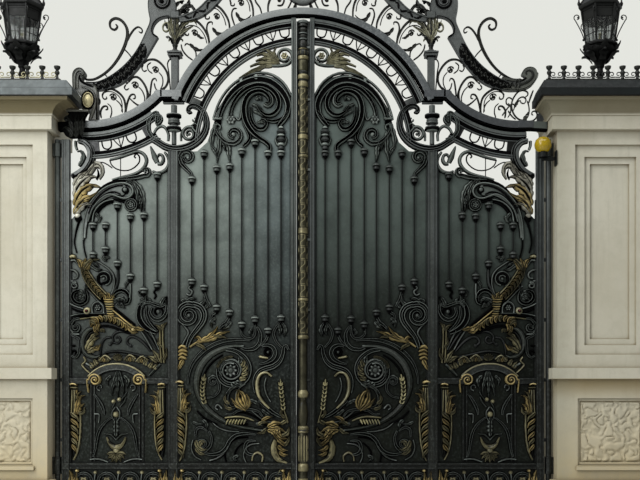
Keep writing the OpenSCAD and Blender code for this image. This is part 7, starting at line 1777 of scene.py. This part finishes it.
def lantern(S, w):
    """Six-sided lantern on a leafy bowl. mats 0 dark iron, 1 dim gold."""
    cx = w / 2
    z0 = CAP_TOP

    def turned(prof, n=36, mat=0, petals=0, depth=0.0, lift=0.0):
        rings = []
        for r, z in prof:
            rings.append([(cx + r * (1 + depth * math.cos(petals * 2 * math.pi * k / n)) * math.cos(2 * math.pi * k / n), r * (1 + depth * math.cos(petals * 2 * math.pi * k / n)) * math.sin(2 * math.pi * k / n),
                           z0 + z + lift * math.cos(petals * 2 * math.pi * k / n)) for k in range(n)])
        S.loft(rings, mat)

    def hexa(prof, mat=0):
        S.loft([[(cx + r * math.cos(math.radians(60 * k)), r * math.sin(math.radians(60 * k)), z0 + z) for k in range(6)] for r, z in prof], mat)
    turned([(.105, -.002), (.108, .010), (.104, .024), (.090, .032), (.068, .044), (.050, .066), (.036, .100), (.030, .150), (.028, .205), (.032, .228), (.044, .240), (.046, .252), (.034, .264), (.028, .286), (.030, .306), (.040, .318), (.042, .328)])
    turned([(.036, .324), (.044, .346), (.066, .382), (.098, .416), (.134, .444), (.158, .468), (.163, .484), (.150, .500), (.150, .512), (.168, .518), (.172, .532), (.165, .545), (.12, .546)], 48, 0, 12, .035)
    # leaves that curl out of the bowl, and the crown of leaves under the glass
    for k in range(6):
        d = math.radians(60 * k + 30)
        for (R0, h0, R1, h1, ww, up) in ((.085, .385, .190, .455, .050, .030), (.140, .480, .208, .556, .042, -.012)):
            rings = []
            for i in range(9):
                t = i / 8
                R = R0 + (R1 - R0) * t
                z = h0 + (h1 - h0) * t + up * math.sin(math.pi * t)
                q = ww * math.sin(math.pi * min(1, .22 + .78 * t)) * (.8 + .2 * math.cos(t * 14)) + .003
                tx, ty = -math.sin(d), math.cos(d)
                px, py = cx + R * math.cos(d), R * math.sin(d)
                rings.append([(px - tx * q, py - ty * q, z0 + z - .012), (px - tx * q * .5, py - ty * q * .5, z0 + z + .004), (px, py, z0 + z - .001), (px + tx * q * .5, py + ty * q * .5, z0 + z + .004), (px + tx * q, py + ty * q, z0 + z - .012), (px, py, z0 + z - .018)])
            S.loft(rings, 0)
    # glazed body: lower ring, leaning posts, upper ring, eave, roof
    hexa([(.150, .528), (.158, .534), (.158, .552), (.148, .562), (.136, .562)])
    for k in range(6):
        d = math.radians(60 * k)
        rings = []
        for t in (0, 1):
            R = .148 + .052 * t
            z = .548 + .372 * t
            px, py = cx + R * math.cos(d), R * math.sin(d)
            tx, ty = -math.sin(d), math.cos(d)
            rings.append([(px - tx * .008 - .010 * math.cos(d), py - ty * .008 - .010 * math.sin(d), z0 + z), (px - tx * .011, py - ty * .011, z0 + z), (px + .006 * math.cos(d), py + .006 * math.sin(d), z0 + z),
                          (px + tx * .011, py + ty * .011, z0 + z), (px + tx * .008 - .010 * math.cos(d), py + ty * .008 - .010 * math.sin(d), z0 + z)])
        S.loft(rings, 0)
        # scrolled bracket outside each post
        pts = []
        for i in range(19):
            t = i / 18
            if t < .55:
                u = t / .55
                pts.append((.165 + .100 * u ** 1.3, .60 + .215 * u))
            else:
                e = math.radians(-30 + 300 * (t - .55) / .45)
                rr = .032 - .012 * (t - .55) / .45
                pts.append((.238 + rr * math.cos(e), .828 + rr * math.sin(e)))
        rings = []
        for i, (R, z) in enumerate(pts):
            a, b = pts[max(i - 1, 0)], pts[min(i + 1, len(pts) - 1)]
            vx, vz = b[0] - a[0], b[1] - a[1]
            M = math.hypot(vx, vz) or 1
            nx, nz = -vz / M, vx / M
            q = .0055
            rings.append([(cx + (R + nx * q * ca) * math.cos(d) - math.sin(d) * q * sa, (R + nx * q * ca) * math.sin(d) + math.cos(d) * q * sa, z0 + z + nz * q * ca) for ca, sa in ((1, 0), (.5, .87), (-.5, .87), (-1, 0), (-.5, -.87), (.5, -.87))])
        S.loft(rings, 0)
        # bracket's foot, a small curl
        ball(S, cx + .170 * math.cos(d), .170 * math.sin(d), z0 + .598, .013, 0, 8)
        ball(S, cx + .226 * math.cos(d), .226 * math.sin(d), z0 + .828, .011, 0, 8)
    # pierced band at the top of the panes and the bars of each pane
    for k in range(6):
        e0, e1 = math.radians(60 * k), math.radians(60 * k + 60)

        def side(f, R, z):
            return (cx + R * ((1 - f) * math.cos(e0) + f * math.cos(e1)), R * ((1 - f) * math.sin(e0) + f * math.sin(e1)), z0 + z)

        def pane(z, o):
            return .138 + .044 * (z - .546) / .352 + o
        for za, zb, o in ((.796, .884, .003), (.788, .798, .006), (.866, .876, .006)):
            S.loft([[side(f, pane(za, o), za), side(f, pane(zb, o), zb), side(f, pane(zb, .0005), zb), side(f, pane(za, .0005), za)] for f in (.03, .97)], 0)
        for f, q in ((.34, .020), (.66, .020)):
            S.loft([[side(f - q, pane(z, .0005), z), side(f - q, pane(z, .006), z), side(f + q, pane(z, .006), z), side(f + q, pane(z, .0005), z)] for z in (.560, .792)], 0)
        S.loft([[side(f, pane(.640, .0005), .636), side(f, pane(.640, .006), .636), side(f, pane(.640, .006), .643), side(f, pane(.640, .0005), .643)] for f in (.05, .95)], 0)
    hexa([(.176, .880), (.190, .886), (.196, .902), (.216, .912), (.224, .926), (.222, .944), (.205, .950), (.150, .952)])
    hexa([(.170, .948), (.210, .952), (.200, .966), (.170, 1.010), (.140, 1.060), (.112, 1.105), (.098, 1.132), (.104, 1.142), (.104, 1.152), (.07, 1.156)])
    for k in range(6):
        d = math.radians(60 * k)
        rings = []
        for R, z in ((.214, .944), (.206, .966), (.176, 1.012), (.145, 1.062), (.117, 1.108), (.104, 1.134)):
            px, py = cx + R * math.cos(d), R * math.sin(d)
            tx, ty = -math.sin(d), math.cos(d)
            rings.append([(px - tx * .007, py - ty * .007, z0 + z - .004), (px, py, z0 + z + .005), (px + tx * .007, py + ty * .007, z0 + z - .004), (px - .008 * math.cos(d), py - .008 * math.sin(d), z0 + z - .006)])
        S.loft(rings, 0)
        # upright leaf on each corner of the eave
        px, py = cx + .218 * math.cos(d), .218 * math.sin(d)
        S.loft([[(px + r * math.cos(2 * math.pi * j / 8), py + r * math.sin(2 * math.pi * j / 8), z0 + z) for j in range(8)] for r, z in ((.008, .944), (.014, .956), (.017, .972), (.010, .990), (.006, 1.000), (.009, 1.008), (.002, 1.020))], 0)
    turned([(.088, 1.148), (.098, 1.156), (.098, 1.178), (.088, 1.190), (.060, 1.200), (.056, 1.212), (.070, 1.232), (.072, 1.246), (.052, 1.262), (.032, 1.282), (.018, 1.300), (.016, 1.314), (.024, 1.326), (.022, 1.340), (.012, 1.356), (.003, 1.372)], 24, 0, 6, .05)
    # lamp holder inside the glass
    turned([(.030, .552), (.034, .560), (.030, .580), (.016, .590), (.014, .640), (.020, .650), (.020, .664), (.006, .668)], 16, 1)
    S.loft([[(cx + r * math.cos(2 * math.pi * k / 14), r * math.sin(2 * math.pi * k / 14), z0 + z) for k in range(14)] for r, z in ((.014, .660), (.024, .690), (.034, .730), (.036, .760), (.028, .790), (.010, .804))], 2)


def beacon(S):
    """Ribbed amber lens with a dark cap ring."""
    a, y, z = 2.367, -.150, 4.008
    n = 60
    rings = []
    for i in range(1, 20):
        t = math.pi * i / 20
        zz = max(-.070, .083 * math.cos(t))
        r = .083 * math.sin(t)
        rib = 1 - .012 * (i % 2)
        rings.append([(a + r * rib * (1 + .006 * math.cos(30 * 2 * math.pi * k / n)) * math.cos(2 * math.pi * k / n), y + r * rib * (1 + .006 * math.cos(30 * 2 * math.pi * k / n)) * math.sin(2 * math.pi * k / n), z + zz) for k in range(n)])
    S.loft(rings, 0)


# ------------------------------------------------------------------ the centre bar, turned and gilded
def centre(S):
    """mats 0 iron, 1 bronze, 2 gold, 3 dark."""
    y = -.015

    def t(prof, mat, n=28):
        rings = []
        for r, z in prof:
            rings.append([(r * math.cos(2 * math.pi * k / n), y + r * math.sin(2 * math.pi * k / n), z) for k in range(n)])
        S.loft(rings, mat)
    # ringed head: a cap, beads and spindles
    t([(.030, 5.236), (.036, 5.242), (.036, 5.252), (.048, 5.256), (.051, 5.266), (.050, 5.280), (.030, 5.285)], 0)
    t([(.030, 5.218), (.046, 5.222), (.048, 5.230), (.044, 5.238), (.030, 5.240)], 3)
    t([(.026, 5.160), (.034, 5.172), (.042, 5.190), (.036, 5.208), (.028, 5.220)], 3)
    t([(.030, 5.146), (.044, 5.150), (.045, 5.158), (.030, 5.164)], 0)
    t([(.026, 5.104), (.036, 5.114), (.040, 5.126), (.032, 5.146)], 3)
    t([(.030, 5.090), (.042, 5.094), (.043, 5.102), (.030, 5.107)], 0)
    t([(.028, 5.004), (.036, 5.012), (.043, 5.034), (.041, 5.060), (.030, 5.092)], 3)
    t([(.034, 4.990), (.046, 4.994), (.047, 5.001), (.034, 5.006)], 2)
    t([(.040, 4.930), (.050, 4.940), (.053, 4.958), (.049, 4.976), (.038, 4.992)], 3)
    for k in range(8):
        d = 2 * math.pi * (k + .5) / 8
        x, yy = .051 * math.cos(d), y + .051 * math.sin(d)
        S.loft([[(x + r * math.cos(2 * math.pi * q / 8), yy + r * math.sin(2 * math.pi * q / 8), z) for q in range(8)] for r, z in ((.001, 4.932), (.006, 4.940), (.0075, 4.956), (.005, 4.974), (.001, 4.984))], 1)
    # knop, its gilded rings and beads
    t([(.044, 4.888), (.055, 4.892), (.057, 4.900), (.057, 4.916), (.055, 4.924), (.042, 4.930)], 2)
    t([(.044, 4.775), (.052, 4.784), (.054, 4.810), (.054, 4.850), (.050, 4.876), (.046, 4.890)], 1)
    t([(.040, 4.620), (.048, 4.622), (.052, 4.634), (.052, 4.652), (.046, 4.660), (.044, 4.676)], 2)
    t([(.044, 4.674), (.046, 4.686), (.050, 4.694)], 3)
    t([(.046, 4.692), (.055, 4.698), (.057, 4.712), (.057, 4.726), (.053, 4.738), (.046, 4.744)], 2)
    t([(.046, 4.742), (.048, 4.756), (.052, 4.766), (.046, 4.778)], 3)
    # shaft with a raised key of gold strips
    t([(.044, 2.128), (.0445, 2.14), (.0445, 4.62), (.044, 4.63)], 1, 32)
    for z in (4.130, 4.112, 3.930, 3.200, 3.185, 3.170, 2.500):
        t([(.044, z - .014), (.051, z - .010), (.053, z), (.051, z + .010), (.044, z + .014)], 2)
    for z0, z1 in ((2.16, 2.48), (2.52, 3.15), (3.22, 3.91), (3.95, 4.09), (4.16, 4.60)):
        n = max(1, int(round((z1 - z0) / .125)))
        p = (z1 - z0) / n
        for i in range(n):
            zc = z0 + p * (i + .5)
            for ang in (-90, 0, 180, 90):
                wrap(S, y, zc, p * .46, ang, 2)
    # plain bronze below
    t([(.040, 1.585), (.0405, 1.60), (.0405, 2.11), (.040, 2.13)], 1, 32)
    t([(.040, 2.104), (.053, 2.110), (.056, 2.124), (.053, 2.138), (.044, 2.144)], 2)
    # knops and balusters
    t([(.036, 1.520), (.048, 1.530), (.054, 1.545), (.056, 1.560), (.052, 1.576), (.042, 1.590), (.040, 1.60)], 2)
    t([(.032, 1.236), (.036, 1.250), (.045, 1.290), (.049, 1.340), (.049, 1.390), (.042, 1.440), (.034, 1.480), (.033, 1.508), (.040, 1.522)], 1)
    t([(.040, 1.168), (.050, 1.172), (.055, 1.182), (.050, 1.192), (.050, 1.200), (.056, 1.210), (.057, 1.222), (.050, 1.234), (.036, 1.242)], 2)
    t([(.034, .862), (.040, .870), (.047, .910), (.047, 1.130), (.043, 1.160), (.040, 1.172)], 1)
    for i in range(10):
        d = 2 * math.pi * i / 10
        x, yy = .046 * math.cos(d), y + .046 * math.sin(d)
        S.loft([[(x + r * math.cos(2 * math.pi * k / 8), yy + r * math.sin(2 * math.pi * k / 8), z) for k in range(8)] for r, z in ((.002, .885), (.008, .910), (.0085, 1.02), (.008, 1.12), (.002, 1.145))], 2)
    t([(.040, .784), (.052, .790), (.056, .800), (.056, .838), (.052, .852), (.044, .862), (.036, .868)], 2)
    t([(.040, .140), (.043, .150), (.043, .770), (.040, .790)], 1)
    for z in (.30, .52, .70):
        t([(.042, z - .018), (.050, z - .012), (.052, z), (.050, z + .012), (.042, z + .018)], 2)
    t([(.034, .070), (.054, .074), (.057, .084), (.057, .118), (.052, .130), (.044, .142)], 3)
    # cover strip behind it, from the right stile over the meeting line, and clips
    brick(S, -.0642, .0702, -.010, .024, .075, 5.284, 0, .001)
    brick(S, -.0642, -.0585, -.050, .001, .075, 5.270, 0, .001)
    for z in (.30, 1.0, 1.7, 2.4, 3.1, 3.8, 4.5, 5.02):
        brick(S, .028, .112, -.0245, -.006, z - .012, z + .012, 0, .002)


def wrap(S, yc, zc, h, ang, mat):
    """One unit of the key pattern, a squared S of thin strip laid on the shaft."""
    R = .0445
    w, e = .0036, .0042
    pts = [(-.62, .95), (.62, .95), (.62, .32), (-.62, -.32), (-.62, -.95), (.62, -.95)]
    path = []
    for i in range(len(pts) - 1):
        a, b = pts[i], pts[i + 1]
        for k in range(3):
            path.append((a[0] + (b[0] - a[0]) * k / 3, a[1] + (b[1] - a[1]) * k / 3))
    path.append(pts[-1])
    rings = []
    for i, (u, v) in enumerate(path):
        a, b = path[max(i - 1, 0)], path[min(i + 1, len(path) - 1)]
        du, dv = (b[0] - a[0]) * R * .75, (b[1] - a[1]) * h
        M = math.hypot(du, dv) or 1
        nu, nv = -dv / M, du / M
        ring = []
        for o, r in ((-1, R - .002), (-1, R + e * .5), (-.5, R + e), (.5, R + e), (1, R + e * .5), (1, R - .002)):
            th = math.radians(ang) + (u * .75 + nu * w * o / R)
            ring.append((r * math.cos(th), yc + r * math.sin(th), zc + v * h + nv * w * o))
        rings.append(ring)
    S.loft(rings, mat)


# ------------------------------------------------------------------ mouldings planted on the plain CAD frame
def frame_mouldings(S):
    """Fillets, beads and hollows on the front of the stiles and rails. mats 0 frame, 1 dark."""
    def strip(a0, a1, z0, z1, h, y=-.025, mat=0, c=.003):
        brick(S, a0, a1, y - h, y + .001, z0, z1, mat, c)
    # heel stile
    for a0, a1, h in ((2.392, 2.4045, .010), (2.365, 2.379, .006), (2.3305, 2.345, .009)):
        strip(a0, a1, .075, 4.095, h)
    # mid stile
    for a0, a1, h in ((1.3275, 1.3395, .010), (1.298, 1.312, .005), (1.2505, 1.2640, .010)):
        strip(a0, a1, .19, 3.985, h)
    # meeting stile
    for a0, a1, h in ((.1005, .1145, .009), (.0705, .0850, .006)):
        strip(a0, a1, .075, 5.285, h)
    # thin inner bars beside the stiles
    for a0, a1 in ((.1152, .1250),):
        brick(S, a0, a1, -.012, .012, .19, 4.52, 0, .002)
    for a0, a1 in ((1.2380, 1.2502), (1.3398, 1.352)):
        brick(S, a0, a1, -.010, .012, .19, 3.98, 0, .002)
    brick(S, 2.3180, 2.3302, -.010, .012, .19, 3.50, 0, .002)
    # rails
    for b0, b1 in ((.116, 1.249), (1.341, 2.329)):
        for z0, z1, h in ((.812, .826, .009), (.852, .868, .010), (.835, .843, .004), (.502, .514, .008), (.546, .558, .008), (.165, .178, .009), (.075, .090, .009)):
            strip(b0, b1, z0, z1, h)
    for b0, b1 in ((1.341, 1.585), (2.145, 2.329)):
        for z0, z1, h in ((1.662, 1.673, .008), (1.700, 1.718, .010)):
            strip(b0, b1, z0, z1, h)
    # bands round the stiles, level with the rails
    for a0, a1 in ((2.332, 2.403), (1.252, 1.338), (.072, .113)):
        for z in (.53, .84):
            strip(a0, a1, z - .034, z + .034, .013, c=.004)


# ------------------------------------------------------------------ put it together
def coat(mat, *names):
    for n in names:
        ob = N[n]
        ob.data.materials.clear()
        ob.data.materials.append(mat)
        ob.data.polygons.foreach_set("material_index", [0] * len(ob.data.polygons))


def soften(width, *names, seg=2, angle=35):
    for n in names:
        b = N[n].modifiers.new("Edges", "BEVEL")
        b.width = width
        b.segments = seg
        b.limit_method = "ANGLE"
        b.angle_limit = math.radians(angle)


for name, k in SIDES:
    leaf = name + "_leaf"
    M = dict(MAT)
    # the right leaf takes darker copies of its materials: painted shade
    if name == "right":
        M["sheet"], M["work"] = MAT["sheet_right"], MAT["work_right"]
        M["gold"], M["gold_dim"] = MAT["gold_right"], MAT["gold_dim_right"]
        M["cream"] = MAT["cream_right"]
        M["over"], M["frame"], M["rings"] = MAT["over_right"], MAT["frame_right"], MAT["rings_right"]
    S = Shape()
    S.black = 4
    leaf_head(S)
    ob = build(name + "_head_rings", S, [M["rings"], M["work"], M["cream"], M["gold"], M["black"]], leaf, k)
    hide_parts(name + "_side_head", name + "_arch_head")
    S = Shape()
    for x, y0, y1 in BARS:
        bar(S, x, y0, y1)
        cup(S, x, y0, True, mat=2, body=3)
        cup(S, x, y1 + 1.0, True, mat=2, body=3)
    # the right leaf's cups take darker materials: painted shade
    ob = build(name + "_round_bars", S, [M["bars"], M["black"], M["work"] if name == "left" else M["cup"], M["cup"] if name == "left" else M["shade"]], leaf, k)
    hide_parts(name + "_bars")
    for fn, part in ((centre_head, "centre_whirl"), (side_lower, "side_scrolls"), (side_panel, "side_panel_ornament"), (centre_lower, "centre_scrolls"), (frieze, "ring_frieze")):
        S = Shape()
        S.black = 4
        fn(S)
        ob = build(name + "_" + part, S, [M["frame"], M["work"], M["gold_dim"], M["gold"], M["black"], M["ruby"], M["shade"], M["bright"], M["fan"]], leaf, k)
        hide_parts(name + "_scrolls")
    S = Shape()
    frame_mouldings(S)
    build(name + "_frame_mouldings", S, [M["frame"], M["dark"]], leaf, k)
    coat(M["frame"], name + "_heel_stile", name + "_bottom_rail", name + "_cross_rails")
    coat(M["mid"], name + "_mid_stile", name + "_meeting_stile")
    coat(M["sheet"], name + "_sheet")
    soften(.003, name + "_heel_stile", name + "_meeting_stile", name + "_bottom_rail", name + "_cross_rails")

    # fixed ironwork
    S = Shape()
    fixed_bands(S)
    ob = build(name + "_shoulder_moulding", S, [M["over"], M["black"], M["cup"] if name == "right" else M["black"]], "piers", k)
    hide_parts(name + "_shoulder_band")
    S = Shape()
    (console_left if name == "left" else console_right)(S)
    ob = build(name + "_scroll_console", S, [M["console"], M["dark"], M["gold_boss"], M["black"]], "piers", k)
    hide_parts(name + "_console")
    S = Shape()
    raking_plate(S)
    ob = build(name + "_raking_plate", S, [M["plate"], M["dark"], M["olive"], M["black"]], "piers", k)
    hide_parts(name + "_raking_band")
    S = Shape()
    infill(S)
    ob = build(name + "_overthrow_scrolls", S, [M["wire"], M["dark"], M["gold"]], "piers", k)
    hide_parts(name + "_infill_scrolls")
    S = Shape()
    post(S)
    ob = build(name + "_leafy_post", S, [M["plate"], M["dark"], M["gold"], M["black"], M["olive"]], "piers", k)
    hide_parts(name + "_overthrow_post")
    S = Shape()
    upper(S)
    ob = build(name + "_upper_plate", S, [M["plate"], M["black"]], "piers", k)
    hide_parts(name + "_upper_band")
    coat(M["frame"], name + "_collars")
    soften(.003, name + "_collars")

    # piers
    w = PW[name]
    org = (GX + k * HALF, 0.0)
    coat(M["stone"], name + "_pedestal", name + "_shaft", name + "_cornice")
    coat(M["lead_" + name], name + "_cap")
    soften(.006, name + "_pedestal", name + "_shaft")
    soften(.004, name + "_cornice", name + "_cap")
    S = Shape()
    for face in ("front", "back", "outer"):
        vermicule(S, w, k, face)
    build(name + "_carved_panels", S, [M["stone"]], "piers", k, org, angle=60)
    S = Shape()
    cresting(S, w, name == "left")
    ob = build(name + "_cap_cresting", S, [M["dark"], M["gold_dim"]], "piers", k, org)
    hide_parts(name + "_cresting")
    S = Shape()
    lantern(S, w)
    ob = build(name + "_leafy_lantern", S, [M["lamp"], M["gold_dim"], M["glass"]], "piers", k, org)
    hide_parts(name + "_lantern")
    coat(M["glass"], name + "_lantern_glass")

S = Shape()
arch_band(S)
ob = build("arch_moulding", S, [MAT["over"], MAT["black"]], "piers", 1)
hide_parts("arch_band")
S = Shape()
shield(S)
ob = build("blank_crest", S, [MAT["plate"], MAT["dark"]], "piers", 1)
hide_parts("crest_shield")
S = Shape()
beacon(S)
ob = build("amber_lens", S, [MAT["amber"]], "piers", 1)
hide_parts("beacon_lens")
coat(MAT["bars"], "beacon_base")
S = Shape()
centre(S)
ob = build("gilded_centre_bar", S, [MAT["frame"], MAT["bronze"], MAT["bar_gold"], MAT["dark"]], "right_leaf", 1)
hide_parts("centre_bar")

# ------------------------------------------------------------------ floor, light, camera
me = bpy.data.meshes.new("floor")
me.from_pydata([(-60, -40, 0), (60, -40, 0), (60, 60, 0), (-60, 60, 0)], [], [(0, 1, 2, 3)])
fl = bpy.data.objects.new("floor", me)
bpy.context.scene.collection.objects.link(fl)
m, nt, bs = nodes_of("pale_floor")
nt.links.new(mixc(nt, remap(nt, tex(nt, .4, 3), .3, .7), (0.70, 0.70, 0.68), (0.74, 0.74, 0.72)), bs.inputs["Base Color"])
bs.inputs["Roughness"].default_value = 0.9
me.materials.append(m)

world = bpy.data.worlds.new("studio")
bpy.context.scene.world = world
world.use_nodes = True
bg = world.node_tree.nodes["Background"]
bg.inputs["Color"].default_value = (0.90, 0.92, 0.93, 1)
bg.inputs["Strength"].default_value = 0.26
# the studio's pale backdrop is what the camera sees; it lights the object less than it shows
wt = world.node_tree
lp = wt.nodes.new("ShaderNodeLightPath")
bg2 = wt.nodes.new("ShaderNodeBackground")
bg2.inputs["Color"].default_value = (0.78, 0.79, 0.74, 1)
bg2.inputs["Strength"].default_value = 1.0
mx = wt.nodes.new("ShaderNodeMixShader")
wt.links.new(lp.outputs["Is Camera Ray"], mx.inputs[0])
wt.links.new(bg.outputs[0], mx.inputs[1])
wt.links.new(bg2.outputs[0], mx.inputs[2])
wt.links.new(mx.outputs[0], wt.nodes["World Output"].inputs["Surface"])
bpy.context.scene.view_settings.view_transform = "Standard"


def area(name, loc, target, size, power, colour=(1, 1, 1)):
    li = bpy.data.lights.new(name, "AREA")
    li.shape = "RECTANGLE"
    li.size, li.size_y = size
    li.energy = power
    li.color = colour
    ob = bpy.data.objects.new(name, li)
    ob.location = loc
    ob.rotation_euler = (Vector(target) - Vector(loc)).to_track_quat("-Z", "Y").to_euler()
    bpy.context.scene.collection.objects.link(ob)
    return ob


area("key_light", (-7.2, -7.4, 10.5), (0, 0, 2.6), (7, 5), 560, (1.0, 0.985, 0.955))
area("left_panel", (-6.2, -8.4, 5.6), (-1.0, 0, 3.4), (4.5, 4.5), 520, (0.96, 0.99, 1.0))
area("top_light", (-0.5, -4.2, 12.6), (0, -0.4, 2.0), (14, 6), 950, (0.97, 0.99, 1.0))
area("sky_light", (0, 2.5, 12.5), (0, 0.4, 3), (14, 8), 300, (0.95, 0.98, 1.0))

cd = bpy.data.cameras.new("camera")
cam = bpy.data.objects.new("camera", cd)
bpy.context.scene.collection.objects.link(cam)
bpy.context.scene.camera = cam
cam.location = (0.25, -9.2, 1.55)
cam.rotation_euler = (math.radians(90), 0, 0)
cd.lens, cd.sensor_width = 50.6, 36
cd.shift_x, cd.shift_y = -0.036, 0.242
cd.clip_end = 200
